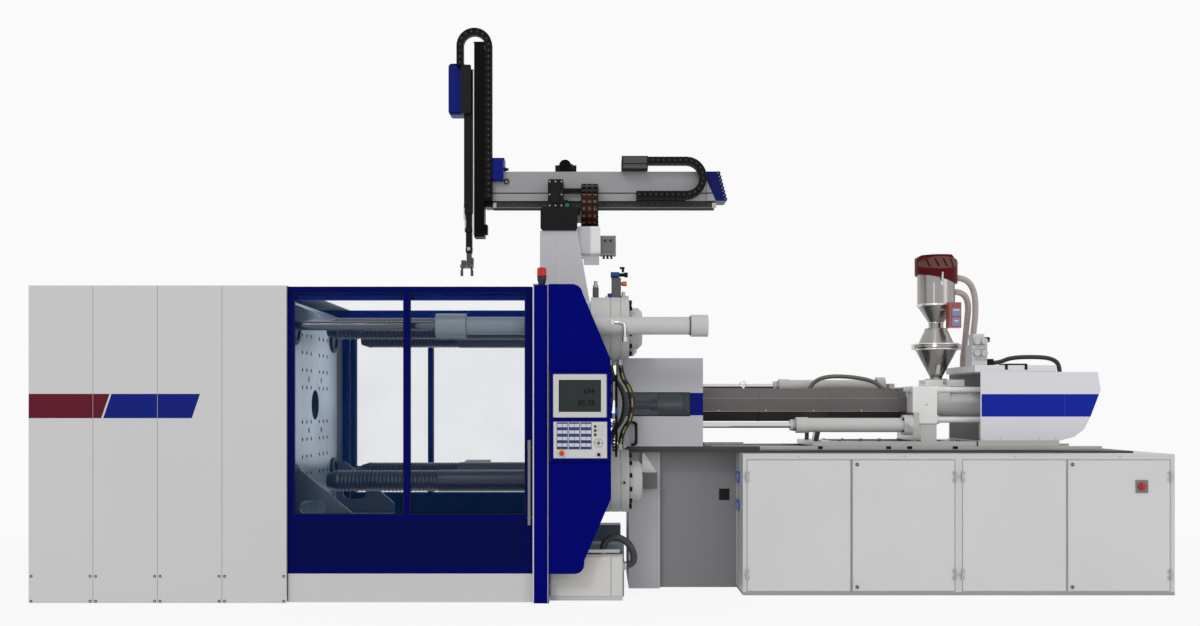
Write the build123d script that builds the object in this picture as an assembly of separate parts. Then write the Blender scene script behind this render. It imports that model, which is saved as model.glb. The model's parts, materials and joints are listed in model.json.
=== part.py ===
from build123d import *
from math import cos, pi, radians, sin, tan
import os

# Injection moulding machine with a two-platen clamp unit and a linear robot.
# Sizes are in millimetres. +X runs from the clamp unit to the injection unit, +Y away from
# the operator and +Z up. The origin is on the floor, on the machine's centre plane, close
# to the rear face of the fixed platen.

os.makedirs("parts", exist_ok=True)

# Running gaps
RUN = 0.3                  # between a rod or piston and its bore
PIN_FIT = 0.05             # between a hinge pin and its knuckle
SLIDE_GAP = 2.0            # between a sheet part and what slides past it
SHOULDER_SHARE = 0.7       # how far up a domed or turned part keeps its full width

# Axis, tie bars and platens
AXIS_Z = 1470.0            # height of the mould centre and of the screw
FIXED_FACE_X = -500.0      # mould face of the fixed platen
FIXED_THICK = 430.0
DAYLIGHT = 1886.0          # between the platens when open
MOVING_THICK = 420.0
PLATEN_WIDTH = 1580.0
PLATEN_HEIGHT = 1600.0
PLATEN_CHAMFER = 18.0
TIE_EDGE_Y = 140.0         # from a tie bar's centre to the platen's side
TIE_EDGE_Z = 205.0         # from a tie bar's centre to the platen's top or bottom
TIE_PITCH_Y = PLATEN_WIDTH - 2 * TIE_EDGE_Y
TIE_PITCH_Z = PLATEN_HEIGHT - 2 * TIE_EDGE_Z
TIE_DIA = 170.0
TIE_BORE_GAP = 6.0         # radial gap in the moving platen
TIE_END_X = -2127.0        # free end of the tie bars
TIE_TIP = 80.0             # length of the tapered tip
TIE_TIP_DIA = 120.0
TOOTH_START_X = -2040.0
TOOTH_PITCH = 30.0
TOOTH_COUNT = 26
TOOTH_DEPTH = 8.0
CLAMP_STROKE = 1450.0

# Bed of the clamp unit
BED_TOP = 400.0
BEAM_WIDTH = 200.0
BEAM_INSET = 50.0          # from a beam's centre to the platen's side
BEAM_Y = PLATEN_WIDTH / 2 - BEAM_INSET
BEAM_WALL = 20.0
BED_LEFT = -4145.0
BED_RIGHT = 184.0
CROSS_WIDTH = 160.0
RAIL_HEIGHT = 70.0
RAIL_WIDTH = 60.0
RAIL_LEFT = -3500.0
RAIL_RIGHT = -395.0

# Guard round the clamp unit
GUARD_MARGIN = 350.0       # from the platen's side to the guard
GUARD_Y = PLATEN_WIDTH / 2 + GUARD_MARGIN
GUARD_HEIGHT = 2350.0
GUARD_LEFT = -4230.0
PANEL_END_X = -2320.0
PANEL_COUNT = 4
PANEL_DEPTH = 25.0
SHEET = 4.0
SEAM = 3.0
SCREW_DIA = 14.0
SCREW_INSET = 20.0
SCREW_LOW = 14.0
SCREW_HIGH = 198.0
SKIRT_HEIGHT = 213.0
POST_WIDTH = 60.0
POST_THICK = 25.0
RAIL_BEAM = 60.0
TOP_BEAM = 96.0            # height of the rail below the roof edge
LOW_BEAM_Z = 120.0         # underside of the low rail
POST_OFFSET = 10.0         # middle post before the end of the covers

# Sliding doors
DOOR_INSET = 30.0          # from the guard's plane to a door's outer face
DOOR_Y = GUARD_Y - DOOR_INSET
DOOR_THICK = 40.0
DOOR_LEFT = -2320.0
DOOR_RIGHT = -506.0
DOOR_LOW = 217.0
DOOR_DROP = 5.0            # from the guard's top to a door's
DOOR_TOP = GUARD_HEIGHT - DOOR_DROP
DOOR_STILE = 48.0
DOOR_RAIL = 46.0
DOOR_PANEL_TOP = 654.0
FRONT_MULLION_X = -1433.0
REAR_MULLION_X = -1578.0
MULLION = 46.0
PANE = 8.0
HANDLE_X = -524.0
HANDLE_LOW = 577.0
HANDLE_HIGH = 1206.0
HANDLE_DIA = 28.0
HANDLE_REACH = 40.0


def block(x, y, z):
    """Box between two limits on each axis."""
    centre = Pos((x[0] + x[1]) / 2, (y[0] + y[1]) / 2, (z[0] + z[1]) / 2)
    return centre * Box(x[1] - x[0], y[1] - y[0], z[1] - z[0])


def bar_x(x, y, z, radius):
    """Round bar along X between two limits, with its axis at y and z."""
    return Pos((x[0] + x[1]) / 2, y, z) * Rot(0, 90, 0) * Cylinder(radius, x[1] - x[0])


def bar_y(x, y, z, radius):
    """Round bar along Y between two limits, with its axis at x and z."""
    return Pos(x, (y[0] + y[1]) / 2, z) * Rot(90, 0, 0) * Cylinder(radius, y[1] - y[0])


def bar_z(x, y, z, radius):
    """Round bar along Z between two limits, with its axis at x and y."""
    return Pos(x, y, (z[0] + z[1]) / 2) * Cylinder(radius, z[1] - z[0])


def side_plate(points, y):
    """Outline in X and Z carried between two limits in Y."""
    outline = Polyline([(px, y[0], pz) for px, pz in points], close=True)
    return extrude(make_face(outline.edges()), amount=y[1] - y[0], dir=(0, 1, 0))


def cross_plate(points, x):
    """Outline in Y and Z carried between two limits in X."""
    outline = Polyline([(x[0], py, pz) for py, pz in points], close=True)
    return extrude(make_face(outline.edges()), amount=x[1] - x[0], dir=(1, 0, 0))


def turned_x(profile, y, z):
    """Profile of positions and radii turned about an axis along X."""
    outline = Polyline([(px, 0, pr) for px, pr in profile], close=True)
    return Pos(0, y, z) * revolve(make_face(outline.edges()), Axis.X)


def turned_z(profile, x, y):
    """Profile of radii and heights turned about an axis along Z."""
    outline = Polyline([(pr, 0, pz) for pr, pz in profile], close=True)
    return Pos(x, y, 0) * revolve(make_face(outline.edges()), Axis.Z)


def box_tube_x(x, y, z, wall):
    """Rectangular hollow section along X."""
    inner = block((x[0] - 1, x[1] + 1), (y[0] + wall, y[1] - wall), (z[0] + wall, z[1] - wall))
    return block(x, y, z) - inner


def box_tube_y(x, y, z, wall):
    """Rectangular hollow section along Y."""
    inner = block((x[0] + wall, x[1] - wall), (y[0] - 1, y[1] + 1), (z[0] + wall, z[1] - wall))
    return block(x, y, z) - inner


def mirrored(shape):
    """The same shape on the other side of the centre plane."""
    return mirror(shape, about=Plane.XZ)


def both_sides(shape):
    """A shape and its mirror image, as a list."""
    return [shape, mirrored(shape)]


def span(centre, width):
    """Limits of a width about a centre."""
    return (centre - width / 2, centre + width / 2)


def store(name, *pieces):
    """Write a node's pieces, each given as a shape or a list of shapes."""
    solids = []
    for piece in pieces:
        for shape in piece if isinstance(piece, (list, tuple)) else [piece]:
            solids.extend(shape.solids())
    whole = solids[0] if len(solids) == 1 else Compound(solids)
    export_step(whole, f"parts/{name}.step")


# Clamp unit

FIXED_REAR_X = FIXED_FACE_X + FIXED_THICK
MOVING_FACE_X = FIXED_FACE_X - DAYLIGHT
MOVING_REAR_X = MOVING_FACE_X - MOVING_THICK
PLATEN_LOW = AXIS_Z - PLATEN_HEIGHT / 2
PLATEN_TOP = AXIS_Z + PLATEN_HEIGHT / 2
TIE_R = TIE_DIA / 2
RAIL_TOP = BED_TOP + RAIL_HEIGHT
TIE_CENTRES = [
    (side * TIE_PITCH_Y / 2, AXIS_Z + level * TIE_PITCH_Z / 2)
    for side in (-1, 1)
    for level in (-1, 1)
]

FOOT_WIDTH = 150.0
FOOT_INSET_LEFT = 120.0
FOOT_INSET_RIGHT = 20.0
RING_OUTER_DIA = 280.0
RING_BORE_DIA = 200.0
RING_DEPTH = 50.0
NOZZLE_HOLE_DIA = 360.0
CORE_HALF = 210.0          # half the width of the square block around the nozzle hole
CORE_WEDGES = 8
HOLE_DIA = 25.0
HOLE_DEPTH = 60.0
HOLE_COLUMNS = (140.0, 280.0, 420.0)
HOLE_ROWS = (140.0, 280.0, 420.0, 560.0)
EJECTOR_HOLE_DIA = 50.0
EJECTOR_PITCH = 420.0
EJECTOR_ROD_DIA = 40.0
EJECTOR_REST = 20.0        # pin ends behind the platen's face
CENTRE_HOLE_DIA = 250.0

CYL_DIA = 484.0
CYL_LENGTH = 294.0
CYL_WALL = 60.0
CYL_BACK = 40.0
DOME_DIA = 320.0
DOME_LENGTH = 103.0
DOME_TOP_SHARE = 0.8
GROOVE = 6.0
RING_LINES = (148.0, 226.0)
PISTON_LENGTH = 70.0
PISTON_GAP = 45.0

SHOE_HEIGHT = 30.0
SHOE_WIDTH = 90.0
SHOE_REACH = 529.0
GUSSET_THICK = 30.0
GUSSET_INSET = 15.0
GUSSET_HEIGHT = 490.0
GUSSET_TIP = 115.0
GUSSET_LAND = 82.0
SLOT_LENGTH = 210.0
SLOT_HEIGHT = 110.0
SLOT_RISE = 150.0
SLOT_START = 66.0
ARM_PLATE = 30.0
ARM_DROP = (30.0, 105.0, 125.0, 190.0)    # below the platen's top, from the top edge down
ARM_REACH = (37.0, 224.0)

LOCK_LENGTH = 194.0
LOCK_OUTER_DIA = 340.0
LOCK_TRAVEL = 38.0
LOCK_GAP = 1.0
TOOTH_GAP = 1.0

TRAVEL_OUT = 178.0
TRAVEL_EDGE = 206.0
TRAVEL_Y = PLATEN_WIDTH / 2 + TRAVEL_OUT
TRAVEL_HIGH_Z = PLATEN_TOP - TRAVEL_EDGE
TRAVEL_LOW_Z = PLATEN_LOW + TRAVEL_EDGE
ROD_DIA = 71.0
HEAD_DIA = 184.0
HEAD_LEFT = -1233.0
HEAD_LENGTH = 225.0
TUBE_DIA = 134.0
TUBE_WALL = 12.0
TUBE_RIGHT = 684.0
CAP_DIA = 166.0
CAP_LENGTH = 129.0
LUG_WIDTH = 100.0
LUG_HEIGHT = 150.0
LUG_INSET = 6.0
LUG_OVERHANG = 72.0
BRACKET_THICK = 60.0
BRACKET_HEIGHT = 230.0
BRACKET_REACH = 90.0

EJECTOR_PLATE = 60.0
EJECTOR_PLATE_SIZE = 620.0
EJECTOR_GAP = 240.0
EJ_CYL_DIA = 120.0
EJ_CYL_DEPTH = 280.0
EJ_CYL_BASE = 20.0
EJ_CYL_Y = 230.0
EJ_FLANGE_DIA = 180.0
EJ_FLANGE = 36.0
EJ_ROD_DIA = 50.0
EJ_ROD_ENTRY = 26.0


def clamp_bed():
    """Two hollow beams on the floor with hollow cross members, one of them at the origin."""
    beam = box_tube_x((BED_LEFT, BED_RIGHT), span(BEAM_Y, BEAM_WIDTH), (0, BED_TOP), BEAM_WALL)
    inner_y = BEAM_Y - BEAM_WIDTH / 2
    places = (BED_LEFT + CROSS_WIDTH, MOVING_REAR_X, FIXED_FACE_X + CROSS_WIDTH, 0)
    cross = [
        box_tube_y(span(px, CROSS_WIDTH), (-inner_y, inner_y), (0, BED_TOP / 2), BEAM_WALL)
        for px in places
    ]
    store("clamp_bed", both_sides(beam), cross)


def guide_rails():
    """Hardened rails on the beams, which carry the moving platen's shoes."""
    rail = block((RAIL_LEFT, RAIL_RIGHT), span(BEAM_Y, RAIL_WIDTH), (BED_TOP, RAIL_TOP))
    store("guide_rails", both_sides(rail))


def tie_bores(x, radius):
    """Bars in the four tie-bar places, to be cut from a platen."""
    return [bar_x(x, ty, tz, radius) for ty, tz in TIE_CENTRES]


def tapped_holes(face_x, inward):
    """Blind holes in a mould face: the rows and columns of a standard clamping grid."""
    start = min(face_x, face_x + inward * HOLE_DEPTH)
    holes = []
    for column in HOLE_COLUMNS:
        for row in HOLE_ROWS:
            for side in (-1, 1):
                for level in (-1, 1):
                    y = side * column
                    z = AXIS_Z + level * row
                    holes.append(bar_x((start, start + HOLE_DEPTH), y, z, HOLE_DIA / 2))
    return holes


def platen_blocks(body):
    """Divide the casting into touching blocks, with a ring of wedges around the nozzle hole.

    A simple hull around any one block leaves the hole open.
    """
    x = (FIXED_FACE_X - 1, FIXED_REAR_X + 1)
    core = (-CORE_HALF, CORE_HALF)
    core_z = (AXIS_Z - CORE_HALF, AXIS_Z + CORE_HALF)
    beside = both_sides(body & block(x, (CORE_HALF, PLATEN_WIDTH), (PLATEN_LOW, PLATEN_TOP)))
    over = body & block(x, core, (core_z[1], PLATEN_TOP))
    under = body & block(x, core, (PLATEN_LOW, core_z[0]))
    middle = body & block(x, core, core_z)
    wedges = []
    for number in range(CORE_WEDGES):
        corners = [(0, AXIS_Z)]
        for edge in (number - 0.5, number + 0.5):
            angle = radians(edge * 360 / CORE_WEDGES)
            reach = 2 * CORE_HALF
            corners.append((reach * cos(angle), AXIS_Z + reach * sin(angle)))
        wedges.append(middle & cross_plate(corners, x))
    return [*beside, over, under, *wedges]


def fixed_platen():
    """Cast platen with tie-bar bores and a nozzle opening, on two feet."""
    body = block(
        (FIXED_FACE_X, FIXED_REAR_X), span(0, PLATEN_WIDTH), (PLATEN_LOW, PLATEN_TOP)
    )
    body = chamfer(body.edges().filter_by(Axis.X), PLATEN_CHAMFER)
    seat = bar_x((FIXED_FACE_X, FIXED_FACE_X + RING_DEPTH), 0, AXIS_Z, RING_OUTER_DIA / 2)
    funnel = turned_x(
        [
            (FIXED_FACE_X, 0),
            (FIXED_FACE_X, RING_BORE_DIA / 2),
            (FIXED_FACE_X + RING_DEPTH, RING_BORE_DIA / 2),
            (FIXED_FACE_X + FIXED_THICK / 2, NOZZLE_HOLE_DIA / 2),
            (FIXED_REAR_X + 1, NOZZLE_HOLE_DIA / 2),
            (FIXED_REAR_X + 1, 0),
        ],
        0,
        AXIS_Z,
    )
    body -= [seat, funnel]
    body -= tie_bores((FIXED_FACE_X - 1, FIXED_REAR_X + 1), TIE_R + 1)
    body -= tapped_holes(FIXED_FACE_X, 1)
    foot = block(
        (FIXED_FACE_X + FOOT_INSET_LEFT, FIXED_REAR_X - FOOT_INSET_RIGHT),
        (PLATEN_WIDTH / 2 - FOOT_WIDTH, PLATEN_WIDTH / 2),
        (BED_TOP, PLATEN_LOW),
    )
    ring = seat - bar_x(
        (FIXED_FACE_X - 1, FIXED_FACE_X + RING_DEPTH + 1), 0, AXIS_Z, RING_BORE_DIA / 2
    )
    store("fixed_platen", platen_blocks(body), both_sides(foot), ring)


def clamp_cylinders():
    """Short high-force cylinders behind the fixed platen, each with a domed cover."""
    outer = CYL_DIA / 2
    cavity_end = FIXED_REAR_X + CYL_LENGTH - CYL_BACK
    profile = [
        (FIXED_REAR_X, TIE_R + 1),
        (FIXED_REAR_X, outer),
    ]
    for line in RING_LINES:
        profile += [
            (FIXED_REAR_X + line, outer),
            (FIXED_REAR_X + line, outer - GROOVE),
            (FIXED_REAR_X + line + GROOVE, outer - GROOVE),
            (FIXED_REAR_X + line + GROOVE, outer),
        ]
    end = FIXED_REAR_X + CYL_LENGTH
    profile += [
        (end, outer),
        (end, DOME_DIA / 2),
        (end + DOME_LENGTH * SHOULDER_SHARE, DOME_DIA / 2),
        (end + DOME_LENGTH, DOME_DIA / 2 * DOME_TOP_SHARE),
        (end + DOME_LENGTH, 0),
        (cavity_end, 0),
        (cavity_end, outer - CYL_WALL),
        (FIXED_REAR_X + CYL_BACK, outer - CYL_WALL),
        (FIXED_REAR_X + CYL_BACK, TIE_R + 1),
    ]
    store("clamp_cylinders", [turned_x(profile, ty, tz) for ty, tz in TIE_CENTRES])


def toothed_profile(shift, gap):
    """Outline of a toothed bar: positions and radii, moved along X and grown by a gap."""
    outline = []
    for number in range(TOOTH_COUNT):
        start = TOOTH_START_X + shift + number * TOOTH_PITCH
        outline.append((start, TIE_R + gap))
        outline.append((start + TOOTH_PITCH / 2, TIE_R + gap - TOOTH_DEPTH))
    outline.append((TOOTH_START_X + shift + TOOTH_COUNT * TOOTH_PITCH, TIE_R + gap))
    return outline


def tie_bars():
    """Four tie bars with a tapered tip, locking teeth and a clamp piston."""
    piston_start = FIXED_REAR_X + CYL_BACK + PISTON_GAP
    root_end = piston_start + PISTON_LENGTH
    profile = [
        (TIE_END_X, 0),
        (TIE_END_X, TIE_TIP_DIA / 2),
        (TIE_END_X + TIE_TIP, TIE_R),
        *toothed_profile(0, 0),
        (root_end, TIE_R),
        (root_end, 0),
    ]
    bars = [turned_x(profile, ty, tz) for ty, tz in TIE_CENTRES]
    piston_r = CYL_DIA / 2 - CYL_WALL - RUN
    piston = [
        (piston_start, TIE_R),
        (piston_start, piston_r),
        (root_end, piston_r),
        (root_end, TIE_R),
    ]
    store("tie_bars", bars, [turned_x(piston, ty, tz) for ty, tz in TIE_CENTRES])


def lock_halves():
    """Split nuts behind the moving platen, open at rest, whose teeth fit the tie bars."""
    left = MOVING_REAR_X - LOCK_LENGTH
    teeth = toothed_profile(-CLAMP_STROKE, TOOTH_GAP)
    inside = [point for point in teeth if left - TOOTH_PITCH < point[0] < MOVING_REAR_X + TOOTH_PITCH]
    core = turned_x([(inside[0][0], 0), *inside, (inside[-1][0], 0)], 0, 0)
    nut = bar_x((left, MOVING_REAR_X), 0, 0, LOCK_OUTER_DIA / 2) - core
    half_size = LOCK_OUTER_DIA
    front_space = block((left - 1, MOVING_REAR_X + 1), (-half_size, -LOCK_GAP / 2), (-half_size, half_size))
    rear_space = mirrored(front_space)
    front_half = Pos(0, -LOCK_TRAVEL, 0) * (nut & front_space)
    rear_half = Pos(0, LOCK_TRAVEL, 0) * (nut & rear_space)
    store("lock_halves_front", [Pos(0, ty, tz) * front_half for ty, tz in TIE_CENTRES])
    store("lock_halves_rear", [Pos(0, ty, tz) * rear_half for ty, tz in TIE_CENTRES])


def platen_gusset(y):
    """Sloped brace with a rounded slot, standing on the shoe in front of the platen."""
    low = RAIL_TOP + SHOE_HEIGHT
    tip_x = MOVING_FACE_X + SHOE_REACH
    outline = [
        (MOVING_FACE_X, low),
        (MOVING_FACE_X, RAIL_TOP + GUSSET_HEIGHT),
        (MOVING_FACE_X + GUSSET_LAND, RAIL_TOP + GUSSET_HEIGHT),
        (tip_x, RAIL_TOP + GUSSET_TIP),
        (tip_x, low),
    ]
    slot_z = RAIL_TOP + SLOT_RISE + SLOT_HEIGHT / 2
    slot_left = MOVING_FACE_X + SLOT_START + SLOT_HEIGHT / 2
    slot_right = slot_left + SLOT_LENGTH - SLOT_HEIGHT
    cut_y = (y[0] - 1, y[1] + 1)
    plate = side_plate(outline, y)
    plate -= block((slot_left, slot_right), cut_y, span(slot_z, SLOT_HEIGHT))
    plate -= bar_y(slot_left, cut_y, slot_z, SLOT_HEIGHT / 2)
    plate -= bar_y(slot_right, cut_y, slot_z, SLOT_HEIGHT / 2)
    return plate


def moving_platen():
    """Platen with tie-bar bores, holes, shoes, gussets, a top arm and rod lugs."""
    body = block(
        (MOVING_REAR_X, MOVING_FACE_X), span(0, PLATEN_WIDTH), (PLATEN_LOW, PLATEN_TOP)
    )
    body = chamfer(body.edges().filter_by(Axis.X), PLATEN_CHAMFER)
    through = (MOVING_REAR_X - 1, MOVING_FACE_X + 1)
    body -= tie_bores(through, TIE_R + TIE_BORE_GAP)
    body -= tapped_holes(MOVING_FACE_X, -1)
    body -= bar_x((MOVING_FACE_X - MOVING_THICK / 2, MOVING_FACE_X + 1), 0, AXIS_Z, CENTRE_HOLE_DIA / 2)
    half = EJECTOR_PITCH / 2
    body -= [
        bar_x(through, side * half, AXIS_Z + level * half, EJECTOR_HOLE_DIA / 2)
        for side in (-1, 1)
        for level in (-1, 1)
    ]
    pocket = (MOVING_REAR_X - 1, MOVING_REAR_X + EJ_CYL_DEPTH)
    body -= [bar_x(pocket, side * EJ_CYL_Y, AXIS_Z, EJ_CYL_DIA / 2 + RUN) for side in (-1, 1)]
    shoe_y = (PLATEN_WIDTH / 2 - SHOE_WIDTH, PLATEN_WIDTH / 2)
    shoe = block(
        (MOVING_REAR_X, MOVING_FACE_X + SHOE_REACH), shoe_y, (RAIL_TOP, RAIL_TOP + SHOE_HEIGHT)
    )
    leg = block((MOVING_REAR_X, MOVING_FACE_X), shoe_y, (RAIL_TOP + SHOE_HEIGHT, PLATEN_LOW))
    gusset_side = PLATEN_WIDTH / 2 - GUSSET_INSET
    gusset = platen_gusset((gusset_side - GUSSET_THICK, gusset_side))
    arm = side_plate(
        [
            (MOVING_FACE_X, PLATEN_TOP - ARM_DROP[3]),
            (MOVING_FACE_X, PLATEN_TOP - ARM_DROP[0]),
            (MOVING_FACE_X + ARM_REACH[0], PLATEN_TOP - ARM_DROP[0]),
            (MOVING_FACE_X + ARM_REACH[1], PLATEN_TOP - ARM_DROP[1]),
            (MOVING_FACE_X + ARM_REACH[1], PLATEN_TOP - ARM_DROP[2]),
        ],
        (-PLATEN_WIDTH / 2, -PLATEN_WIDTH / 2 + ARM_PLATE),
    )
    lug_x = (MOVING_REAR_X + LUG_INSET, MOVING_REAR_X + LUG_INSET + LUG_WIDTH)
    lug_y = (PLATEN_WIDTH / 2, TRAVEL_Y + LUG_OVERHANG)
    high_lug = mirrored(block(lug_x, lug_y, span(TRAVEL_HIGH_Z, LUG_HEIGHT)))
    low_lug = block(lug_x, lug_y, span(TRAVEL_LOW_Z, LUG_HEIGHT))
    store(
        "moving_platen", body, both_sides(shoe), both_sides(leg), both_sides(gusset), arm,
        high_lug, low_lug,
    )


def travel_cylinders():
    """Two long cylinders that move the platen, with brackets on the fixed platen."""
    head_end = HEAD_LEFT + HEAD_LENGTH
    bore = TUBE_DIA / 2 - TUBE_WALL
    rod_hole = ROD_DIA / 2 + RUN
    profile = [
        (HEAD_LEFT, rod_hole),
        (HEAD_LEFT, HEAD_DIA / 2),
        (head_end, HEAD_DIA / 2),
        (head_end, TUBE_DIA / 2),
        (TUBE_RIGHT, TUBE_DIA / 2),
        (TUBE_RIGHT, CAP_DIA / 2),
        (TUBE_RIGHT + CAP_LENGTH, CAP_DIA / 2),
        (TUBE_RIGHT + CAP_LENGTH, 0),
        (TUBE_RIGHT, 0),
        (TUBE_RIGHT, bore),
        (head_end, bore),
        (head_end, rod_hole),
    ]
    places = ((-TRAVEL_Y, TRAVEL_HIGH_Z), (TRAVEL_Y, TRAVEL_LOW_Z))
    bracket_x = span(FIXED_FACE_X + FIXED_THICK / 2, BRACKET_THICK)
    brackets = []
    for cy, cz in places:
        far = TRAVEL_Y + BRACKET_REACH
        plate = block(bracket_x, (PLATEN_WIDTH / 2, far), span(cz, BRACKET_HEIGHT))
        plate = plate if cy > 0 else mirrored(plate)
        cut = bar_x((bracket_x[0] - 1, bracket_x[1] + 1), cy, cz, TUBE_DIA / 2 + RUN)
        brackets.append(plate - cut)
    store("travel_cylinders", [turned_x(profile, cy, cz) for cy, cz in places], brackets)
    rod_left = MOVING_REAR_X + LUG_INSET + LUG_WIDTH
    piston_x = head_end + PISTON_LENGTH / 2
    rod = [
        (rod_left, 0),
        (rod_left, ROD_DIA / 2),
        (piston_x, ROD_DIA / 2),
        (piston_x, bore - RUN),
        (piston_x + PISTON_LENGTH, bore - RUN),
        (piston_x + PISTON_LENGTH, 0),
    ]
    store("travel_rods", [turned_x(rod, cy, cz) for cy, cz in places])


def ejector():
    """Ejector plate with four pins, pulled forward by two short cylinders."""
    face = MOVING_REAR_X - EJECTOR_GAP
    plate_x = (face - EJECTOR_PLATE, face)
    plate = block(plate_x, span(0, EJECTOR_PLATE_SIZE), span(AXIS_Z, EJECTOR_PLATE_SIZE))
    half = EJECTOR_PITCH / 2
    pins = [
        bar_x((face, MOVING_FACE_X - EJECTOR_REST), side * half, AXIS_Z + level * half, EJECTOR_ROD_DIA / 2)
        for side in (-1, 1)
        for level in (-1, 1)
    ]
    rods = [
        bar_x((face, MOVING_REAR_X + EJ_ROD_ENTRY), side * EJ_CYL_Y, AXIS_Z, EJ_ROD_DIA / 2)
        for side in (-1, 1)
    ]
    store("ejector_plate", plate, pins, rods)
    inside = EJ_ROD_DIA / 2 + RUN
    deep = MOVING_REAR_X + EJ_CYL_DEPTH
    profile = [
        (MOVING_REAR_X - EJ_FLANGE, inside),
        (MOVING_REAR_X - EJ_FLANGE, EJ_FLANGE_DIA / 2),
        (MOVING_REAR_X, EJ_FLANGE_DIA / 2),
        (MOVING_REAR_X, EJ_CYL_DIA / 2),
        (deep, EJ_CYL_DIA / 2),
        (deep, 0),
        (deep - EJ_CYL_BASE, 0),
        (deep - EJ_CYL_BASE, inside),
    ]
    store("ejector_cylinders", [turned_x(profile, side * EJ_CYL_Y, AXIS_Z) for side in (-1, 1)])


# Guard, doors and operator stand

COLUMN_X = (-488.0, -377.0)
COLUMN_Y = (-GUARD_Y - 20.0, -GUARD_Y + 100.0)
EDGE_STRIP = 9.0
COLUMN_TOP = GUARD_HEIGHT + 2.0
STRIP_DROP = 10.0

HOUSING_FRONT = -GUARD_Y - 42.0
HOUSING_BACK = -GUARD_Y + 65.0
HOUSING_SHEET = 3.0
CHEEK_STEP = 6.0           # between the housing's two right edges
HOUSING_LEFT = -377.0
HOUSING_RIGHT = 82.0
HOUSING_TOP = GUARD_HEIGHT + 7.0
HOUSING_BOTTOM = 221.0
SHOULDER_X = -206.0
SHOULDER_LOW_X = -127.0
SHOULDER_LOW_Z = 2287.0
CHEEK_Z = 1808.0
CHIN_Z = 776.0
NECK_X = -119.0
NECK_Z = 312.0
HEEL_X = -186.0

PANEL_LOW = 1052.0
PANEL_HIGH = 1712.0
PANEL_THICK = 26.0
PANEL_GAP = 3.0
PANEL_PIN_X = -370.0
PANEL_PIN_DIA = 8.0
PANEL_PIN_DEPTH = 30.0
PANEL_TAB = 12.0
DISPLAY_X = (-342.0, 47.0)
DISPLAY_Z = (1375.0, 1690.0)
DISPLAY_DEPTH = 12.0
DISPLAY_CORNER = 6.0
SCREEN_X = (-302.0, 7.0)
SCREEN_Z = (1415.0, 1649.0)
SCREEN_RECESS = 4.0
KEYPAD_X = (-340.0, 50.0)
KEYPAD_Z = (1076.0, 1341.0)
KEYPAD_DEPTH = 10.0
KEY_RAISE = 2.0
KEY_COLUMNS = ((-315.0, -238.0), (-228.0, -150.0), (-140.0, -64.0))
KEY_ROWS = 4
KEY_AREA_Z = (1142.0, 1332.0)
KEYS_IN_BLOCK = 3
KEY_SPACE = 4.0
STOP_X = -280.0
STOP_Z = 1111.0
STOP_DIA = 36.0
STOP_HEIGHT = 22.0
STOP_STEM_DIA = 20.0
STOP_EDGE = 5.0
STOP_PLATE_DIA = 46.0
STOP_PLATE = 3.0
STOP_TRAVEL = 6.0
SWITCH_X = -9.0
SWITCH_Z = 1102.0
SWITCH_DIA = 24.0
SWITCH_HEIGHT = 12.0
KEY_GRIP = (5.0, 8.0, 21.6)  # width, reach and height of the key's grip
KNOB_X = -35.0
KNOB_Z = (1308.0, 1278.0, 1247.0)
KNOB_DIA = 15.0
KNOB_HEIGHT = 8.0
EDGE_BAR_X = (111.0, 129.0)
EDGE_BAR_Z = (1078.0, 1690.0)
EDGE_BAR_DEPTH = 16.0
EDGE_BAR_INSET = 10.0      # its centre before the housing's back edge
EDGE_LINK = 8.0
EDGE_LINK_HEIGHT = 40.0
BRACE_X = (-300.0, -255.0)
BRACE_HEIGHT = 80.0

BEACON_X = -431.5
BEACON_Y = -GUARD_Y + 25.0
BEACON_DIA = 69.0
BEACON_BASE = 66.0
BEACON_HEIGHT = 133.0
BEACON_FOOT_DIA = 44.0
BEACON_EDGE = 8.0


def guard_frame():
    """Posts and rails behind the sliding doors and the covers, on both sides."""
    post_y = (-DOOR_Y + DOOR_THICK, -DOOR_Y + DOOR_THICK + POST_THICK)
    rail_y = (post_y[0], post_y[0] + RAIL_BEAM)
    left = GUARD_LEFT + PANEL_DEPTH
    right = COLUMN_X[0]
    roof_under = GUARD_HEIGHT - SHEET
    high = block((left, right), rail_y, (roof_under - TOP_BEAM, roof_under))
    low = box_tube_x((left, right), (-DOOR_Y + PANE, rail_y[1]), (LOW_BEAM_Z, DOOR_LOW), SHEET)
    pieces = both_sides(high) + both_sides(low)
    for px in (left, PANEL_END_X - POST_WIDTH - POST_OFFSET, right - POST_WIDTH):
        upper = block((px, px + POST_WIDTH), post_y, (DOOR_LOW, high.bounding_box().min.Z))
        lower = block((px, px + POST_WIDTH), post_y, (0, LOW_BEAM_Z))
        pieces += both_sides(upper) + both_sides(lower)
    for level in (LOW_BEAM_Z, roof_under - RAIL_BEAM):
        beam_z = (level, level + RAIL_BEAM)
        pieces.append(block((left, left + RAIL_BEAM), (rail_y[1], -rail_y[1]), beam_z))
    store("guard_frame", pieces)


def cover_sheet(x, z, rows):
    """Folded front cover with turned-back edges, its two screws at each end of each row."""
    front = -GUARD_Y
    face = block(x, (front, front + SHEET), z)
    edges = [
        block((x[0], x[0] + SHEET), (front + SHEET, front + PANEL_DEPTH), z),
        block((x[1] - SHEET, x[1]), (front + SHEET, front + PANEL_DEPTH), z),
    ]
    for level in rows:
        for px in (x[0] + SCREW_INSET, x[1] - SCREW_INSET):
            face -= bar_y(px, (front - 1, front + SHEET + 1), level, SCREW_DIA / 2)
    return [face, *edges]


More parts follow.
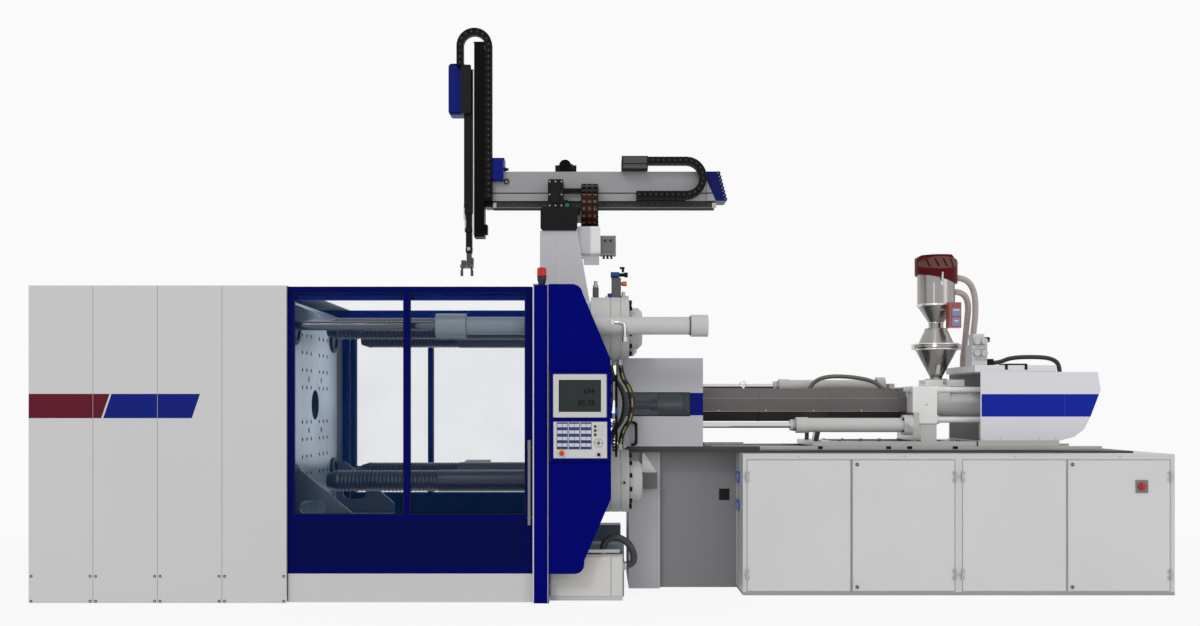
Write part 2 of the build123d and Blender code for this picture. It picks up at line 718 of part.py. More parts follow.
def cover_screws(x, rows):
    """Dark screw heads that sit in the holes of a cover."""
    front = -GUARD_Y
    return [
        bar_y(px, (front - 2, front + SHEET), level, SCREW_DIA / 2)
        for level in rows
        for px in (x[0] + SCREW_INSET, x[1] - SCREW_INSET)
    ]


def cover_panels():
    """Sheet covers left of the doors, roof, end cover and the skirts below the doors."""
    width = (PANEL_END_X - GUARD_LEFT) / PANEL_COUNT
    rows = (SCREW_LOW, SCREW_HIGH)
    covers = []
    screws = []
    for number in range(PANEL_COUNT):
        start = GUARD_LEFT + number * width
        x = (start + SEAM / 2, start + width - SEAM / 2)
        for piece in cover_sheet(x, (0, GUARD_HEIGHT - SHEET), rows):
            covers += both_sides(piece)
        for screw in cover_screws(x, rows):
            screws += both_sides(screw)
    end_y = GUARD_Y - PANEL_DEPTH
    covers.append(block((GUARD_LEFT, GUARD_LEFT + PANEL_DEPTH), (-end_y, end_y), (0, GUARD_HEIGHT - SHEET)))
    roof = block((GUARD_LEFT, PANEL_END_X), span(0, 2 * GUARD_Y), (GUARD_HEIGHT - SHEET, GUARD_HEIGHT))
    covers.append(roof)
    fascia_y = (-DOOR_Y + SHEET, -DOOR_Y + 2 * SHEET)
    covers += both_sides(block((PANEL_END_X + SEAM, COLUMN_X[0]), fascia_y, (0, SKIRT_HEIGHT)))
    store("cover_panels", covers, screws)


def sliding_door(prefix, side, mullion_x):
    """Blue framed door with two clear panes, on the operator's side or at the rear."""
    y = (-DOOR_Y, -DOOR_Y + DOOR_THICK)
    inner_left = DOOR_LEFT + DOOR_STILE
    inner_right = DOOR_RIGHT - DOOR_STILE
    mullion = span(mullion_x, MULLION)
    window_top = DOOR_TOP - DOOR_RAIL
    frame = [
        block((DOOR_LEFT, inner_left), y, (DOOR_LOW, DOOR_TOP)),
        block((inner_right, DOOR_RIGHT), y, (DOOR_LOW, DOOR_TOP)),
        block((inner_left, inner_right), y, (window_top, DOOR_TOP)),
        block((inner_left, inner_right), y, (DOOR_LOW, DOOR_PANEL_TOP)),
        block(mullion, y, (DOOR_PANEL_TOP, window_top)),
    ]
    pane_y = span(-DOOR_Y + DOOR_THICK / 2, PANE)
    panes = [
        block((inner_left, mullion[0]), pane_y, (DOOR_PANEL_TOP, window_top)),
        block((mullion[1], inner_right), pane_y, (DOOR_PANEL_TOP, window_top)),
    ]
    if side > 0:
        frame = [mirrored(piece) for piece in frame]
        panes = [mirrored(piece) for piece in panes]
    store(prefix + "door_frame", frame)
    store(prefix + "door_windows", panes)


def door_handle():
    """Tubular pull handle on two stand-offs."""
    y = -DOOR_Y - HANDLE_REACH + HANDLE_DIA / 2
    radius = HANDLE_DIA / 2
    handle = bar_z(HANDLE_X, y, (HANDLE_LOW, HANDLE_HIGH), radius)
    for level in (HANDLE_LOW + HANDLE_DIA * 2, HANDLE_HIGH - HANDLE_DIA * 2):
        handle += bar_y(HANDLE_X, (y, -DOOR_Y), level, radius * SHOULDER_SHARE)
    store("door_handle", handle)


def operator_stand():
    """Blue column and the flat blue housing that carries the operator panel."""
    column = block(COLUMN_X, COLUMN_Y, (0, COLUMN_TOP))
    strip_x = (COLUMN_X[0] - EDGE_STRIP, COLUMN_X[0])
    strip = block(strip_x, (COLUMN_Y[0], -DOOR_Y - SLIDE_GAP), (0, COLUMN_TOP - STRIP_DROP))
    rear = mirrored(block(COLUMN_X, (-DOOR_Y, COLUMN_Y[1]), (0, COLUMN_TOP)))
    store("operator_column", column, strip, rear)
    y = HOUSING_FRONT
    points = [
        (HOUSING_LEFT, HOUSING_TOP),
        (SHOULDER_X, HOUSING_TOP),
        (SHOULDER_LOW_X, SHOULDER_LOW_Z),
        (HOUSING_RIGHT - CHEEK_STEP, CHEEK_Z),
        (HOUSING_RIGHT, CHIN_Z),
        (NECK_X, NECK_Z),
        (HEEL_X, HOUSING_BOTTOM),
        (HOUSING_LEFT, HOUSING_BOTTOM),
    ]
    top_left, top, shoulder, cheek, chin, neck, heel, low_left = [
        Vector(px, y, pz) for px, pz in points
    ]
    outline = [
        Line(top_left, top),
        TangentArc(top, shoulder, tangent=(1, 0, 0)),
        Line(shoulder, cheek),
        Line(cheek, chin),
        Line(chin, neck),
        TangentArc(heel, neck, tangent=(1, 0, 0)),
        Line(heel, low_left),
        Line(low_left, top_left),
    ]
    depth = HOUSING_BACK - HOUSING_FRONT
    solid = extrude(make_face(outline), amount=depth, dir=(0, 1, 0))
    back = solid.faces().sort_by(Axis.Y)[-1]
    shell = offset(solid, amount=-HOUSING_SHEET, openings=back)
    bar_y_centre = HOUSING_BACK - EDGE_BAR_INSET
    edge_bar = block(EDGE_BAR_X, span(bar_y_centre, EDGE_BAR_DEPTH), EDGE_BAR_Z)
    link = block(
        (HOUSING_RIGHT - HOUSING_SHEET, EDGE_BAR_X[0]),
        span(bar_y_centre, EDGE_LINK),
        span(sum(EDGE_BAR_Z) / 2, EDGE_LINK_HEIGHT),
    )
    brace = block(BRACE_X, (HOUSING_BACK, -PLATEN_WIDTH / 2), span(AXIS_Z, BRACE_HEIGHT))
    pin_y = HOUSING_FRONT - PANEL_GAP - PANEL_THICK / 2
    tab_y = (HOUSING_FRONT - PANEL_GAP - PANEL_THICK, HOUSING_FRONT)
    tabs = []
    for edge, away in ((PANEL_LOW, -1), (PANEL_HIGH, 1)):
        near = edge + away * RUN
        limits = sorted((near, near + away * PANEL_TAB))
        tab = block((HOUSING_LEFT, PANEL_PIN_X + PANEL_TAB), tab_y, limits)
        pin = sorted((near, near - away * PANEL_PIN_DEPTH))
        tabs.append(tab + bar_z(PANEL_PIN_X, pin_y, pin, PANEL_PIN_DIA / 2))
    store("operator_housing", shell, edge_bar, link, brace, tabs)


def operator_panel():
    """Swivelling carrier with the display, the keypad, the stop button and a key switch."""
    back = HOUSING_FRONT - PANEL_GAP
    front = back - PANEL_THICK
    carrier = block((HOUSING_LEFT, HOUSING_RIGHT - 1), (front, back), (PANEL_LOW, PANEL_HIGH))
    for edge in (PANEL_LOW, PANEL_HIGH):
        hole = span(edge, 2 * PANEL_PIN_DEPTH)
        carrier -= bar_z(PANEL_PIN_X, (front + back) / 2, hole, PANEL_PIN_DIA / 2 + PIN_FIT)
    store("panel_carrier", carrier)
    display = block(DISPLAY_X, (front - DISPLAY_DEPTH, front), DISPLAY_Z)
    display = chamfer(display.edges().filter_by(Axis.Y), DISPLAY_CORNER)
    display -= block(
        SCREEN_X, (front - DISPLAY_DEPTH - 1, front - DISPLAY_DEPTH + SCREEN_RECESS), SCREEN_Z
    )
    store("display_unit", display)
    face = front - KEYPAD_DEPTH
    keypad = block(KEYPAD_X, (face, front), KEYPAD_Z)
    keypad -= bar_y(STOP_X, (face - 1, front + 1), STOP_Z, STOP_STEM_DIA / 2 + RUN)
    keypad -= bar_y(SWITCH_X, (face - 1, front + 1), SWITCH_Z, SWITCH_DIA / 2 + RUN)
    keys = []
    pitch = (KEY_AREA_Z[1] - KEY_AREA_Z[0]) / KEY_ROWS
    for left, right in KEY_COLUMNS:
        width = (right - left) / KEYS_IN_BLOCK
        for row in range(KEY_ROWS):
            low = KEY_AREA_Z[0] + row * pitch
            for number in range(KEYS_IN_BLOCK):
                start = left + number * width
                keys.append(block(
                    (start + KEY_SPACE / 2, start + width - KEY_SPACE / 2),
                    (face - KEY_RAISE, face),
                    (low + KEY_SPACE / 2, low + pitch - KEY_SPACE / 2),
                ))
    knobs = [bar_y(KNOB_X, (face - KNOB_HEIGHT, face), level, KNOB_DIA / 2) for level in KNOB_Z]
    plate = bar_y(STOP_X, (face - STOP_PLATE, face), STOP_Z, STOP_PLATE_DIA / 2)
    plate -= bar_y(STOP_X, (face - STOP_PLATE - 1, face + 1), STOP_Z, STOP_STEM_DIA / 2 + RUN)
    store("keypad_unit", keypad, keys, knobs, plate)
    rest = face - STOP_PLATE - STOP_TRAVEL - 1
    button = bar_y(STOP_X, (rest - STOP_HEIGHT, rest), STOP_Z, STOP_DIA / 2)
    button = chamfer(button.edges().sort_by(Axis.Y)[0], STOP_EDGE)
    button += bar_y(STOP_X, (rest, face + 2), STOP_Z, STOP_STEM_DIA / 2)
    store("emergency_button", button)
    key = bar_y(SWITCH_X, (face - SWITCH_HEIGHT, front), SWITCH_Z, SWITCH_DIA / 2)
    grip_y = (face - SWITCH_HEIGHT - KEY_GRIP[1], face)
    key += block(span(SWITCH_X, KEY_GRIP[0]), grip_y, span(SWITCH_Z, KEY_GRIP[2]))
    store("key_switch", key)


def signal_beacon():
    """Red lens on a tapered black foot, on top of the column."""
    profile = [
        (0, COLUMN_TOP),
        (BEACON_FOOT_DIA / 2, COLUMN_TOP),
        (BEACON_DIA / 2, COLUMN_TOP + BEACON_BASE * SHOULDER_SHARE),
        (BEACON_DIA / 2, COLUMN_TOP + BEACON_BASE),
        (0, COLUMN_TOP + BEACON_BASE),
    ]
    lens_top = COLUMN_TOP + BEACON_HEIGHT
    lens = [
        (0, COLUMN_TOP + BEACON_BASE),
        (BEACON_DIA / 2, COLUMN_TOP + BEACON_BASE),
        (BEACON_DIA / 2, lens_top - BEACON_EDGE),
        (BEACON_DIA / 2 - BEACON_EDGE, lens_top),
        (0, lens_top),
    ]
    store("signal_beacon", turned_z(profile, BEACON_X, BEACON_Y), turned_z(lens, BEACON_X, BEACON_Y))


# Injection unit

CAB_LEFT = 1101.0
CAB_RIGHT = 4428.0
CAB_Y = 787.0
CAB_TOP = 1088.0
PLINTH = 27.0
DECK = 40.0
CAB_WALL = 17.0
DOOR_SHEET = 18.0
COMPARTMENT_BACK = -200.0
WEB = 12.0
CAB_DOORS = (
    (1131.0, 1933.0, -1),
    (1943.0, 2737.0, 1),
    (2790.0, 3596.0, -1),
    (3601.0, 4396.0, 1),
)
DOOR_GAP = 1.0
HINGE_LEVELS = (160.0, 915.0)
HINGE_LENGTH = 80.0
HINGE_LEAF = 4.0
HINGE_WIDTH = 22.0
KNUCKLE_DIA = 16.0
HINGE_PIN_DIA = 8.0
KNUCKLE_GAP = 0.5
LOCK_DIA = 30.0
LOCK_PROUD = 5.0
LOCK_INSET = 38.0
LOCK_HEIGHTS = (64.0, 1008.0)
SWITCH_PLATE_X = (4122.0, 4221.0)
SWITCH_PLATE_Z = (790.0, 888.0)
SWITCH_PLATE = 8.0
SWITCH_CORNER = 6.0
SWITCH_GRIP = 14.0
SWITCH_KNOB_DIA = 56.0
SWITCH_GRIP_HEIGHT = 51.52
SWITCH_KNOB = 26.0

NECK_LEFT = 230.0
NECK_STEP_X = 480.0
NECK_WIDE_Y = 440.0
NECK_NARROW_Y = 373.0
NECK_TOP = 1092.0
NECK_WALL = 12.0
WAY_TOP = 1104.0
WAY_Y = 560.0
WAY_RIGHT = 4213.0
RAIL_Y = 330.0
LINEAR_RAIL_WIDTH = 60.0
LINEAR_RAIL_TOP = 1136.0
LINEAR_RAIL_LEFT = 900.0
LINEAR_RAIL_RIGHT = 4052.0

HOOD_X = (142.0, 815.0)
HOOD_Y = 545.0
HOOD_LOW = 1140.0
HOOD_TOP = 1838.0
HOOD_SHEET = 5.0
HOOD_WINDOW_Z = (1383.0, 1563.0)
HOOD_POST = 99.0
HOOD_EDGE = 40.0
HOOD_TRAVEL = 450.0
RUNNER_WIDTH = 34.0
BOW_X = 287.0
BOW_Z = (1158.0, 1324.0)
BOW_DIA = 18.0
BOW_REACH = 45.0

GUIDE_Y = 450.0
GUIDE_LOW_Z = 1307.0
GUIDE_HIGH_Z = 1633.0
GUIDE_DIA = 45.0
GUIDE_PISTON_X = 1600.0
GUIDE_PISTON = 40.0
GLAND_X = 1517.0
GLAND_DIA = 88.0
GLAND_LENGTH = 46.0
CAR_HEAD_DIA = 126.0
CAR_HEAD_LENGTH = 95.0
CAR_HEAD_WALL = 20.0
CAR_TUBE_DIA = 114.0
CAR_TUBE_WALL = 7.0
CAR_TUBE_RIGHT = 2417.0
CAR_FLANGE_DIA = 160.0
CAR_FLANGE = 74.0

CARRIAGE_PLATE_Z = (1136.0, 1175.0)
CARRIAGE_PLATE_X = (1716.0, 3032.0)
CARRIAGE_PLATE_WIDTH = 120.0
CROSS_PLATE = 180.0
FOOT_EDGE = 10.0           # the block's foot inside the slide plates
LOW_EAR = (60.0, 40.0, 120.0)   # side margin, rise above the rod and height
HIGH_EAR = (60.0, -50.0, 140.0)
STAND_PLATE = 40.0
STAND_TOP_Y = (50.0, -30.0)     # the stand's top corners beside the cylinder's axis
STAND_BITE = 12.0
SEAT_EDGE = 60.0
SEAT_UNDER = 1160.0
SADDLE_X = (3200.0, 3600.0)
SADDLE_WIDTH = 160.0
SADDLE_BITE = 6.0
BLOCK_X = (2535.0, 2732.0)
BLOCK_Y = 320.0
BLOCK_Z = (1307.0, 1619.0)
BLOCK_FOOT_X = (2586.0, 2711.0)
BLOCK_CORNER = 12.0
THROAT_X = 2816.0
THROAT_DIA = 90.0
HOUSING_END_X = 2900.0
FEED_DIA = 206.0
FEED_TOP = 1644.0
FEED_WIDTH = 220.0
GATE_X = (2766.0, 3009.0)
GATE_THICK = 34.0
GATE_WIDTH = 150.0
GATE_SEAT_X = (2700.0, 3020.0)
GATE_SEAT = 20.0
GATE_LIP = 20.0
GATE_LIP_WIDTH = 90.0
GATE_LIP_DROP = 6.0
COLLAR_WALL = 12.0         # nuts of the drive's column bars
COLLAR = 30.0

SCREW_BORE_DIA = 100.0
SCREW_GAP = 0.3
SCREW_CORE_DIA = 72.0
SCREW_TIP_X = 560.0
SCREW_POINT = 24.0         # diameter of the screw's blunt point
SCREW_NECK_DIA = 68.0
SCREW_CONE = 60.0
SCREW_RING_X = (90.0, 130.0)    # the check ring, from the tip
SCREW_SHANK = 60.0
SCREW_TAPER = 6.0
NOZZLE_TIP_X = 260.0
NOZZLE_DIA = 70.0
NOZZLE_BORE = 8.0
NOZZLE_TIP = 36.0          # diameter of the tip's end face
NOZZLE_CONE = 30.0
NOZZLE_HEX = 60.0
NOZZLE_BORE_INSET = 20.0
HEAD_BORE = 20.0
HEAD_BORE_INSET = 10.0
NOZZLE_HEX_DIA = 104.0
BARREL_HEAD_X = 480.0
BARREL_LEFT = 560.0
BARREL_DIA = 220.0
HEAD_FLANGE_DIA = 250.0
COVER_LEFT = 700.0
COVER_ACROSS = 272.0
COVER_SHEET = 5.0
COVER_SIDES = 8
EYE_X = 1200.0
EYE_DIA = 50.0
EYE_WIRE = 12.0

DRIVE_DIA = 206.0
DRIVE_BORE_DIA = 160.0
DRIVE_RIGHT = 3660.0
DRIVE_PISTON_X = 3150.0
DRIVE_PISTON = 100.0
DRIVE_WALL = 50.0
COLUMN_BAR_DIA = 50.0
COLUMN_BAR_Y = 250.0
COLUMN_BAR_DZ = 122.0
COLUMN_BAR_END = 3100.0

REAR_Y = 420.0
REAR_LEFT = 3052.0
REAR_STEP_X = (3016.0, 3673.0)
REAR_STEP_TOP = 1788.0
REAR_TOP = 1736.0
REAR_BOTTOM = 1182.0
REAR_SHEET = 6.0
REAR_NOSE = (              # the rounded end, from the top down
    (3993.0, 1732.0), (4016.0, 1589.0), (3934.0, 1374.0), (3880.0, 1270.0), (3800.0, 1210.0),
)
REAR_LIP = (3737.0, 1194.0)
REAR_TAIL_X = 3688.0
REAR_OPEN = 5.0            # cut beyond the open front and underside
REAR_TAIL_WALL = 8.0
REAR_STEP_INSET = 30.0
PEDESTAL_X = (3037.0, 3688.0)
VALVE_X = (3059.0, 3185.0)
VALVE_Z = (1803.0, 2055.0)
VALVE_Y = (-180.0, -20.0)
VALVE_SPLIT_Z = 1965.0
VALVE_INSET = 18.0
PLUG_DIA = 44.0
PLUG_LENGTH = 60.0

HOPPER_LOW_DIA = 92.0
HOPPER_DIA = 342.0
HOPPER_LOW_Z = 1700.0
HOPPER_RIM_Z = 1932.0
HOPPER_RING_DIA = 360.0
HOPPER_RING = 39.0
HOPPER_SHEET = 3.0
HOPPER_FOOT = 40.0
HOPPER_FOOT_THICK = 8.0
HOPPER_RING_LIP = 6.0
HOPPER_UPPER_DIA = 300.0
HOPPER_NECK_DIA = 185.0
HOPPER_NECK_Z = 2097.0
LOADER_NECK_DIA = 120.0
LOADER_CONE_Z = 2155.0
LOADER_DIA = 307.0
LOADER_BODY_Z = 2298.0
LOADER_TOP_Z = 2484.0
CAP_TOP_Z = 2711.0
CAP_WIDTH = 347.0
CAP_FRONT_Z = 2560.0
CAP_SLOPE = 85.0
CAP_ROUND = 25.0
NECK_RIM = 12.0
CONTROL_X = (2860.0, 2960.0)
CONTROL_Y = (-220.0, -130.0)
CONTROL_Z = (2101.0, 2310.0)
CONTROL_ARM = 60.0


def hinge_axis_y():
    """Hinge pins stand in front of the cabinet doors by half a knuckle."""
    return -CAB_Y - KNUCKLE_DIA / 2


def injection_bed():
    """Cabinets with four compartments, and the narrow neck towards the fixed platen."""
    back = (CAB_Y - CAB_WALL, CAB_Y)
    sides = (-CAB_Y, CAB_Y - CAB_WALL)
    body_z = (PLINTH, CAB_TOP - DECK)
    pieces = [
        block((CAB_LEFT, CAB_RIGHT), span(0, 2 * CAB_Y), (0, PLINTH)),
        block((CAB_LEFT, CAB_RIGHT), span(0, 2 * CAB_Y), (CAB_TOP - DECK, CAB_TOP)),
        block((CAB_LEFT, CAB_RIGHT), back, body_z),
        block((CAB_LEFT, CAB_DOORS[0][0] - DOOR_GAP), sides, body_z),
        block((CAB_DOORS[3][1] + DOOR_GAP, CAB_RIGHT), sides, body_z),
        block((CAB_DOORS[1][1] + DOOR_GAP, CAB_DOORS[2][0] - DOOR_GAP), sides, body_z),
    ]
    inner_front = -CAB_Y + DOOR_SHEET
    for left, right in ((CAB_DOORS[0][1], CAB_DOORS[1][0]), (CAB_DOORS[2][1], CAB_DOORS[3][0])):
        divider = span((left + right) / 2, 2 * WEB)
        pieces.append(block(divider, (inner_front, back[0]), body_z))
    walls = [
        CAB_DOORS[0][0] - DOOR_GAP,
        (CAB_DOORS[0][1] + CAB_DOORS[1][0]) / 2,
        CAB_DOORS[1][1] + DOOR_GAP,
        CAB_DOORS[2][0] - DOOR_GAP,
        (CAB_DOORS[2][1] + CAB_DOORS[3][0]) / 2,
        CAB_DOORS[3][1] + DOOR_GAP,
    ]
    web_y = (COMPARTMENT_BACK, COMPARTMENT_BACK + WEB)
    for left, middle, right in (walls[:3], walls[3:]):
        pieces.append(block((left, middle - WEB), web_y, body_z))
        pieces.append(block((middle + WEB, right), web_y, body_z))
    for left, right, side in CAB_DOORS:
        edge = left if side < 0 else right
        for level in HINGE_LEVELS:
            pieces.append(frame_knuckle(edge, side, level))
    neck_parts = (
        (NECK_LEFT, NECK_STEP_X, NECK_WIDE_Y),
        (NECK_STEP_X, CAB_LEFT, NECK_NARROW_Y),
    )
    for left, right, half in neck_parts:
        pieces += both_sides(block((left, right), (-half, -half + NECK_WALL), (0, NECK_TOP - NECK_WALL)))
        pieces.append(block((left, right), span(0, 2 * half), (NECK_TOP - NECK_WALL, NECK_TOP)))
    inner = NECK_WIDE_Y - NECK_WALL
    end_x = (NECK_LEFT, NECK_LEFT + NECK_WALL)
    pieces.append(block(end_x, (-inner, inner), (0, NECK_TOP - NECK_WALL)))
    store("injection_bed", pieces)


def frame_knuckle(edge, side, level):
    """Fixed middle knuckle with its leaf on the post beside a door."""
    length = HINGE_LENGTH / 3
    leaf_x = sorted((edge + side * DOOR_GAP, edge + side * HINGE_WIDTH))
    leaf = block(leaf_x, (-CAB_Y - HINGE_LEAF, -CAB_Y), span(level, length))
    neck = block(
        sorted((edge, edge + side * KNUCKLE_DIA / 2)), (hinge_axis_y(), -CAB_Y - 1), span(level, length)
    )
    hole = bar_z(edge, hinge_axis_y(), span(level, length + 2), HINGE_PIN_DIA / 2 + PIN_FIT)
    barrel = bar_z(edge, hinge_axis_y(), span(level, length), KNUCKLE_DIA / 2 - KNUCKLE_GAP)
    return (barrel + leaf + neck) - hole


def cabinet_door(number):
    """Flat sheet door with its knuckles, pins and locks."""
    left, right, side = CAB_DOORS[number]
    edge = left if side < 0 else right
    face = (-CAB_Y, -CAB_Y + DOOR_SHEET)
    door = block((left, right), face, (PLINTH + DOOR_GAP, CAB_TOP - DECK - DOOR_GAP))
    y = hinge_axis_y()
    part = HINGE_LENGTH / 3
    for level in HINGE_LEVELS:
        for shift in (-part, part):
            limits = span(level + shift, part - KNUCKLE_GAP)
            leaf_x = sorted((edge, edge - side * HINGE_WIDTH))
            door += bar_z(edge, y, limits, KNUCKLE_DIA / 2)
            door += block(leaf_x, (-CAB_Y - HINGE_LEAF, -CAB_Y), limits)
        door += bar_z(edge, y, span(level, HINGE_LENGTH), HINGE_PIN_DIA / 2)
    if side > 0:
        for level in LOCK_HEIGHTS:
            door += bar_y(left + LOCK_INSET, (-CAB_Y - LOCK_PROUD, -CAB_Y), level, LOCK_DIA / 2)
    if right > SWITCH_PLATE_X[1]:
        plate = block(SWITCH_PLATE_X, (-CAB_Y - SWITCH_PLATE, -CAB_Y), SWITCH_PLATE_Z)
        door += chamfer(plate.edges().filter_by(Axis.Y), SWITCH_CORNER)
    store(f"cabinet_door_{number + 1}", door)


def main_switch():
    """Rotary main switch on the plate of the fourth door."""
    x = sum(SWITCH_PLATE_X) / 2
    z = sum(SWITCH_PLATE_Z) / 2
    base = -CAB_Y - SWITCH_PLATE
    middle = base - SWITCH_KNOB / 2
    knob = bar_y(x, (middle, base), z, SWITCH_KNOB_DIA / 2)
    knob += block(span(x, SWITCH_GRIP), (base - SWITCH_KNOB, middle), span(z, SWITCH_GRIP_HEIGHT))
    store("main_switch", knob)


def way_covers():
    """Stainless deck plates, the linear rails on them and the hood's runners."""
    deck = [
        block((NECK_LEFT, CAB_LEFT), span(0, 2 * WAY_Y), (NECK_TOP, WAY_TOP)),
        block((CAB_LEFT, WAY_RIGHT), span(0, 2 * WAY_Y), (CAB_TOP, WAY_TOP)),
    ]
    rails = both_sides(block(
        (LINEAR_RAIL_LEFT, LINEAR_RAIL_RIGHT), span(RAIL_Y, LINEAR_RAIL_WIDTH), (WAY_TOP, LINEAR_RAIL_TOP)
    ))
    runner_y = (HOOD_Y - RUNNER_WIDTH, HOOD_Y)
    runner_x = (NECK_LEFT, HOOD_X[1] + HOOD_TRAVEL)
    runners = both_sides(block(runner_x, runner_y, (WAY_TOP, HOOD_LOW)))
    store("way_covers", deck, rails, runners)


def nozzle_guard():
    """Hood over the nozzle, open at both ends, with a window in its front side."""
    wall = (-HOOD_Y, -HOOD_Y + HOOD_SHEET)
    front = [
        block(HOOD_X, wall, (HOOD_LOW, HOOD_WINDOW_Z[0])),
        block(HOOD_X, wall, (HOOD_WINDOW_Z[1], HOOD_TOP - HOOD_SHEET)),
        block((HOOD_X[1] - HOOD_POST, HOOD_X[1]), wall, HOOD_WINDOW_Z),
        block((HOOD_X[0], HOOD_X[0] + HOOD_EDGE), wall, HOOD_WINDOW_Z),
    ]
    rear = block(HOOD_X, (HOOD_Y - HOOD_SHEET, HOOD_Y), (HOOD_LOW, HOOD_TOP - HOOD_SHEET))
    roof = block(HOOD_X, span(0, 2 * HOOD_Y), (HOOD_TOP - HOOD_SHEET, HOOD_TOP))
    radius = BOW_DIA / 2
    bow = bar_z(BOW_X, -HOOD_Y - BOW_REACH, BOW_Z, radius)
    for level in (BOW_Z[0] + radius, BOW_Z[1] - radius):
        bow += bar_y(BOW_X, (-HOOD_Y - BOW_REACH, -HOOD_Y), level, radius)
    store("nozzle_guard", front, rear, roof, bow)
    window = block(
        (HOOD_X[0] + HOOD_EDGE, HOOD_X[1] - HOOD_POST), wall, HOOD_WINDOW_Z
    )
    store("nozzle_guard_window", window)


def carriage_guides():
    """Two rods fixed to the platen, each ending in a piston inside a carriage cylinder."""
    bore = CAR_TUBE_DIA / 2 - CAR_TUBE_WALL
    rod = [
        (FIXED_REAR_X, 0),
        (FIXED_REAR_X, GUIDE_DIA / 2),
        (GUIDE_PISTON_X, GUIDE_DIA / 2),
        (GUIDE_PISTON_X, bore - RUN),
        (GUIDE_PISTON_X + GUIDE_PISTON, bore - RUN),
        (GUIDE_PISTON_X + GUIDE_PISTON, 0),
    ]
    places = ((-GUIDE_Y, GUIDE_LOW_Z), (GUIDE_Y, GUIDE_HIGH_Z))
    store("carriage_rods", [turned_x(rod, gy, gz) for gy, gz in places])
    head = GLAND_X + GLAND_LENGTH
    tube = head + CAR_HEAD_LENGTH
    cavity = head + CAR_HEAD_WALL
    hole = GUIDE_DIA / 2 + RUN
    profile = [
        (GLAND_X, hole),
        (GLAND_X, GLAND_DIA / 2),
        (head, GLAND_DIA / 2),
        (head, CAR_HEAD_DIA / 2),
        (tube, CAR_HEAD_DIA / 2),
        (tube, CAR_TUBE_DIA / 2),
        (CAR_TUBE_RIGHT, CAR_TUBE_DIA / 2),
        (CAR_TUBE_RIGHT, CAR_FLANGE_DIA / 2),
        (CAR_TUBE_RIGHT + CAR_FLANGE, CAR_FLANGE_DIA / 2),
        (CAR_TUBE_RIGHT + CAR_FLANGE, 0),
        (CAR_TUBE_RIGHT, 0),
        (CAR_TUBE_RIGHT, bore),
        (cavity, bore),
        (cavity, hole),
    ]
    store("carriage_cylinders", [turned_x(profile, gy, gz) for gy, gz in places])


def carriage_frame():
    """Slide plates on the rails, cross plates, cylinder stands and the block's foot."""
    plates = both_sides(block(CARRIAGE_PLATE_X, span(RAIL_Y, CARRIAGE_PLATE_WIDTH), CARRIAGE_PLATE_Z))
    inner = RAIL_Y - CARRIAGE_PLATE_WIDTH / 2
    cross = [
        block((left, left + CROSS_PLATE), (-inner, inner), CARRIAGE_PLATE_Z)
        for left in (CARRIAGE_PLATE_X[0], CARRIAGE_PLATE_X[1] - CROSS_PLATE)
    ]
    outer = RAIL_Y + CARRIAGE_PLATE_WIDTH / 2
    foot_y = (-outer + FOOT_EDGE, outer - FOOT_EDGE)
    foot = block(BLOCK_FOOT_X, foot_y, (CARRIAGE_PLATE_Z[1], BLOCK_Z[0]))
    ear_x = (CAR_TUBE_RIGHT + CAR_FLANGE, BLOCK_X[0])
    margin, rise, height = LOW_EAR
    low_ear_z = span(GUIDE_LOW_Z + rise, height)
    tie_low = block(ear_x, (-GUIDE_Y - margin, -BLOCK_Y + margin), low_ear_z)
    margin, rise, height = HIGH_EAR
    high_ear_z = span(GUIDE_HIGH_Z + rise, height)
    tie_high = block(ear_x, (BLOCK_Y - margin, GUIDE_Y + margin), high_ear_z)
    top = CARRIAGE_PLATE_Z[1]
    stand_top = GUIDE_LOW_Z - CAR_HEAD_DIA / 2 + STAND_BITE
    stand_x = (CARRIAGE_PLATE_X[0], CARRIAGE_PLATE_X[0] + STAND_PLATE)
    stand = cross_plate(
        [
            (-outer, top),
            (-inner - FOOT_EDGE, top),
            (-GUIDE_Y + STAND_TOP_Y[0], stand_top),
            (-GUIDE_Y + STAND_TOP_Y[1], stand_top),
        ],
        stand_x,
    )
    grip = (stand_x[0] - 1, stand_x[1] + 1)
    stand -= bar_x(grip, -GUIDE_Y, GUIDE_LOW_Z, CAR_TUBE_DIA / 2 + RUN)
    pedestal_z = (CARRIAGE_PLATE_Z[0], REAR_BOTTOM)
    seat = RAIL_Y - SEAT_EDGE
    pedestal = both_sides(block(PEDESTAL_X, (seat, REAR_Y - FOOT_EDGE), pedestal_z))
    deck = block(PEDESTAL_X, (-seat, seat), (SEAT_UNDER, REAR_BOTTOM))
    saddle_z = (REAR_BOTTOM, AXIS_Z - DRIVE_DIA / 2 + SADDLE_BITE)
    saddle = block(SADDLE_X, span(0, SADDLE_WIDTH), saddle_z)
    saddle -= bar_x((SADDLE_X[0] - 1, SADDLE_X[1] + 1), 0, AXIS_Z, DRIVE_DIA / 2 + RUN)
    store("carriage_frame", plates, cross, foot, tie_low, tie_high, stand, pedestal, deck, saddle)


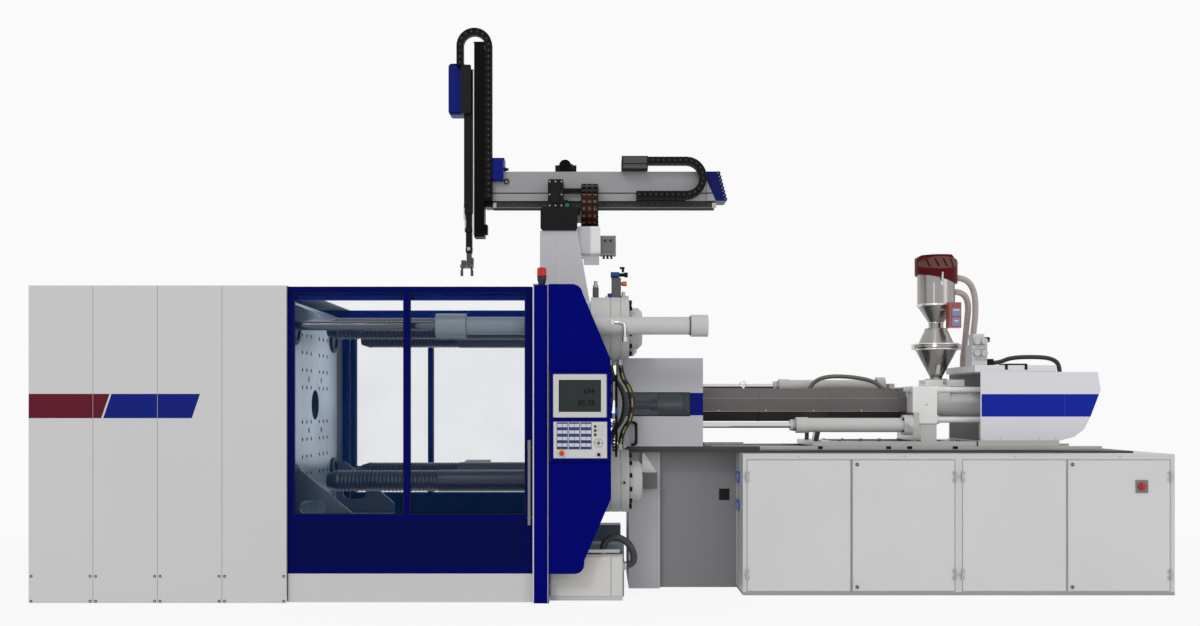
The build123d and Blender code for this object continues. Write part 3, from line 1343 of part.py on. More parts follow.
def feed_housing():
    """Block that carries the barrel, with the feed throat up to the slide gate."""
    body = block(BLOCK_X, span(0, 2 * BLOCK_Y), BLOCK_Z)
    body = chamfer(body.edges().filter_by(Axis.X), BLOCK_CORNER)
    tunnel = bar_x((BLOCK_X[1], HOUSING_END_X), 0, AXIS_Z, FEED_DIA / 2)
    neck = block((BLOCK_X[1], HOUSING_END_X), span(0, FEED_WIDTH), (AXIS_Z, FEED_TOP - GATE_SEAT))
    seat = block(GATE_SEAT_X, span(0, FEED_WIDTH), (FEED_TOP - GATE_SEAT, FEED_TOP))
    body = body + tunnel + neck + seat
    body -= bar_x((BLOCK_X[0] - 1, HOUSING_END_X + 1), 0, AXIS_Z, SCREW_BORE_DIA / 2)
    body -= bar_z(THROAT_X, 0, (AXIS_Z, FEED_TOP + 1), THROAT_DIA / 2)
    columns = []
    face = BLOCK_X[1]
    radius = COLUMN_BAR_DIA / 2
    for side in (-1, 1):
        for level in (-1, 1):
            y = side * COLUMN_BAR_Y
            z = AXIS_Z + level * COLUMN_BAR_DZ
            collar = bar_x((face, face + COLLAR), y, z, radius + COLLAR_WALL)
            collar -= bar_x((face - 1, face + COLLAR + 1), y, z, radius)
            columns += [bar_x((face, COLUMN_BAR_END), y, z, radius), collar]
    gate_y = GATE_WIDTH / 2
    guides = both_sides(block(
        GATE_SEAT_X, (gate_y + RUN, FEED_WIDTH / 2), (FEED_TOP, FEED_TOP + GATE_THICK)
    ))
    store("feed_housing", body, columns, guides)
    gate = block(GATE_X, (-gate_y, gate_y), (FEED_TOP, FEED_TOP + GATE_THICK - RUN))
    lip_z = (FEED_TOP + GATE_LIP_DROP, FEED_TOP + GATE_LIP_DROP + GATE_LIP)
    gate += block((GATE_X[1], GATE_X[1] + GATE_LIP), span(0, GATE_LIP_WIDTH), lip_z)
    store("slide_gate", gate)


def barrel():
    """Barrel with its head, nozzle and heater bands, the screw and the barrel's cover."""
    inner = SCREW_BORE_DIA / 2
    shell = [
        (NOZZLE_TIP_X, NOZZLE_BORE / 2),
        (NOZZLE_TIP_X, NOZZLE_TIP / 2),
        (NOZZLE_TIP_X + NOZZLE_CONE, NOZZLE_DIA / 2),
        (BARREL_HEAD_X - NOZZLE_HEX, NOZZLE_DIA / 2),
        (BARREL_HEAD_X - NOZZLE_HEX, NOZZLE_HEX_DIA / 2),
        (BARREL_HEAD_X, NOZZLE_HEX_DIA / 2),
        (BARREL_HEAD_X, HEAD_FLANGE_DIA / 2),
        (BARREL_LEFT, HEAD_FLANGE_DIA / 2),
        (BARREL_LEFT, BARREL_DIA / 2),
        (BLOCK_X[0], BARREL_DIA / 2),
        (BLOCK_X[0], inner),
        (BARREL_LEFT - HEAD_BORE_INSET, inner),
        (BARREL_HEAD_X, HEAD_BORE / 2),
        (NOZZLE_TIP_X + NOZZLE_BORE_INSET, NOZZLE_BORE / 2),
    ]
    store("barrel", turned_x(shell, 0, AXIS_Z))
    outer = COVER_ACROSS / 2
    turn = 180 / COVER_SIDES
    ring = RegularPolygon(outer, COVER_SIDES, major_radius=False, rotation=turn)
    hole = RegularPolygon(outer - COVER_SHEET, COVER_SIDES, major_radius=False, rotation=turn)
    shell_face = Plane.YZ * (ring - hole)
    cover = Pos(COVER_LEFT, 0, AXIS_Z) * extrude(shell_face, BLOCK_X[0] - COVER_LEFT)
    eye_z = AXIS_Z + outer
    stem = bar_z(EYE_X, 0, (eye_z, eye_z + EYE_WIRE), EYE_WIRE)
    loop = Pos(EYE_X, 0, eye_z + EYE_WIRE + EYE_DIA / 2) * Rot(90, 0, 0) * Torus(EYE_DIA / 2, EYE_WIRE / 2)
    store("barrel_cover", cover, stem + loop)
    tip = [
        (SCREW_TIP_X, 0),
        (SCREW_TIP_X, SCREW_POINT / 2),
        (SCREW_TIP_X + SCREW_CONE, SCREW_NECK_DIA / 2),
        (SCREW_TIP_X + SCREW_RING_X[0], SCREW_NECK_DIA / 2),
        (SCREW_TIP_X + SCREW_RING_X[0], inner - SCREW_GAP),
        (SCREW_TIP_X + SCREW_RING_X[1], inner - SCREW_GAP),
        (SCREW_TIP_X + SCREW_RING_X[1], SCREW_CORE_DIA / 2),
        (HOUSING_END_X - SCREW_SHANK, SCREW_CORE_DIA / 2 - SCREW_TAPER),
        (HOUSING_END_X - SCREW_SHANK, inner - SCREW_GAP),
        (DRIVE_PISTON_X, inner - SCREW_GAP),
        (DRIVE_PISTON_X, 0),
    ]
    store("screw", turned_x(tip, 0, AXIS_Z))


def drive():
    """Injection cylinder behind the feed housing, and its piston."""
    bore = DRIVE_BORE_DIA / 2
    profile = [
        (HOUSING_END_X, SCREW_BORE_DIA / 2),
        (HOUSING_END_X, DRIVE_DIA / 2),
        (DRIVE_RIGHT, DRIVE_DIA / 2),
        (DRIVE_RIGHT, 0),
        (DRIVE_RIGHT - DRIVE_WALL, 0),
        (DRIVE_RIGHT - DRIVE_WALL, bore),
        (HOUSING_END_X + DRIVE_WALL, bore),
        (HOUSING_END_X + DRIVE_WALL, SCREW_BORE_DIA / 2),
    ]
    store("injection_cylinder", turned_x(profile, 0, AXIS_Z))
    piston = bar_x((DRIVE_PISTON_X, DRIVE_PISTON_X + DRIVE_PISTON), 0, AXIS_Z, bore - RUN)
    store("injection_piston", piston)


def rear_cover_outline(grow):
    """Side outline of the rear cover, drawn in by a wall thickness."""
    top_x, top_z = REAR_NOSE[0]
    return [
        (REAR_LEFT, REAR_BOTTOM),
        (REAR_LEFT, REAR_TOP - grow),
        (top_x - grow, top_z - grow),
        *[(px - grow, pz) for px, pz in REAR_NOSE[1:]],
        (REAR_LIP[0] - grow, REAR_LIP[1] - grow / 2),
    ]


def rear_cover():
    """Cover over the drive, open towards the barrel, with a raised top."""
    full = [*rear_cover_outline(0), (REAR_TAIL_X, REAR_BOTTOM)]
    outer = side_plate(full, (-REAR_Y, REAR_Y))
    void = [
        (REAR_LEFT - REAR_OPEN, REAR_BOTTOM - REAR_OPEN),
        (REAR_LEFT - REAR_OPEN, REAR_TOP - REAR_SHEET),
        *rear_cover_outline(REAR_SHEET)[2:],
        (REAR_TAIL_X - REAR_TAIL_WALL, REAR_BOTTOM - REAR_OPEN),
    ]
    inner = side_plate(void, (-REAR_Y + REAR_SHEET, REAR_Y - REAR_SHEET))
    shell = outer - inner
    step_y = (-REAR_Y + REAR_STEP_INSET, REAR_Y - REAR_STEP_INSET)
    step = block(REAR_STEP_X, step_y, (REAR_TOP, REAR_STEP_TOP))
    valve = block(VALVE_X, VALVE_Y, (REAR_STEP_TOP, VALVE_SPLIT_Z))
    upper_y = (VALVE_Y[0] + VALVE_INSET, VALVE_Y[1] - VALVE_INSET)
    upper_right = VALVE_X[1] - VALVE_INSET
    upper = block((VALVE_X[0] + VALVE_INSET, upper_right), upper_y, (VALVE_SPLIT_Z, VALVE_Z[1]))
    plug_z = (VALVE_SPLIT_Z + VALVE_Z[1]) / 2
    plug = bar_x((upper_right, upper_right + PLUG_LENGTH), sum(VALVE_Y) / 2, plug_z, PLUG_DIA / 2)
    side_z = (REAR_STEP_TOP, REAR_STEP_TOP + PLUG_LENGTH)
    side = block((VALVE_X[1], VALVE_X[1] + PLUG_LENGTH), upper_y, side_z)
    store("rear_cover", shell, step, valve, upper, plug, side)


def hopper():
    """Double-cone hopper with a clamp ring on the slide gate, and a vacuum loader on top."""
    base = FEED_TOP + GATE_THICK
    low = HOPPER_LOW_DIA / 2
    rim = HOPPER_DIA / 2
    sheet = HOPPER_SHEET
    lower = [
        (low, base),
        (low + HOPPER_FOOT, base),
        (low + HOPPER_FOOT, base + HOPPER_FOOT_THICK),
        (low + sheet, base + HOPPER_FOOT_THICK),
        (low + sheet, HOPPER_LOW_Z),
        (rim, HOPPER_RIM_Z),
        (rim - sheet, HOPPER_RIM_Z),
        (low, HOPPER_LOW_Z),
    ]
    ring_top = HOPPER_RIM_Z + HOPPER_RING
    ring = [
        (rim - sheet - HOPPER_RING_LIP, HOPPER_RIM_Z),
        (HOPPER_RING_DIA / 2, HOPPER_RIM_Z),
        (HOPPER_RING_DIA / 2 + HOPPER_RING_LIP, HOPPER_RIM_Z + HOPPER_RING / 2),
        (HOPPER_RING_DIA / 2, ring_top),
        (HOPPER_UPPER_DIA / 2 - sheet, ring_top),
    ]
    neck = HOPPER_NECK_DIA / 2
    upper = [
        (HOPPER_UPPER_DIA / 2 - sheet, ring_top),
        (HOPPER_UPPER_DIA / 2, ring_top),
        (neck, HOPPER_NECK_Z),
        (neck - sheet, HOPPER_NECK_Z),
    ]
    store(
        "hopper",
        turned_z(lower, THROAT_X, 0), turned_z(ring, THROAT_X, 0), turned_z(upper, THROAT_X, 0),
    )
    half = CAP_WIDTH / 2
    cap_low = [(THROAT_X - half, CAP_FRONT_Z), (THROAT_X + half, LOADER_TOP_Z)]
    above = [(THROAT_X + half, CAP_TOP_Z + 1), (THROAT_X - half, CAP_TOP_Z + 1)]
    over = side_plate([*cap_low, *above], (-half, half))
    body = [
        (0, HOPPER_NECK_Z),
        (neck, HOPPER_NECK_Z),
        (neck, HOPPER_NECK_Z + NECK_RIM),
        (LOADER_NECK_DIA / 2, HOPPER_NECK_Z + NECK_RIM),
        (LOADER_NECK_DIA / 2, LOADER_CONE_Z),
        (LOADER_DIA / 2, LOADER_BODY_Z),
        (LOADER_DIA / 2, CAP_TOP_Z),
        (0, CAP_TOP_Z),
    ]
    loader = turned_z(body, THROAT_X, 0) - over
    control = block(CONTROL_X, CONTROL_Y, CONTROL_Z)
    arm_z = (CONTROL_Z[1] - CONTROL_ARM, CONTROL_Z[1])
    arm = block((THROAT_X, CONTROL_X[1]), (CONTROL_Y[1], CONTROL_Y[1] + CONTROL_ARM), arm_z)
    store("loader", loader, (control + arm) - loader)
    cap = side_plate(
        [
            *cap_low,
            (THROAT_X + half, CAP_TOP_Z - CAP_SLOPE),
            (THROAT_X + half - CAP_SLOPE, CAP_TOP_Z),
            (THROAT_X - half + CAP_ROUND, CAP_TOP_Z),
            (THROAT_X - half, CAP_TOP_Z - CAP_ROUND),
        ],
        (-half, half),
    )
    cap &= bar_z(THROAT_X, 0, (LOADER_TOP_Z, CAP_TOP_Z), half)
    store("loader_cap", cap)


# Robot on the fixed platen

PED_LEFT = -472.0
PED_TOP_RIGHT = -178.0
PED_LOW_RIGHT = -80.0
PED_TOP = 2838.0
PED_Y = (-600.0, -160.0)
PED_WALL = 10.0
PED_FLANGE = 24.0
WHITE_BOX_X = 3.0
WHITE_BOX_Z = (2665.0, 2878.0)
WHITE_BOX_Y = (-560.0, -380.0)
GREY_BOX_X = 126.0
GREY_BOX_Z = (2657.0, 2811.0)
GREY_BOX_Y = (-520.0, -420.0)

TRAVERSE_X = (-450.0, -196.0)
TRAVERSE_Y = (-590.0, 1850.0)
TRAVERSE_HEIGHT = 175.0
TRAVERSE_WALL = 12.0
TRAVERSE_RAIL = 12.0
TRAVERSE_RAIL_WIDTH = 30.0
END_CAP_X = (-468.0, -178.0)
END_CAP = 22.0
END_CAP_R = 26.0
TRAY_X = (-160.0, -8.0)
TRAY_Y = (-360.0, 1850.0)
TRAY = 6.0
TRAY_Z = 2868.0
TRAY_LIP = 50.0
TRAY_ARM = 60.0
TRAY_ARM_Y = (-300.0, 500.0, 1300.0)

CAR_X = (-427.0, -159.0)
CAR_Y = (-200.0, 200.0)
CAR_PLATE = 50.0
KICK_Y = (-90.0, 110.0)
KICK_X = (-897.0, 960.0)
KICK_Z = (3162.0, 3406.0)
KICK_TAPER = 63.0
KICK_WALL = 10.0
KICK_RAIL = 50.0
KICK_RAIL_WIDTH = 40.0
KICK_RAIL_INSET = 20.0
BLOCK_LENGTH = 90.0
GEAR_X = (-427.0, -300.0)
GEAR_Y = (-230.0, -100.0)
GEAR_TOP = 3316.0
GEAR_R = 14.0
BACK_X = (-380.0, -200.0)
BACK_GAP = 5.0
BACK_PLATE = 20.0
MOTOR_X = -290.0
MOTOR_BOX_X = -228.0
MOTOR_BOX = 64.0
MOTOR_Z = 3456.0
MOTOR_DIA = 92.0
BEAM_CAP_LEFT = 884.0
BEAM_CAP_RIGHT = 1044.0
BEAM_CAP = 8.0

CHAIN_GAP_Y = 12.0
CHAIN_WIDTH = 90.0
CHAIN_HEIGHT = 58.0
LINK_PITCH = 46.0
LINK_GAP = 4.0
KICK_CHAIN_TOP = 3509.0
KICK_CHAIN_LOW = 3170.0
KICK_CHAIN_RIGHT = 878.0
KICK_CHAIN_START = 300.0
KICK_CHAIN_END = 394.0
ANCHOR_X = (179.0, 394.0)
ANCHOR_Z = (3406.0, 3515.0)

CROSS_CHAIN_X = (-150.0, -18.0)
CROSS_CHAIN_LOW = 2884.0
CROSS_CHAIN_TOP = 3290.0
CROSS_CHAIN_FRONT = -356.0
CROSS_CHAIN_REAR = 300.0
CROSS_CHAIN_END = -102.0
CROSS_PITCH = 60.0
CROSS_SLOT = 33.0
CHAIN_CELLS = 3
CELL_WEB = 14.0

MAST_X = (-1039.0, -955.0)
MAST_Y = (-150.0, -20.0)
MAST_Z = (2855.0, 4466.0)
MAST_WALL = 8.0
GUIDE_BLOCK_Y = (-88.0, 60.0)
GUIDE_BLOCK_Z = (3112.0, 3521.0)
BLUE_MOTOR_X = (-894.0, -796.0)
BLUE_MOTOR_Z = (3406.0, 3521.0)
TROUGH_X = (-955.0, -891.0)
TROUGH_Y = (-150.0, -95.0)
TROUGH_Z = (3150.0, 4400.0)
HOOP_TOP = 4582.0
HOOP_LEFT = -1185.0
HOOP_LEG = 160.0

ARM_X = (-1126.0, -1048.0)
ARM_Y = (-120.0, -40.0)
ARM_Z = (3104.0, 4247.0)
ARM_THIN_X = (-1112.0, -1062.0)
ARM_THIN_Z = 2789.0
ARM_GUIDE_Z = (3180.0, 3550.0)
ARM_GUIDE = 60.0
ARM_COVER_X = (-1259.0, -1126.0)
ARM_COVER_Y = (-84.0, 40.0)
ARM_COVER_Z = (3879.0, 4305.0)

WRIST_X = -1087.0
WRIST_Y = -80.0
WRIST_Z = 2760.0
WRIST_PIN_DIA = 24.0
WRIST_LOW = 2541.0
FORK_WIDTH = 56.0
FORK_DEPTH = 70.0
HUB_DIA = 60.0
HUB_WIDTH = 30.0
WRIST_PLATE = 24.0
WRIST_PLATE_X = (-1157.0, -1053.0)
WRIST_PLATE_WIDTH = 90.0
FINGER_LENGTH = 66.0
FINGER_WIDTH = 24.0
FINGER_X = ((-1153.0, -1137.0), (-1075.0, -1059.0))
ARM_COVER_R = 30.0


def u_band(x_end_top, x_end_low, centre_x, low, top, y):
    """Energy chain in the XZ plane, bent round on its right, with notches between links."""
    outer = (top - low) / 2
    inner = outer - CHAIN_HEIGHT
    mid = (top + low) / 2
    band = block((x_end_top, centre_x), y, (top - CHAIN_HEIGHT, top))
    band += block((x_end_low, centre_x), y, (low, low + CHAIN_HEIGHT))
    half = bar_y(centre_x, y, mid, outer) - bar_y(centre_x, (y[0] - 1, y[1] + 1), mid, inner)
    band += half & block((centre_x, centre_x + outer + 1), (y[0] - 1, y[1] + 1), (low - 1, top + 1))
    cut_y = (y[0] - 1, y[0] + CHAIN_WIDTH / 4)
    for start, level in ((x_end_top, top), (x_end_low, low + CHAIN_HEIGHT)):
        count = int((centre_x - start) / LINK_PITCH)
        for number in range(1, count + 1):
            px = start + number * LINK_PITCH
            band -= block(span(px, LINK_GAP), cut_y, (level - CHAIN_HEIGHT - 1, level + 1))
    turns = int(pi * outer / LINK_PITCH)
    for number in range(turns):
        angle = -90 + 180 * (number + 0.5) / turns
        slot = Rot(0, -angle, 0) * block((inner - 1, outer + 1), cut_y, span(0, LINK_GAP))
        band -= Pos(centre_x, 0, mid) * slot
    return band


def robot_pedestal():
    """Tapered hollow pedestal with a flange, and two boxes on its right side."""
    outline = [
        (PED_LEFT, PLATEN_TOP),
        (PED_LEFT, PED_TOP),
        (PED_TOP_RIGHT, PED_TOP),
        (PED_LOW_RIGHT, PLATEN_TOP),
    ]
    body = side_plate(outline, PED_Y)
    void = [
        (PED_LEFT + PED_WALL, PLATEN_TOP - 1),
        (PED_LEFT + PED_WALL, PED_TOP - PED_FLANGE),
        (PED_TOP_RIGHT - PED_WALL, PED_TOP - PED_FLANGE),
        (PED_LOW_RIGHT - PED_WALL, PLATEN_TOP - 1),
    ]
    hollow = body - side_plate(void, (PED_Y[0] + PED_WALL, PED_Y[1] - PED_WALL))
    white = block((PED_TOP_RIGHT, WHITE_BOX_X), WHITE_BOX_Y, WHITE_BOX_Z) - body
    grey = block((WHITE_BOX_X, GREY_BOX_X), GREY_BOX_Y, GREY_BOX_Z)
    store("robot_pedestal", hollow, white, grey)


def traverse_beam():
    """Hollow beam across the machine with two rails, an end cap and a chain tray."""
    z = (PED_TOP, PED_TOP + TRAVERSE_HEIGHT)
    body = box_tube_y(TRAVERSE_X, TRAVERSE_Y, z, TRAVERSE_WALL)
    cap_z = (PED_TOP, PED_TOP + TRAVERSE_HEIGHT + TRAVERSE_RAIL)
    cap = block(END_CAP_X, (TRAVERSE_Y[0] - END_CAP, TRAVERSE_Y[0]), cap_z)
    cap = fillet(cap.edges().filter_by(Axis.Y), END_CAP_R)
    rails = [
        block(span(px, TRAVERSE_RAIL_WIDTH), TRAVERSE_Y, (z[1], z[1] + TRAVERSE_RAIL))
        for px in (TRAVERSE_X[0] + TRAVERSE_RAIL_WIDTH, TRAVERSE_X[1] - TRAVERSE_RAIL_WIDTH)
    ]
    tray = block(TRAY_X, TRAY_Y, (TRAY_Z, TRAY_Z + TRAY))
    lips = [
        block((TRAY_X[0], TRAY_X[0] + TRAY), TRAY_Y, (TRAY_Z + TRAY, TRAY_Z + TRAY_LIP)),
        block((TRAY_X[1] - TRAY, TRAY_X[1]), TRAY_Y, (TRAY_Z + TRAY, TRAY_Z + TRAY_LIP)),
    ]
    arms = [
        block((TRAVERSE_X[1], TRAY_X[0]), (py, py + TRAY_ARM), (TRAY_Z, TRAY_Z + TRAY * 2))
        for py in TRAY_ARM_Y
    ]
    store("traverse_beam", body, cap, rails, tray, lips, arms)


def cross_chain():
    """Energy chain of the traverse, bent round towards the operator, with open links."""
    x = CROSS_CHAIN_X
    wide_x = (x[0] - 1, x[1] + 1)
    mid_z = (CROSS_CHAIN_TOP + CROSS_CHAIN_LOW) / 2
    outer = (CROSS_CHAIN_TOP - CROSS_CHAIN_LOW) / 2
    inner = outer - CHAIN_HEIGHT
    front = CROSS_CHAIN_FRONT + outer
    upper_z = (CROSS_CHAIN_TOP - CHAIN_HEIGHT, CROSS_CHAIN_TOP)
    chain = block(x, (front, CROSS_CHAIN_END), upper_z)
    chain += block(x, (front, CROSS_CHAIN_REAR), (CROSS_CHAIN_LOW, CROSS_CHAIN_LOW + CHAIN_HEIGHT))
    bend = bar_x(x, front, mid_z, outer) - bar_x(wide_x, front, mid_z, inner)
    ahead = (CROSS_CHAIN_FRONT - 1, front)
    chain += bend & block(wide_x, ahead, (CROSS_CHAIN_LOW - 1, CROSS_CHAIN_TOP + 1))
    cell = (x[1] - x[0]) / CHAIN_CELLS
    turns = int(pi * outer / CROSS_PITCH)
    for number in range(turns):
        angle = 90 + 180 * (number + 0.5) / turns
        for column in range(CHAIN_CELLS):
            cell_x = span(x[0] + cell * (column + 0.5), cell - CELL_WEB)
            slot = block(cell_x, (inner - 1, outer + 1), span(0, CROSS_SLOT))
            chain -= Pos(0, front, mid_z) * Rot(angle, 0, 0) * slot
    return chain


def robot_carriage():
    """Carriage on the traverse rails, with guide blocks, gear unit, motor and chain."""
    base = PED_TOP + TRAVERSE_HEIGHT + TRAVERSE_RAIL
    plate_top = base + CAR_PLATE
    plate = block(CAR_X, CAR_Y, (base, plate_top))
    rail_low = KICK_Z[0] - KICK_RAIL
    blocks = [
        block((px, px + BLOCK_LENGTH), (py, py + KICK_RAIL_WIDTH), (plate_top, rail_low))
        for px in (CAR_X[0], CAR_X[1] - BLOCK_LENGTH)
        for py in (KICK_Y[0] + KICK_RAIL_INSET, KICK_Y[1] - KICK_RAIL_INSET - KICK_RAIL_WIDTH)
    ]
    gear = block(GEAR_X, GEAR_Y, (plate_top, GEAR_TOP))
    gear = fillet(gear.edges().filter_by(Axis.Y), GEAR_R)
    back_y = KICK_Y[1] + BACK_GAP
    back = block(BACK_X, (back_y, back_y + BACK_PLATE), (plate_top, MOTOR_Z + MOTOR_DIA / 2))
    motor = bar_y(MOTOR_X, (KICK_Y[0], back_y), MOTOR_Z, MOTOR_DIA / 2)
    motor += block((MOTOR_X, MOTOR_BOX_X), (0, back_y), span(MOTOR_Z, MOTOR_BOX))
    chain = cross_chain()
    clamp_z = (CROSS_CHAIN_TOP - CHAIN_HEIGHT, GEAR_TOP - CHAIN_HEIGHT)
    bracket = block((GEAR_X[1], CROSS_CHAIN_X[0]), (GEAR_Y[0] + CHAIN_WIDTH, CROSS_CHAIN_END), clamp_z)
    store("robot_carriage", plate, blocks, gear, back, motor, chain, bracket)


def robot_beam():
    """Kick beam with rails, blue end cap, mast guide block and energy chain."""
    body = side_plate(
        [
            (KICK_X[0], KICK_Z[0]),
            (KICK_X[0], KICK_Z[1]),
            (KICK_X[1] - KICK_TAPER, KICK_Z[1]),
            (KICK_X[1], KICK_Z[0]),
        ],
        KICK_Y,
    )
    hollow = block(
        (KICK_X[0] - 1, KICK_X[1] - KICK_TAPER - KICK_WALL),
        (KICK_Y[0] + KICK_WALL, KICK_Y[1] - KICK_WALL),
        (KICK_Z[0] + KICK_WALL, KICK_Z[1] - KICK_WALL),
    )
    rail_z = (KICK_Z[0] - KICK_RAIL, KICK_Z[0])
    rails = [
        block(KICK_X, (py, py + KICK_RAIL_WIDTH), rail_z)
        for py in (KICK_Y[0] + KICK_RAIL_INSET, KICK_Y[1] - KICK_RAIL_INSET - KICK_RAIL_WIDTH)
    ]
    top_x = BEAM_CAP_RIGHT - KICK_TAPER
    cap = side_plate(
        [
            (KICK_X[1], KICK_Z[0]),
            (KICK_X[1] - KICK_TAPER, KICK_Z[1]),
            (top_x, KICK_Z[1]),
            (BEAM_CAP_RIGHT, KICK_Z[0]),
        ],
        KICK_Y,
    )
    cheek = side_plate(
        [
            (BEAM_CAP_LEFT, KICK_Z[0]),
            (BEAM_CAP_LEFT, KICK_Z[1]),
            (top_x, KICK_Z[1]),
            (BEAM_CAP_RIGHT, KICK_Z[0]),
        ],
        (KICK_Y[0] - BEAM_CAP, KICK_Y[0]),
    )
    guide = block((TROUGH_X[0], KICK_X[0]), GUIDE_BLOCK_Y, GUIDE_BLOCK_Z)
    motor = block(BLUE_MOTOR_X, (KICK_Y[0], GUIDE_BLOCK_Y[1]), BLUE_MOTOR_Z)
    chain_y = (KICK_Y[0] - CHAIN_GAP_Y - CHAIN_WIDTH, KICK_Y[0] - CHAIN_GAP_Y)
    centre_x = KICK_CHAIN_RIGHT - (KICK_CHAIN_TOP - KICK_CHAIN_LOW) / 2
    chain = u_band(
        KICK_CHAIN_END, KICK_CHAIN_START, centre_x, KICK_CHAIN_LOW, KICK_CHAIN_TOP, chain_y
    )
    anchor = block(ANCHOR_X, (chain_y[0], KICK_Y[1]), ANCHOR_Z)
    shelf_z = (KICK_Z[0], KICK_CHAIN_LOW)
    shelf = block((KICK_CHAIN_START, centre_x), (chain_y[0], KICK_Y[0]), shelf_z)
    store("robot_beam", body - hollow, rails, cap, cheek, guide, motor, chain, anchor, shelf)


def robot_mast():
    """Upright mast with arm guides, a chain trough and the chain's hoop over its top."""
    body = block(MAST_X, MAST_Y, MAST_Z)
    body -= block(
        (MAST_X[0] + MAST_WALL, MAST_X[1] - MAST_WALL),
        (MAST_Y[0] + MAST_WALL, MAST_Y[1] - MAST_WALL),
        (MAST_Z[0] - 1, MAST_Z[1] + 1),
    )
    guides = [
        block((ARM_X[1], MAST_X[0]), ARM_Y, (level, level + ARM_GUIDE)) for level in ARM_GUIDE_Z
    ]
    trough = block(TROUGH_X, TROUGH_Y, TROUGH_Z)
    outer = (TROUGH_X[1] - HOOP_LEFT) / 2
    centre_x = (TROUGH_X[1] + HOOP_LEFT) / 2
    centre_z = HOOP_TOP - outer
    inner = outer - CHAIN_HEIGHT
    y = TROUGH_Y
    wide_y = (y[0] - 1, y[1] + 1)
    hoop = bar_y(centre_x, y, centre_z, outer) - bar_y(centre_x, wide_y, centre_z, inner)
    hoop &= block((HOOP_LEFT - 1, TROUGH_X[1] + 1), wide_y, (centre_z, HOOP_TOP + 1))
    hoop += block((TROUGH_X[1] - CHAIN_HEIGHT, TROUGH_X[1]), y, (TROUGH_Z[1], centre_z))
    hoop += block((HOOP_LEFT, HOOP_LEFT + CHAIN_HEIGHT), y, (centre_z - HOOP_LEG, centre_z))
    store("robot_mast", body, guides, trough, hoop)


def robot_arm():
    """Telescopic arm on the mast's guides, with its chain box and fork."""
    body = block(ARM_X, ARM_Y, ARM_Z)
    thin_y = span(WRIST_Y, FORK_WIDTH)
    fork_top = ARM_THIN_Z + FORK_DEPTH
    lower = block(ARM_THIN_X, thin_y, (fork_top, ARM_Z[0]))
    cheek_z = (WRIST_Z - HUB_DIA / 2, fork_top)
    lower += block(ARM_THIN_X, (thin_y[0], WRIST_Y - HUB_WIDTH / 2 - 1), cheek_z)
    lower += block(ARM_THIN_X, (WRIST_Y + HUB_WIDTH / 2 + 1, thin_y[1]), cheek_z)
    lower += bar_y(WRIST_X, thin_y, WRIST_Z, WRIST_PIN_DIA / 2)
    cover = block(ARM_COVER_X, ARM_COVER_Y, ARM_COVER_Z)
    cover = fillet(cover.edges().filter_by(Axis.Y).sort_by(Axis.X)[:2], ARM_COVER_R)
    store("robot_arm", body, lower, cover)


def robot_wrist():
    """Wrist block on the arm's pin, with a bracket plate and two gripper fingers."""
    hub_y = span(WRIST_Y, HUB_WIDTH)
    plate_z = (WRIST_LOW + FINGER_LENGTH, WRIST_LOW + FINGER_LENGTH + WRIST_PLATE)
    hub = bar_y(WRIST_X, hub_y, WRIST_Z, HUB_DIA / 2)
    hub += block(span(WRIST_X, HUB_DIA * SHOULDER_SHARE), hub_y, (plate_z[1], WRIST_Z))
    bore_y = span(WRIST_Y, HUB_WIDTH + 2)
    hub -= bar_y(WRIST_X, bore_y, WRIST_Z, WRIST_PIN_DIA / 2 + PIN_FIT)
    plate = block(WRIST_PLATE_X, span(WRIST_Y, WRIST_PLATE_WIDTH), plate_z)
    fingers = [
        block(finger_x, span(WRIST_Y, FINGER_WIDTH), (WRIST_LOW, plate_z[0]))
        for finger_x in FINGER_X
    ]
    store("robot_wrist", hub, plate, fingers)


# Hydraulics and hoses

STAND_X = (-376.0, 171.0)
STAND_DEPTH = 188.0
STAND_BACK = -BEAM_Y - BEAM_WIDTH / 2
STAND_Y = (STAND_BACK - STAND_DEPTH, STAND_BACK)
STAND_TOP = 341.0
MANIFOLD_X = (-70.0, 130.0)
MANIFOLD_Y = (-420.0, -180.0)
MANIFOLD_Z = (2180.0, 2300.0)
COIL_DIA = 46.0
COIL_HEIGHT = 72.0
COIL_X = 84.0
PORT_X = -30.0
KNOB_HEAD_DIA = 34.0
KNOB_LENGTH = 26.0
TRAY_BOX_X = (334.0, 453.0)
TRAY_BOX_Y = (-545.0, -440.0)
TRAY_BOX_Z = (804.0, 930.0)
HOSE_DIA = 40.0
DRAIN_DIA = 52.0
MATERIAL_DIA = 50.0
CABLE_DIA = 36.0
BOW_RUN = 125.0
TURN_SHARE = 0.45


def hose(points, diameter, name):
    """Tube of straight runs joined by tangent arcs; it prints the radii of its bends."""
    route = [Vector(*point) for point in points]
    radii = []
    for before, here, after in zip(route, route[1:], route[2:]):
        turn = (here - before).get_angle(after - here)
        shorter = min((here - before).length, (after - here).length)
        radii.append(TURN_SHARE * shorter / tan(radians(turn / 2)))
    path = FilletPolyline(*route, radius=radii)
    start = Plane(origin=route[0], z_dir=route[1] - route[0])
    tube = sweep(start * Circle(diameter / 2), path=path)
    share = tube.volume / (pi * diameter ** 2 / 4 * path.length)
    print(name, "radii", [round(radius) for radius in radii], "volume share", round(share, 4))
    return tube


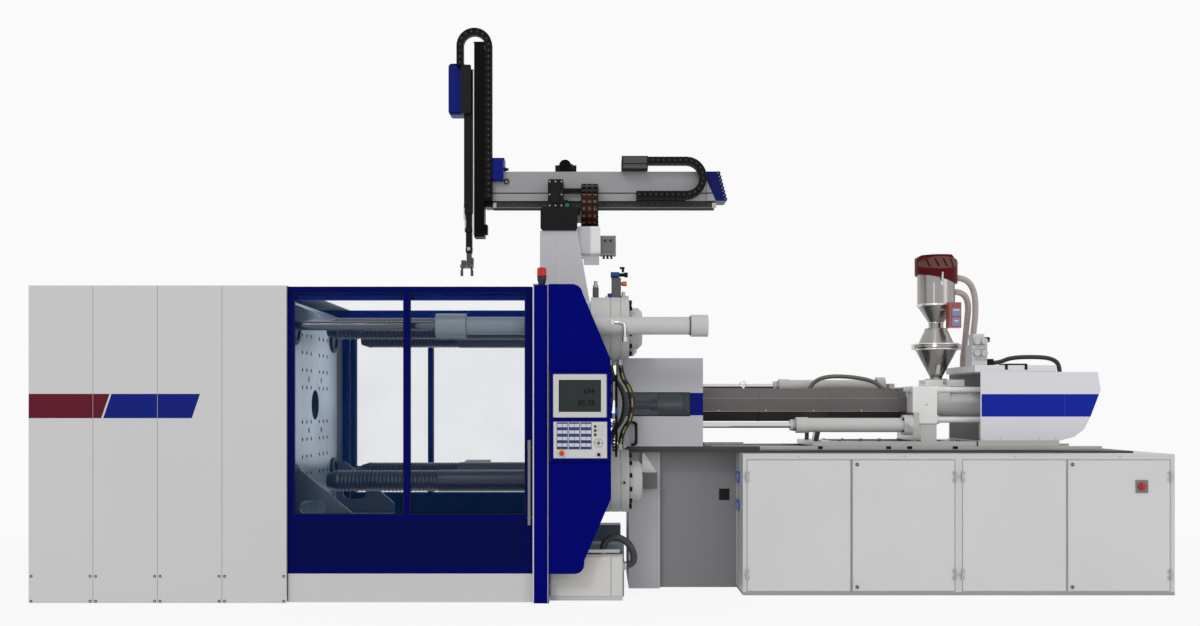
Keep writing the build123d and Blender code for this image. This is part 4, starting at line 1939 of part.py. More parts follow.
def service_units():
    """Stand below the housing, valve block above the nozzle and a cable box on the neck."""
    stand = block(STAND_X, STAND_Y, (0, STAND_TOP))
    valve = block(MANIFOLD_X, MANIFOLD_Y, MANIFOLD_Z)
    mid_y = sum(MANIFOLD_Y) / 2
    coil = bar_z(COIL_X, mid_y, (MANIFOLD_Z[1], MANIFOLD_Z[1] + COIL_HEIGHT), COIL_DIA / 2)
    port = bar_z(PORT_X, mid_y, (MANIFOLD_Z[1], MANIFOLD_Z[1] + COIL_HEIGHT / 2), COIL_DIA / 2)
    knob_x = (MANIFOLD_X[1], MANIFOLD_X[1] + KNOB_LENGTH)
    knob = bar_x(knob_x, mid_y, sum(MANIFOLD_Z) / 2, KNOB_HEAD_DIA / 2)
    box = block(TRAY_BOX_X, TRAY_BOX_Y, TRAY_BOX_Z)
    brace = cross_plate(
        [(TRAY_BOX_Y[1], TRAY_BOX_Z[1]), (TRAY_BOX_Y[0], TRAY_BOX_Z[1]), (TRAY_BOX_Y[1], NECK_TOP)],
        (TRAY_BOX_X[0], TRAY_BOX_X[0] + SHEET),
    )
    store("service_units", stand, valve, coil, port, knob, box, brace)


def hydraulic_hoses():
    """Black hoses between the clamp cylinders and to the valve block, and a drain hose."""
    tie_y = -TIE_PITCH_Y / 2
    high = AXIS_Z + TIE_PITCH_Z / 2 - CYL_DIA / 2 - RUN
    low = AXIS_Z - TIE_PITCH_Z / 2 + CYL_DIA / 2 + RUN
    bows = ((80.0, 190.0, -800.0), (160.0, 250.0, -715.0))
    tubes = []
    for start_x, bow_x, bow_y in bows:
        route = [
            (start_x, tie_y, high),
            (start_x, tie_y, high - BOW_RUN),
            (bow_x, bow_y, high - 2 * BOW_RUN),
            (bow_x, bow_y, low + 2 * BOW_RUN),
            (start_x, tie_y, low + BOW_RUN),
            (start_x, tie_y, low),
        ]
        tubes.append(hose(route, HOSE_DIA, "pressure hose"))
    tank = [
        (30, -300, MANIFOLD_Z[0]), (30, -300, 1950), (90, -360, 1800), (90, -360, 1450),
        (40, -330, 1250), (FIXED_REAR_X, -330, 1250),
    ]
    tubes.append(hose(tank, HOSE_DIA, "return hose"))
    drain = [
        (20, -940, STAND_TOP), (20, -940, 425), (110, -955, 480), (215, -965, 430),
        (262, -955, 330), (245, -940, 250), (STAND_X[1], -940, 250),
    ]
    store("hydraulic_hoses", tubes, hose(drain, DRAIN_DIA, "drain hose"))


def material_hoses():
    """Spiral hoses from the loader, a cable over the rear cover and one beside the barrel."""
    cap_x = THROAT_X + CAP_WIDTH / 2 + RUN
    body_x = THROAT_X + LOADER_DIA / 2 + RUN
    vacuum = [
        (cap_x, 0, 2532), (3060, 0, 2532), (3150, 40, 2440), (3170, 60, 2250), (3150, 80, 2050),
        (3160, 100, 1900), (3160, 100, REAR_STEP_TOP),
    ]
    feed = [
        (body_x, 0, 2415), (3040, 0, 2415), (3110, 60, 2330), (3120, 150, 2150),
        (3110, 180, 1950), (3100, 190, 1870), (3100, 190, REAR_STEP_TOP),
    ]
    cable = [
        (VALVE_X[1] + PLUG_LENGTH, -100, 1818), (3310, -100, 1818), (3400, -125, 1862),
        (3620, -140, 1866), (3740, -140, 1850), (3800, -130, 1800), (3800, -130, 1733.5),
    ]
    lead = [
        (BLOCK_X[0], 235, 1580), (2450, 235, 1580), (2350, 262, 1690), (1960, 285, 1730),
        (1800, 310, 1640), (1790, 320, 1400), (1790, 320, CARRIAGE_PLATE_Z[1]),
    ]
    store(
        "material_hoses",
        hose(vacuum, MATERIAL_DIA, "vacuum hose"),
        hose(feed, MATERIAL_DIA, "material hose"),
        hose(cable, CABLE_DIA, "valve cable"),
        hose(lead, CABLE_DIA, "cylinder lead"),
    )


def build_all():
    """Write every sub-part."""
    clamp_bed()
    guide_rails()
    fixed_platen()
    clamp_cylinders()
    tie_bars()
    lock_halves()
    moving_platen()
    travel_cylinders()
    ejector()
    guard_frame()
    cover_panels()
    sliding_door("", -1, FRONT_MULLION_X)
    sliding_door("rear_", 1, REAR_MULLION_X)
    door_handle()
    operator_stand()
    operator_panel()
    signal_beacon()
    injection_bed()
    for number in range(len(CAB_DOORS)):
        cabinet_door(number)
    main_switch()
    way_covers()
    nozzle_guard()
    carriage_guides()
    carriage_frame()
    feed_housing()
    barrel()
    drive()
    rear_cover()
    hopper()
    robot_pedestal()
    traverse_beam()
    robot_carriage()
    robot_beam()
    robot_mast()
    robot_arm()
    robot_wrist()
    service_units()
    hydraulic_hoses()
    material_hoses()


build_all()
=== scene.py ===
"""Visual model of a two-platen injection moulding machine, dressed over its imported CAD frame."""

import json
import logging
from collections.abc import Callable, Sequence
from dataclasses import dataclass
from enum import Enum

import bpy
import numpy as np
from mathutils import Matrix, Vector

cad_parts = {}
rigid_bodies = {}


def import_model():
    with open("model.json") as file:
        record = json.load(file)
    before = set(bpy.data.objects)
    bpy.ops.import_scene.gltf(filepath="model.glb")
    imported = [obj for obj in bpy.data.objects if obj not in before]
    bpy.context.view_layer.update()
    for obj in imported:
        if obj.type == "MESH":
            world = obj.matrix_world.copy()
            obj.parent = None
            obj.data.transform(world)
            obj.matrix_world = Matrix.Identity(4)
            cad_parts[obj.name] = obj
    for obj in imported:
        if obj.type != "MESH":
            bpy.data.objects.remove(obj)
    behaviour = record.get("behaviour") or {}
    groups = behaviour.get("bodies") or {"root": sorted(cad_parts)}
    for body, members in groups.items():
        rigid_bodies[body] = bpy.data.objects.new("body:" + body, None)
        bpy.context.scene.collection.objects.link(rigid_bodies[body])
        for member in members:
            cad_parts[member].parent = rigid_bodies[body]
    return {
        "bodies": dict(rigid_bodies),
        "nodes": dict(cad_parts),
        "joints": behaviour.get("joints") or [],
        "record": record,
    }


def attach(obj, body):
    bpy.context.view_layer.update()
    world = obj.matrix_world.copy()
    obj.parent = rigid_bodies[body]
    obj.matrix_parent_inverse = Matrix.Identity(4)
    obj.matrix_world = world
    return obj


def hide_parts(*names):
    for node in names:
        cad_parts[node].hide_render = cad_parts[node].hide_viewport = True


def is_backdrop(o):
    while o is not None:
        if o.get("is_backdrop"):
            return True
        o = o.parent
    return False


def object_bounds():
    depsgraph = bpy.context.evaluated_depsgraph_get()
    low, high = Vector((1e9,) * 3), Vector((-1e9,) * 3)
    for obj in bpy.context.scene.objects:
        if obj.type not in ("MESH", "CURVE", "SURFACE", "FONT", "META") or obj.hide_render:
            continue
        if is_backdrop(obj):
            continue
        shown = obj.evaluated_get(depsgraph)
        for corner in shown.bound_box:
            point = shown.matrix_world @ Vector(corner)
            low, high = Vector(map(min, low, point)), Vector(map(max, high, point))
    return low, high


LOG = logging.getLogger("moulding_machine")
MM = 0.001
TURN = 2.0 * np.pi
ORIGIN = (0.0, 0.0, 0.0)

Point = tuple[float, float, float]
Colour = tuple[float, float, float]
Span = tuple[float, float]
Steps = tuple[Callable[[], None], ...]


class Axis(Enum):
    """Main directions of the machine, with the order in which a section's axes follow."""

    X = (0, 1, 2)
    Y = (1, 2, 0)
    Z = (2, 0, 1)


class Grain(Enum):
    """Fine structure of a surface: the scales of its noise along X, Y and Z, per metre."""

    PAINT = (260.0, 260.0, 260.0)
    PLASTIC = (420.0, 420.0, 420.0)
    CAST = (90.0, 90.0, 90.0)
    MILLED = (30.0, 30.0, 0.5)
    BRUSHED_X = (3.0, 420.0, 420.0)
    BRUSHED_Y = (420.0, 3.0, 420.0)
    BRUSHED_Z = (420.0, 420.0, 3.0)


# Finishes: scales are per metre, depths in metres, the rest are shares.
CLOUD_SCALE = 1.6
CLOUD_SHARE = 4.0
CLOUD_ROUGH = 0.15
GRAIN_ROUGH = 0.10
GRAIN_DEPTH = 0.0006
HAZE_SCALE = 2.2
HAZE_SHARE = 0.06
GRIME_SCALE = 40.0
DASHES = 9.0
DASH_WIDTH = 0.045
RING_DEPTH = 0.002


class Sock:
    """A shader socket or number whose Python operators add Math nodes."""

    def __init__(self, sheet: "Sheet", value: object) -> None:
        """Wrap an output socket or a plain number of a node sheet."""
        self.sheet = sheet
        self.value = value

    def _math(self, operation: str, *values: object, clamp: bool = False) -> "Sock":
        """Add one Math node.

        Args:
            operation: Name of the Math node's operation.
            values: Sockets or numbers for its inputs, in order.
            clamp: Whether the result is kept between 0 and 1.

        Returns:
            The node's result.
        """
        settings = {"operation": operation, "use_clamp": clamp}
        return self.sheet.node("ShaderNodeMath", settings, dict(enumerate(values)))

    def __add__(self, other: object) -> "Sock":
        """Sum of two values."""
        return self._math("ADD", self, other)

    __radd__ = __add__

    def __sub__(self, other: object) -> "Sock":
        """Difference of two values."""
        return self._math("SUBTRACT", self, other)

    def __rsub__(self, other: object) -> "Sock":
        """Difference with this value taken away."""
        return self._math("SUBTRACT", other, self)

    def __mul__(self, other: object) -> "Sock":
        """Product of two values."""
        return self._math("MULTIPLY", self, other)

    __rmul__ = __mul__

    def __truediv__(self, other: object) -> "Sock":
        """Quotient of two values."""
        return self._math("DIVIDE", self, other)

    def __rtruediv__(self, other: object) -> "Sock":
        """Quotient with this value below."""
        return self._math("DIVIDE", other, self)

    def above(self, limit: object) -> "Sock":
        """1 where this value is above a limit, else 0."""
        return self._math("GREATER_THAN", self, limit)

    def below(self, limit: object) -> "Sock":
        """1 where this value is below a limit, else 0."""
        return self._math("LESS_THAN", self, limit)

    def fraction(self) -> "Sock":
        """Part of this value after the point."""
        return self._math("FRACT", self)

    def size(self) -> "Sock":
        """This value without its sign."""
        return self._math("ABSOLUTE", self)

    def kept(self) -> "Sock":
        """This value kept between 0 and 1."""
        return self._math("ADD", self, 0.0, clamp=True)


class Sheet:
    """Node sheet of one material or world."""

    def __init__(self, name: str, world: bpy.types.World | None = None) -> None:
        """Empty the node tree of a new material, or of a world.

        Args:
            name: Name of the material.
            world: The world, if the sheet is for one.
        """
        self.material = world or bpy.data.materials.new(name)
        self.material.use_nodes = True
        self.tree = self.material.node_tree
        self.tree.nodes.clear()

    def node(
        self,
        kind: str,
        settings: dict[str, object] | None = None,
        inputs: dict[object, object] | None = None,
        output: object = 0,
    ) -> Sock:
        """Add any node: its settings first, then the values or links of its sockets.

        Args:
            kind: Type name of the node.
            settings: Attributes of the node.
            inputs: Values, sockets or Sock objects by input name or number.
            output: Name or number of the output that is wanted.

        Returns:
            The wanted output.
        """
        made = self.tree.nodes.new(kind)
        for key, value in (settings or {}).items():
            setattr(made, key, value)
        for key, value in (inputs or {}).items():
            plain = value.value if isinstance(value, Sock) else value
            if isinstance(plain, bpy.types.NodeSocket):
                self.tree.links.new(plain, made.inputs[key])
            else:
                made.inputs[key].default_value = plain
        return Sock(self, made.outputs[output] if made.outputs else None)

    def place(self) -> Sock:
        """Place on the machine, in metres."""
        return self.node("ShaderNodeTexCoord", output="Object")

    def parts(self, vector: Sock) -> tuple[Sock, Sock, Sock]:
        """X, Y and Z of a vector."""
        outputs = self.node("ShaderNodeSeparateXYZ", inputs={"Vector": vector}).value.node.outputs
        return tuple(Sock(self, output) for output in outputs)

    def noise(self, vector: Sock, scale: float, detail: float = 2.0) -> Sock:
        """Soft noise between 0 and 1, read at a vector times a scale, with finer layers by detail."""
        return self.node("ShaderNodeTexNoise", None, {"Vector": vector, "Scale": scale, "Detail": detail})

    def stretched(self, vector: Sock, scales: Sequence[float]) -> Sock:
        """Vector with each of its parts multiplied by its own scale."""
        return self.node("ShaderNodeVectorMath", {"operation": "MULTIPLY"}, {0: vector, 1: tuple(scales)})

    def blend(self, factor: object, first: object, second: object) -> Sock:
        """Colour between a first colour, at a factor of 0, and a second one, at a factor of 1."""
        inputs = {0: factor, 6: full(first), 7: full(second)}
        return self.node("ShaderNodeMix", {"data_type": "RGBA", "clamp_factor": True}, inputs, 2)

    def bump(self, height: Sock, strength: float, distance: float) -> Sock:
        """Normal of a relief whose height of 1 stands for a distance in metres."""
        inputs = {"Height": height, "Strength": strength, "Distance": distance}
        return self.node("ShaderNodeBump", None, inputs)

    def close(self, shader: Sock) -> bpy.types.Material:
        """Link the surface shader to the output, and hand over the finished material."""
        self.node("ShaderNodeOutputMaterial", inputs={"Surface": shader})
        return self.material

    def surface(self, inputs: dict[object, object]) -> bpy.types.Material:
        """Material whose surface is one Principled shader with these inputs."""
        return self.close(self.node("ShaderNodeBsdfPrincipled", None, inputs))


def full(colour: object) -> object:
    """Colour with an alpha of 1; a socket is left as it is."""
    return (*colour, 1.0) if isinstance(colour, tuple) else colour


@dataclass(frozen=True)
class Zone:
    """Box of a surface with a finish of its own, its limits in millimetres.

    A slant moves the zone along X by that share of the height over its middle.
    """

    x: Span
    y: Span
    z: Span
    colour: Colour
    rough: float = 0.45
    metal: float = 0.0
    slant: float = 0.0


@dataclass(frozen=True)
class Finish:
    """Its slot is the record's material slot of the pieces that have it.
    """

    name: str
    colour: Colour
    rough: float = 0.5
    metal: float = 0.0
    grain: Grain = Grain.PAINT
    uneven: float = 0.05
    relief: float = 0.08
    gloss: float = 0.5
    zones: tuple[Zone, ...] = ()
    slot: str = "light_paint"

    def build(self) -> bpy.types.Material:
        """Make the material.

        Returns:
            The material.
        """
        sheet = Sheet(self.name)
        place = sheet.place()
        fine = sheet.noise(sheet.stretched(place, self.grain.value), 1.0)
        slow = sheet.noise(place, CLOUD_SCALE, 3.0)
        shade = (slow - 0.5) * self.uneven * CLOUD_SHARE + (fine - 0.5) * self.uneven
        darker = tuple(part * (1.0 - 2.0 * self.uneven) for part in self.colour)
        lighter = tuple(min(1.0, part * (1.0 + 2.0 * self.uneven)) for part in self.colour)
        colour = sheet.blend((shade * 2.0 + 0.5).kept(), darker, lighter)
        rough: object = ((slow - 0.5) * CLOUD_ROUGH + (fine - 0.5) * GRAIN_ROUGH + self.rough).kept()
        metal: object = self.metal
        x, y, z = sheet.parts(place)
        for zone in self.zones:
            leaning = x - (z - sum(zone.z) / 2 * MM) * zone.slant if zone.slant else x
            mask = inside(leaning, zone.x) * inside(y, zone.y) * inside(z, zone.z)
            colour = sheet.blend(mask, colour, zone.colour)
            rough = mask * zone.rough + (1.0 - mask) * rough
            metal = mask * zone.metal + (1.0 - mask) * metal
        inputs = {
            "Base Color": colour,
            "Roughness": rough,
            "Metallic": metal,
            "Specular IOR Level": self.gloss,
            "Normal": sheet.bump(fine, self.relief, GRAIN_DEPTH),
        }
        return sheet.surface(inputs)


def inside(value: Sock, limits: Span) -> Sock:
    """1 where a place in metres lies between two limits in millimetres."""
    return value.above(limits[0] * MM) * value.below(limits[1] * MM)


@dataclass(frozen=True)
class Pane:
    """Clear or tinted sheet, seen through by its alpha."""

    name: str
    colour: Colour
    alpha: float
    rough: float = 0.06

    def build(self) -> bpy.types.Material:
        """Make the material.

        Returns:
            The material.
        """
        sheet = Sheet(self.name)
        place = sheet.place()
        haze = sheet.noise(place, HAZE_SCALE)
        deeper = tuple(part * 0.86 for part in self.colour)
        inputs = {
            "Base Color": sheet.blend(haze, deeper, self.colour),
            "Roughness": ((haze - 0.5) * HAZE_SHARE + self.rough).kept(),
            "Alpha": ((haze - 0.5) * HAZE_SHARE + self.alpha).kept(),
        }
        return sheet.surface(inputs)


@dataclass(frozen=True)
class HoseFinish:
    """Hose skin that follows the hose: rings or a wound spiral, and a dashed print."""

    name: str
    colour: Colour
    ring_colour: Colour
    rings: float
    dash_colour: Colour | None = None
    rough: float = 0.5
    alpha: float = 1.0

    def build(self) -> bpy.types.Material:
        """Make the material; U runs along the hose in metres and V once round it.

        Returns:
            The material.
        """
        sheet = Sheet(self.name)
        along, around, _ = sheet.parts(sheet.node("ShaderNodeUVMap", {"uv_map": "UVMap"}))
        wave = ((along * self.rings + around).fraction() - 0.5).size() * 2.0
        grime = sheet.noise(sheet.place(), GRIME_SCALE)
        dark = sheet.blend(grime * 0.35, self.colour, self.ring_colour)
        colour = sheet.blend(wave * 0.6, dark, self.ring_colour)
        if self.dash_colour:
            dash = (along * DASHES).fraction().below(0.55) * (around - 0.5).size().below(DASH_WIDTH)
            broken = (along * (DASHES * 10.0)).fraction().below(0.7)
            colour = sheet.blend(dash * broken, colour, self.dash_colour)
        inputs = {
            "Base Color": colour,
            "Roughness": ((grime - 0.5) * 0.2 + self.rough).kept(),
            "Alpha": self.alpha,
            "Normal": sheet.bump(wave, 0.5, RING_DEPTH),
        }
        return sheet.surface(inputs)


Skin = Finish | Pane | HoseFinish


@dataclass
class Shape:
    """Mesh data: corner points, blocks of faces of equal corner count, and texture places of tubes."""

    points: np.ndarray
    faces: list[np.ndarray]
    uv: np.ndarray | None = None

    def __add__(self, other: "Shape") -> "Shape":
        """Both shapes as one mesh; the second one's face numbers start after the first one's points."""
        shifted = [block + len(self.points) for block in other.faces]
        return Shape(np.vstack((self.points, other.points)), self.faces + shifted)

    def copies(self, offsets: np.ndarray) -> "Shape":
        """The shape repeated at each offset.

        Args:
            offsets: Offsets in metres, one row each.

        Returns:
            All copies as one mesh.
        """
        offsets = np.asarray(offsets, float)
        points = (offsets[:, None, :] + self.points[None]).reshape(-1, 3)
        return Shape(points, self._repeated(len(offsets)))

    def placed(self, centres: np.ndarray, along: np.ndarray, across: np.ndarray) -> "Shape":
        """The shape repeated in frames: X goes along, Y across, and Z along their cross product.

        Args:
            centres: Origins of the frames.
            along: Unit vectors for X.
            across: Unit vectors for Y.

        Returns:
            All copies as one mesh.
        """
        up = np.cross(along, across)
        x, y, z = (self.points[None, :, part, None] for part in range(3))
        points = centres[:, None] + x * along[:, None] + y * across[:, None] + z * up[:, None]
        return Shape(points.reshape(-1, 3), self._repeated(len(centres)))

    def _repeated(self, count: int) -> list[np.ndarray]:
        """Face blocks of a number of copies, each copy's numbers shifted by the points before it."""
        steps = np.arange(count)[:, None, None] * len(self.points)
        return [(block[None] + steps).reshape(-1, block.shape[1]) for block in self.faces]

    def mirrored(self) -> "Shape":
        """The shape on the other side of the centre plane, its faces turned round to point outwards."""
        return Shape(self.points * (1, -1, 1), [block[:, ::-1] for block in self.faces])

    def both(self) -> "Shape":
        """The shape and its mirror image."""
        return self + self.mirrored()


CUBE_FACES = np.array(
    ((0, 1, 3, 2), (4, 6, 7, 5), (0, 4, 5, 1), (2, 3, 7, 6), (0, 2, 6, 4), (1, 5, 7, 3))
)


def box(x: Span, y: Span, z: Span) -> Shape:
    """Box between limits in millimetres: every choice of a low or high limit on each axis is a corner."""
    corners = np.stack(np.meshgrid(x, y, z, indexing="ij"), axis=-1).reshape(-1, 3)
    return Shape(corners * MM, [CUBE_FACES])


def boxes(lows: np.ndarray, highs: np.ndarray) -> Shape:
    """Many boxes at once: the unit cube scaled by each box's size and moved to its low corner.

    Args:
        lows: Low corners in millimetres.
        highs: High corners in millimetres.

    Returns:
        All boxes as one mesh.
    """
    lows, highs = np.asarray(lows, float), np.asarray(highs, float)
    unit = box((0, 1), (0, 1), (0, 1)).points / MM
    points = lows[:, None] + unit[None] * (highs - lows)[:, None]
    faces = CUBE_FACES[None] + np.arange(len(lows))[:, None, None] * 8
    return Shape(points.reshape(-1, 3) * MM, [faces.reshape(-1, 4)])


def skin(grid: np.ndarray, ends: bool = True, ring: bool = False) -> Shape:
    """Surface over a grid of rows that are closed round; each quad joins four neighbours.

    Args:
        grid: Points by row, column and coordinate, in metres.
        ends: Whether flat faces close the first and last row.
        ring: Whether the last row is joined to the first.

    Returns:
        The surface.
    """
    rows, columns = grid.shape[:2]
    number = np.arange(rows * columns).reshape(rows, columns)
    following = np.roll(number, -1, axis=0) if ring else number[1:]
    here = number if ring else number[:-1]
    quads = np.stack(
        (here, np.roll(here, -1, 1), np.roll(following, -1, 1), following), axis=-1
    ).reshape(-1, 4)
    faces = [quads]
    if ends and not ring:
        faces.append(np.stack((number[0][::-1], number[-1])))
    return Shape(grid.reshape(-1, 3), faces)


def lathe(
    profile: Sequence[Span], axis: Axis, centre: Point = ORIGIN, count: int = 32, ring: bool = False,
) -> Shape:
    """Turned piece: each profile point's radius times cosine and sine of the angle, at its height.

    Args:
        profile: Heights along the axis and radii, in millimetres.
        axis: Axis of turning.
        centre: A point of the axis, in millimetres; heights count from it.
        count: Facets round the axis.
        ring: Whether the profile is closed in itself.

    Returns:
        The turned piece.
    """
    heights, radii = np.asarray(profile, float).T
    angle = np.arange(count) / count * TURN
    grid = np.zeros((len(heights), count, 3))
    main, first, second = axis.value
    grid[..., main] = heights[:, None] + centre[main]
    grid[..., first] = radii[:, None] * np.cos(angle) + centre[first]
    grid[..., second] = radii[:, None] * np.sin(angle) + centre[second]
    return skin(grid * MM, ring=ring)


def prism(outline: np.ndarray, axis: Axis, limits: Span, rim: float = 0.0) -> Shape:
    """Outline carried along an axis; with a rim its two edges are drawn in towards its middle.

    Args:
        outline: Points in millimetres in the plane of the two following axes, anticlockwise.
        axis: Direction of the prism.
        limits: Its limits along the axis, in millimetres.
        rim: Size of the bevelled edge in millimetres.

    Returns:
        The prism.
    """
    outline = np.asarray(outline, float)
    middle = (outline.min(0) + outline.max(0)) / 2
    half = (outline.max(0) - outline.min(0)) / 2
    drawn = middle + (outline - middle) * (1 - rim / half)
    low, high = limits
    edges = ((low, drawn), (low + rim, outline), (high - rim, outline), (high, drawn))
    return skin(stacked(edges if rim else (edges[0], edges[3]), axis))


def stacked(levels: Sequence[tuple[float, np.ndarray]], axis: Axis) -> np.ndarray:
    """Rows of points for a skin: each outline, in the plane of the two following axes, at its height.

    Args:
        levels: Height along the axis and outline of each row, in millimetres.
        axis: Direction in which the rows are stacked.

    Returns:
        Points by row, column and coordinate, in metres.
    """
    grid = np.zeros((len(levels), len(levels[0][1]), 3))
    main, first, second = axis.value
    grid[..., main] = np.array([height for height, _ in levels])[:, None]
    grid[..., first] = np.array([line[:, 0] for _, line in levels])
    grid[..., second] = np.array([line[:, 1] for _, line in levels])
    return grid * MM


def rounded(first: Span, second: Span, radius: float, steps: int = 5) -> np.ndarray:
    """Outline of a rectangle with round corners: each corner's centre plus radius times cosine and sine.

    Args:
        first: Limits on the first axis.
        second: Limits on the second axis.
        radius: Corner radius.
        steps: Points in each corner.

    Returns:
        The outline's points, anticlockwise.
    """
    quarter = np.linspace(0, TURN / 4, steps)
    angle = (np.arange(4)[:, None] * TURN / 4 + quarter).ravel()
    signs = np.repeat(np.array(((1, 1), (-1, 1), (-1, -1), (1, -1))), steps, axis=0)
    middle = np.array((sum(first), sum(second))) / 2
    half = np.array((first[1] - first[0], second[1] - second[0])) / 2 - radius
    return middle + signs * half + radius * np.stack((np.cos(angle), np.sin(angle)), axis=1)


def tube(path: np.ndarray, radius: float, count: int = 16) -> Shape:
    """Round tube: at each path point a circle in the plane across the path's direction.

    The circle's first axis is a fixed reference direction less its part along the path.

    Args:
        path: Points of the centre line in metres.
        radius: Radius in metres.
        count: Facets round the tube.

    Returns:
        The tube, with its texture places: metres along it and turns round it.
    """
    step = np.gradient(path, axis=0)
    along = step / np.linalg.norm(step, axis=1, keepdims=True)
    reference = np.eye(3)[np.abs(along).max(axis=0).argmin()]
    first = reference - (along @ reference)[:, None] * along
    first /= np.linalg.norm(first, axis=1, keepdims=True)
    second = np.cross(along, first)
    angle = np.arange(count) / count * TURN
    cosine, sine = np.cos(angle)[None, :, None], np.sin(angle)[None, :, None]
    circle = cosine * first[:, None] + sine * second[:, None]
    made = skin(path[:, None] + radius * circle)
    gaps = np.linalg.norm(np.diff(path, axis=0), axis=1)
    length = np.concatenate(((0.0,), np.cumsum(gaps)))
    rows, columns = np.meshgrid(np.arange(len(path) - 1), np.arange(count), indexing="ij")
    u = length[np.stack((rows, rows, rows + 1, rows + 1), axis=-1)]
    v = np.stack((columns, columns + 1, columns + 1, columns), axis=-1) / count
    ends = np.zeros((2 * count, 2))
    made.uv = np.vstack((np.stack((u, v), axis=-1).reshape(-1, 2), ends))
    return made


def frame_ring(outer: np.ndarray, inner: np.ndarray, axis: Axis, limits: Sequence[float]) -> Shape:
    """Flat ring between two outlines of equal point count: its section runs inner, outer, outer, inner."""
    low, high = limits
    return skin(stacked(((low, inner), (low, outer), (high, outer), (high, inner)), axis), ring=True)


def joined(shapes: Sequence[Shape]) -> Shape:
    """All shapes as one mesh, without texture places."""
    return sum(shapes[1:], shapes[0])


def spline(route: Sequence[Point]) -> np.ndarray:
    """Points of the smooth NURBS line that has a route's places as its control points.

    Args:
        route: Control points in metres.

    Returns:
        Points along the line, in metres.
    """
    curve = bpy.data.curves.new("route", "CURVE")
    curve.dimensions = "3D"
    line = curve.splines.new("NURBS")
    line.points.add(len(route) - 1)
    line.points.foreach_set("co", np.column_stack((route, np.ones(len(route)))).ravel())
    line.order_u = 3
    line.use_endpoint_u = True
    line.resolution_u = 14
    holder = bpy.data.objects.new("route", curve)
    mesh = bpy.data.meshes.new_from_object(holder)
    points = np.empty(len(mesh.vertices) * 3)
    mesh.vertices.foreach_get("co", points)
    bpy.data.objects.remove(holder)
    bpy.data.curves.remove(curve)
    bpy.data.meshes.remove(mesh)
    return points.reshape(-1, 3)


class Workshop:
    """Holds the CAD frame and its skins, and turns shapes into pieces that ride on it."""

    digit_rise = 0.0003
    digit_weight = 0.0009

    def __init__(self) -> None:
        """Load the frame and keep its size."""
        self.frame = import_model()
        self.start_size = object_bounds()
        self.skins: dict[str, bpy.types.Material] = {}

    def material(self, finish: Skin) -> bpy.types.Material:
        """Material of a finish, made once.

        Args:
            finish: The finish.

        Returns:
            Its material.
        """
        if finish.name not in self.skins:
            self.skins[finish.name] = finish.build()
        return self.skins[finish.name]

    def paint(self, finish: Skin, *nodes: str) -> None:
        """Give CAD nodes a finish.

        Args:
            finish: The finish.
            nodes: Names of the nodes.
        """
        for name in nodes:
            for slot in self.frame["nodes"][name].material_slots:
                slot.material = self.material(finish)
            LOG.info("finish %s on %s", finish.name, name)

    def add(
        self, name: str, shape: Shape, finish: Skin, body: str,
        bevel: float = 0.0, sharp: float = 35.0, slot: str = "",
    ) -> bpy.types.Object:
        """Make a piece from a shape.

        Args:
            name: Name of the piece.
            shape: Its mesh data.
            finish: Its finish.
            body: CAD body that it rides on.
            bevel: Width of its rounded edges in millimetres, or 0 for none.
            sharp: Edge angle in degrees above which shading breaks.
            slot: Not used.

        Returns:
            The piece.
        """
        mesh = bpy.data.meshes.new(name)
        faces = [face for block in shape.faces for face in block.tolist()]
        mesh.from_pydata(shape.points.tolist(), [], faces)
        if shape.uv is not None:
            layer = mesh.uv_layers.new(name="UVMap")
            layer.data.foreach_set("uv", shape.uv.astype(np.float32).ravel())
        mesh.polygons.foreach_set("use_smooth", np.ones(len(mesh.polygons), bool))
        mesh.set_sharp_from_angle(angle=np.radians(sharp))
        mesh.materials.append(self.material(finish))
        piece = bpy.data.objects.new(name, mesh)
        bpy.context.scene.collection.objects.link(piece)
        if bevel:
            edge = piece.modifiers.new("edges", "BEVEL")
            edge.width = bevel * MM
            edge.segments = 2
            edge.limit_method = "ANGLE"
        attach(piece, body)
        LOG.info("piece %s on %s, %d faces", name, body, len(mesh.polygons))
        return piece

    def digits(
        self, name: str, text: str, corner: Point, height: float, finish: Skin, body: str,
    ) -> None:
        """Raise plain digits on a face that looks towards -Y.

        Args:
            name: Name of the piece.
            text: The digits.
            corner: Their lower right corner in millimetres.
            height: Their size in millimetres.
            finish: Their finish.
            body: CAD body that they ride on.
        """
        curve = bpy.data.curves.new(name, "FONT")
        curve.body = text
        curve.size = height * MM
        curve.extrude = self.digit_rise
        curve.offset = self.digit_weight
        curve.align_x = "RIGHT"
        holder = bpy.data.objects.new(name, curve)
        flat = bpy.data.meshes.new_from_object(holder)
        points = np.empty(len(flat.vertices) * 3)
        flat.vertices.foreach_get("co", points)
        points = points.reshape(-1, 3)
        turned = np.column_stack((points[:, 0], -points[:, 2], points[:, 1]))
        placed = turned + np.array(corner) * MM
        faces = [np.array([tuple(polygon.vertices)]) for polygon in flat.polygons]
        bpy.data.objects.remove(holder)
        bpy.data.curves.remove(curve)
        bpy.data.meshes.remove(flat)
        self.add(name, Shape(placed, faces), finish, body)


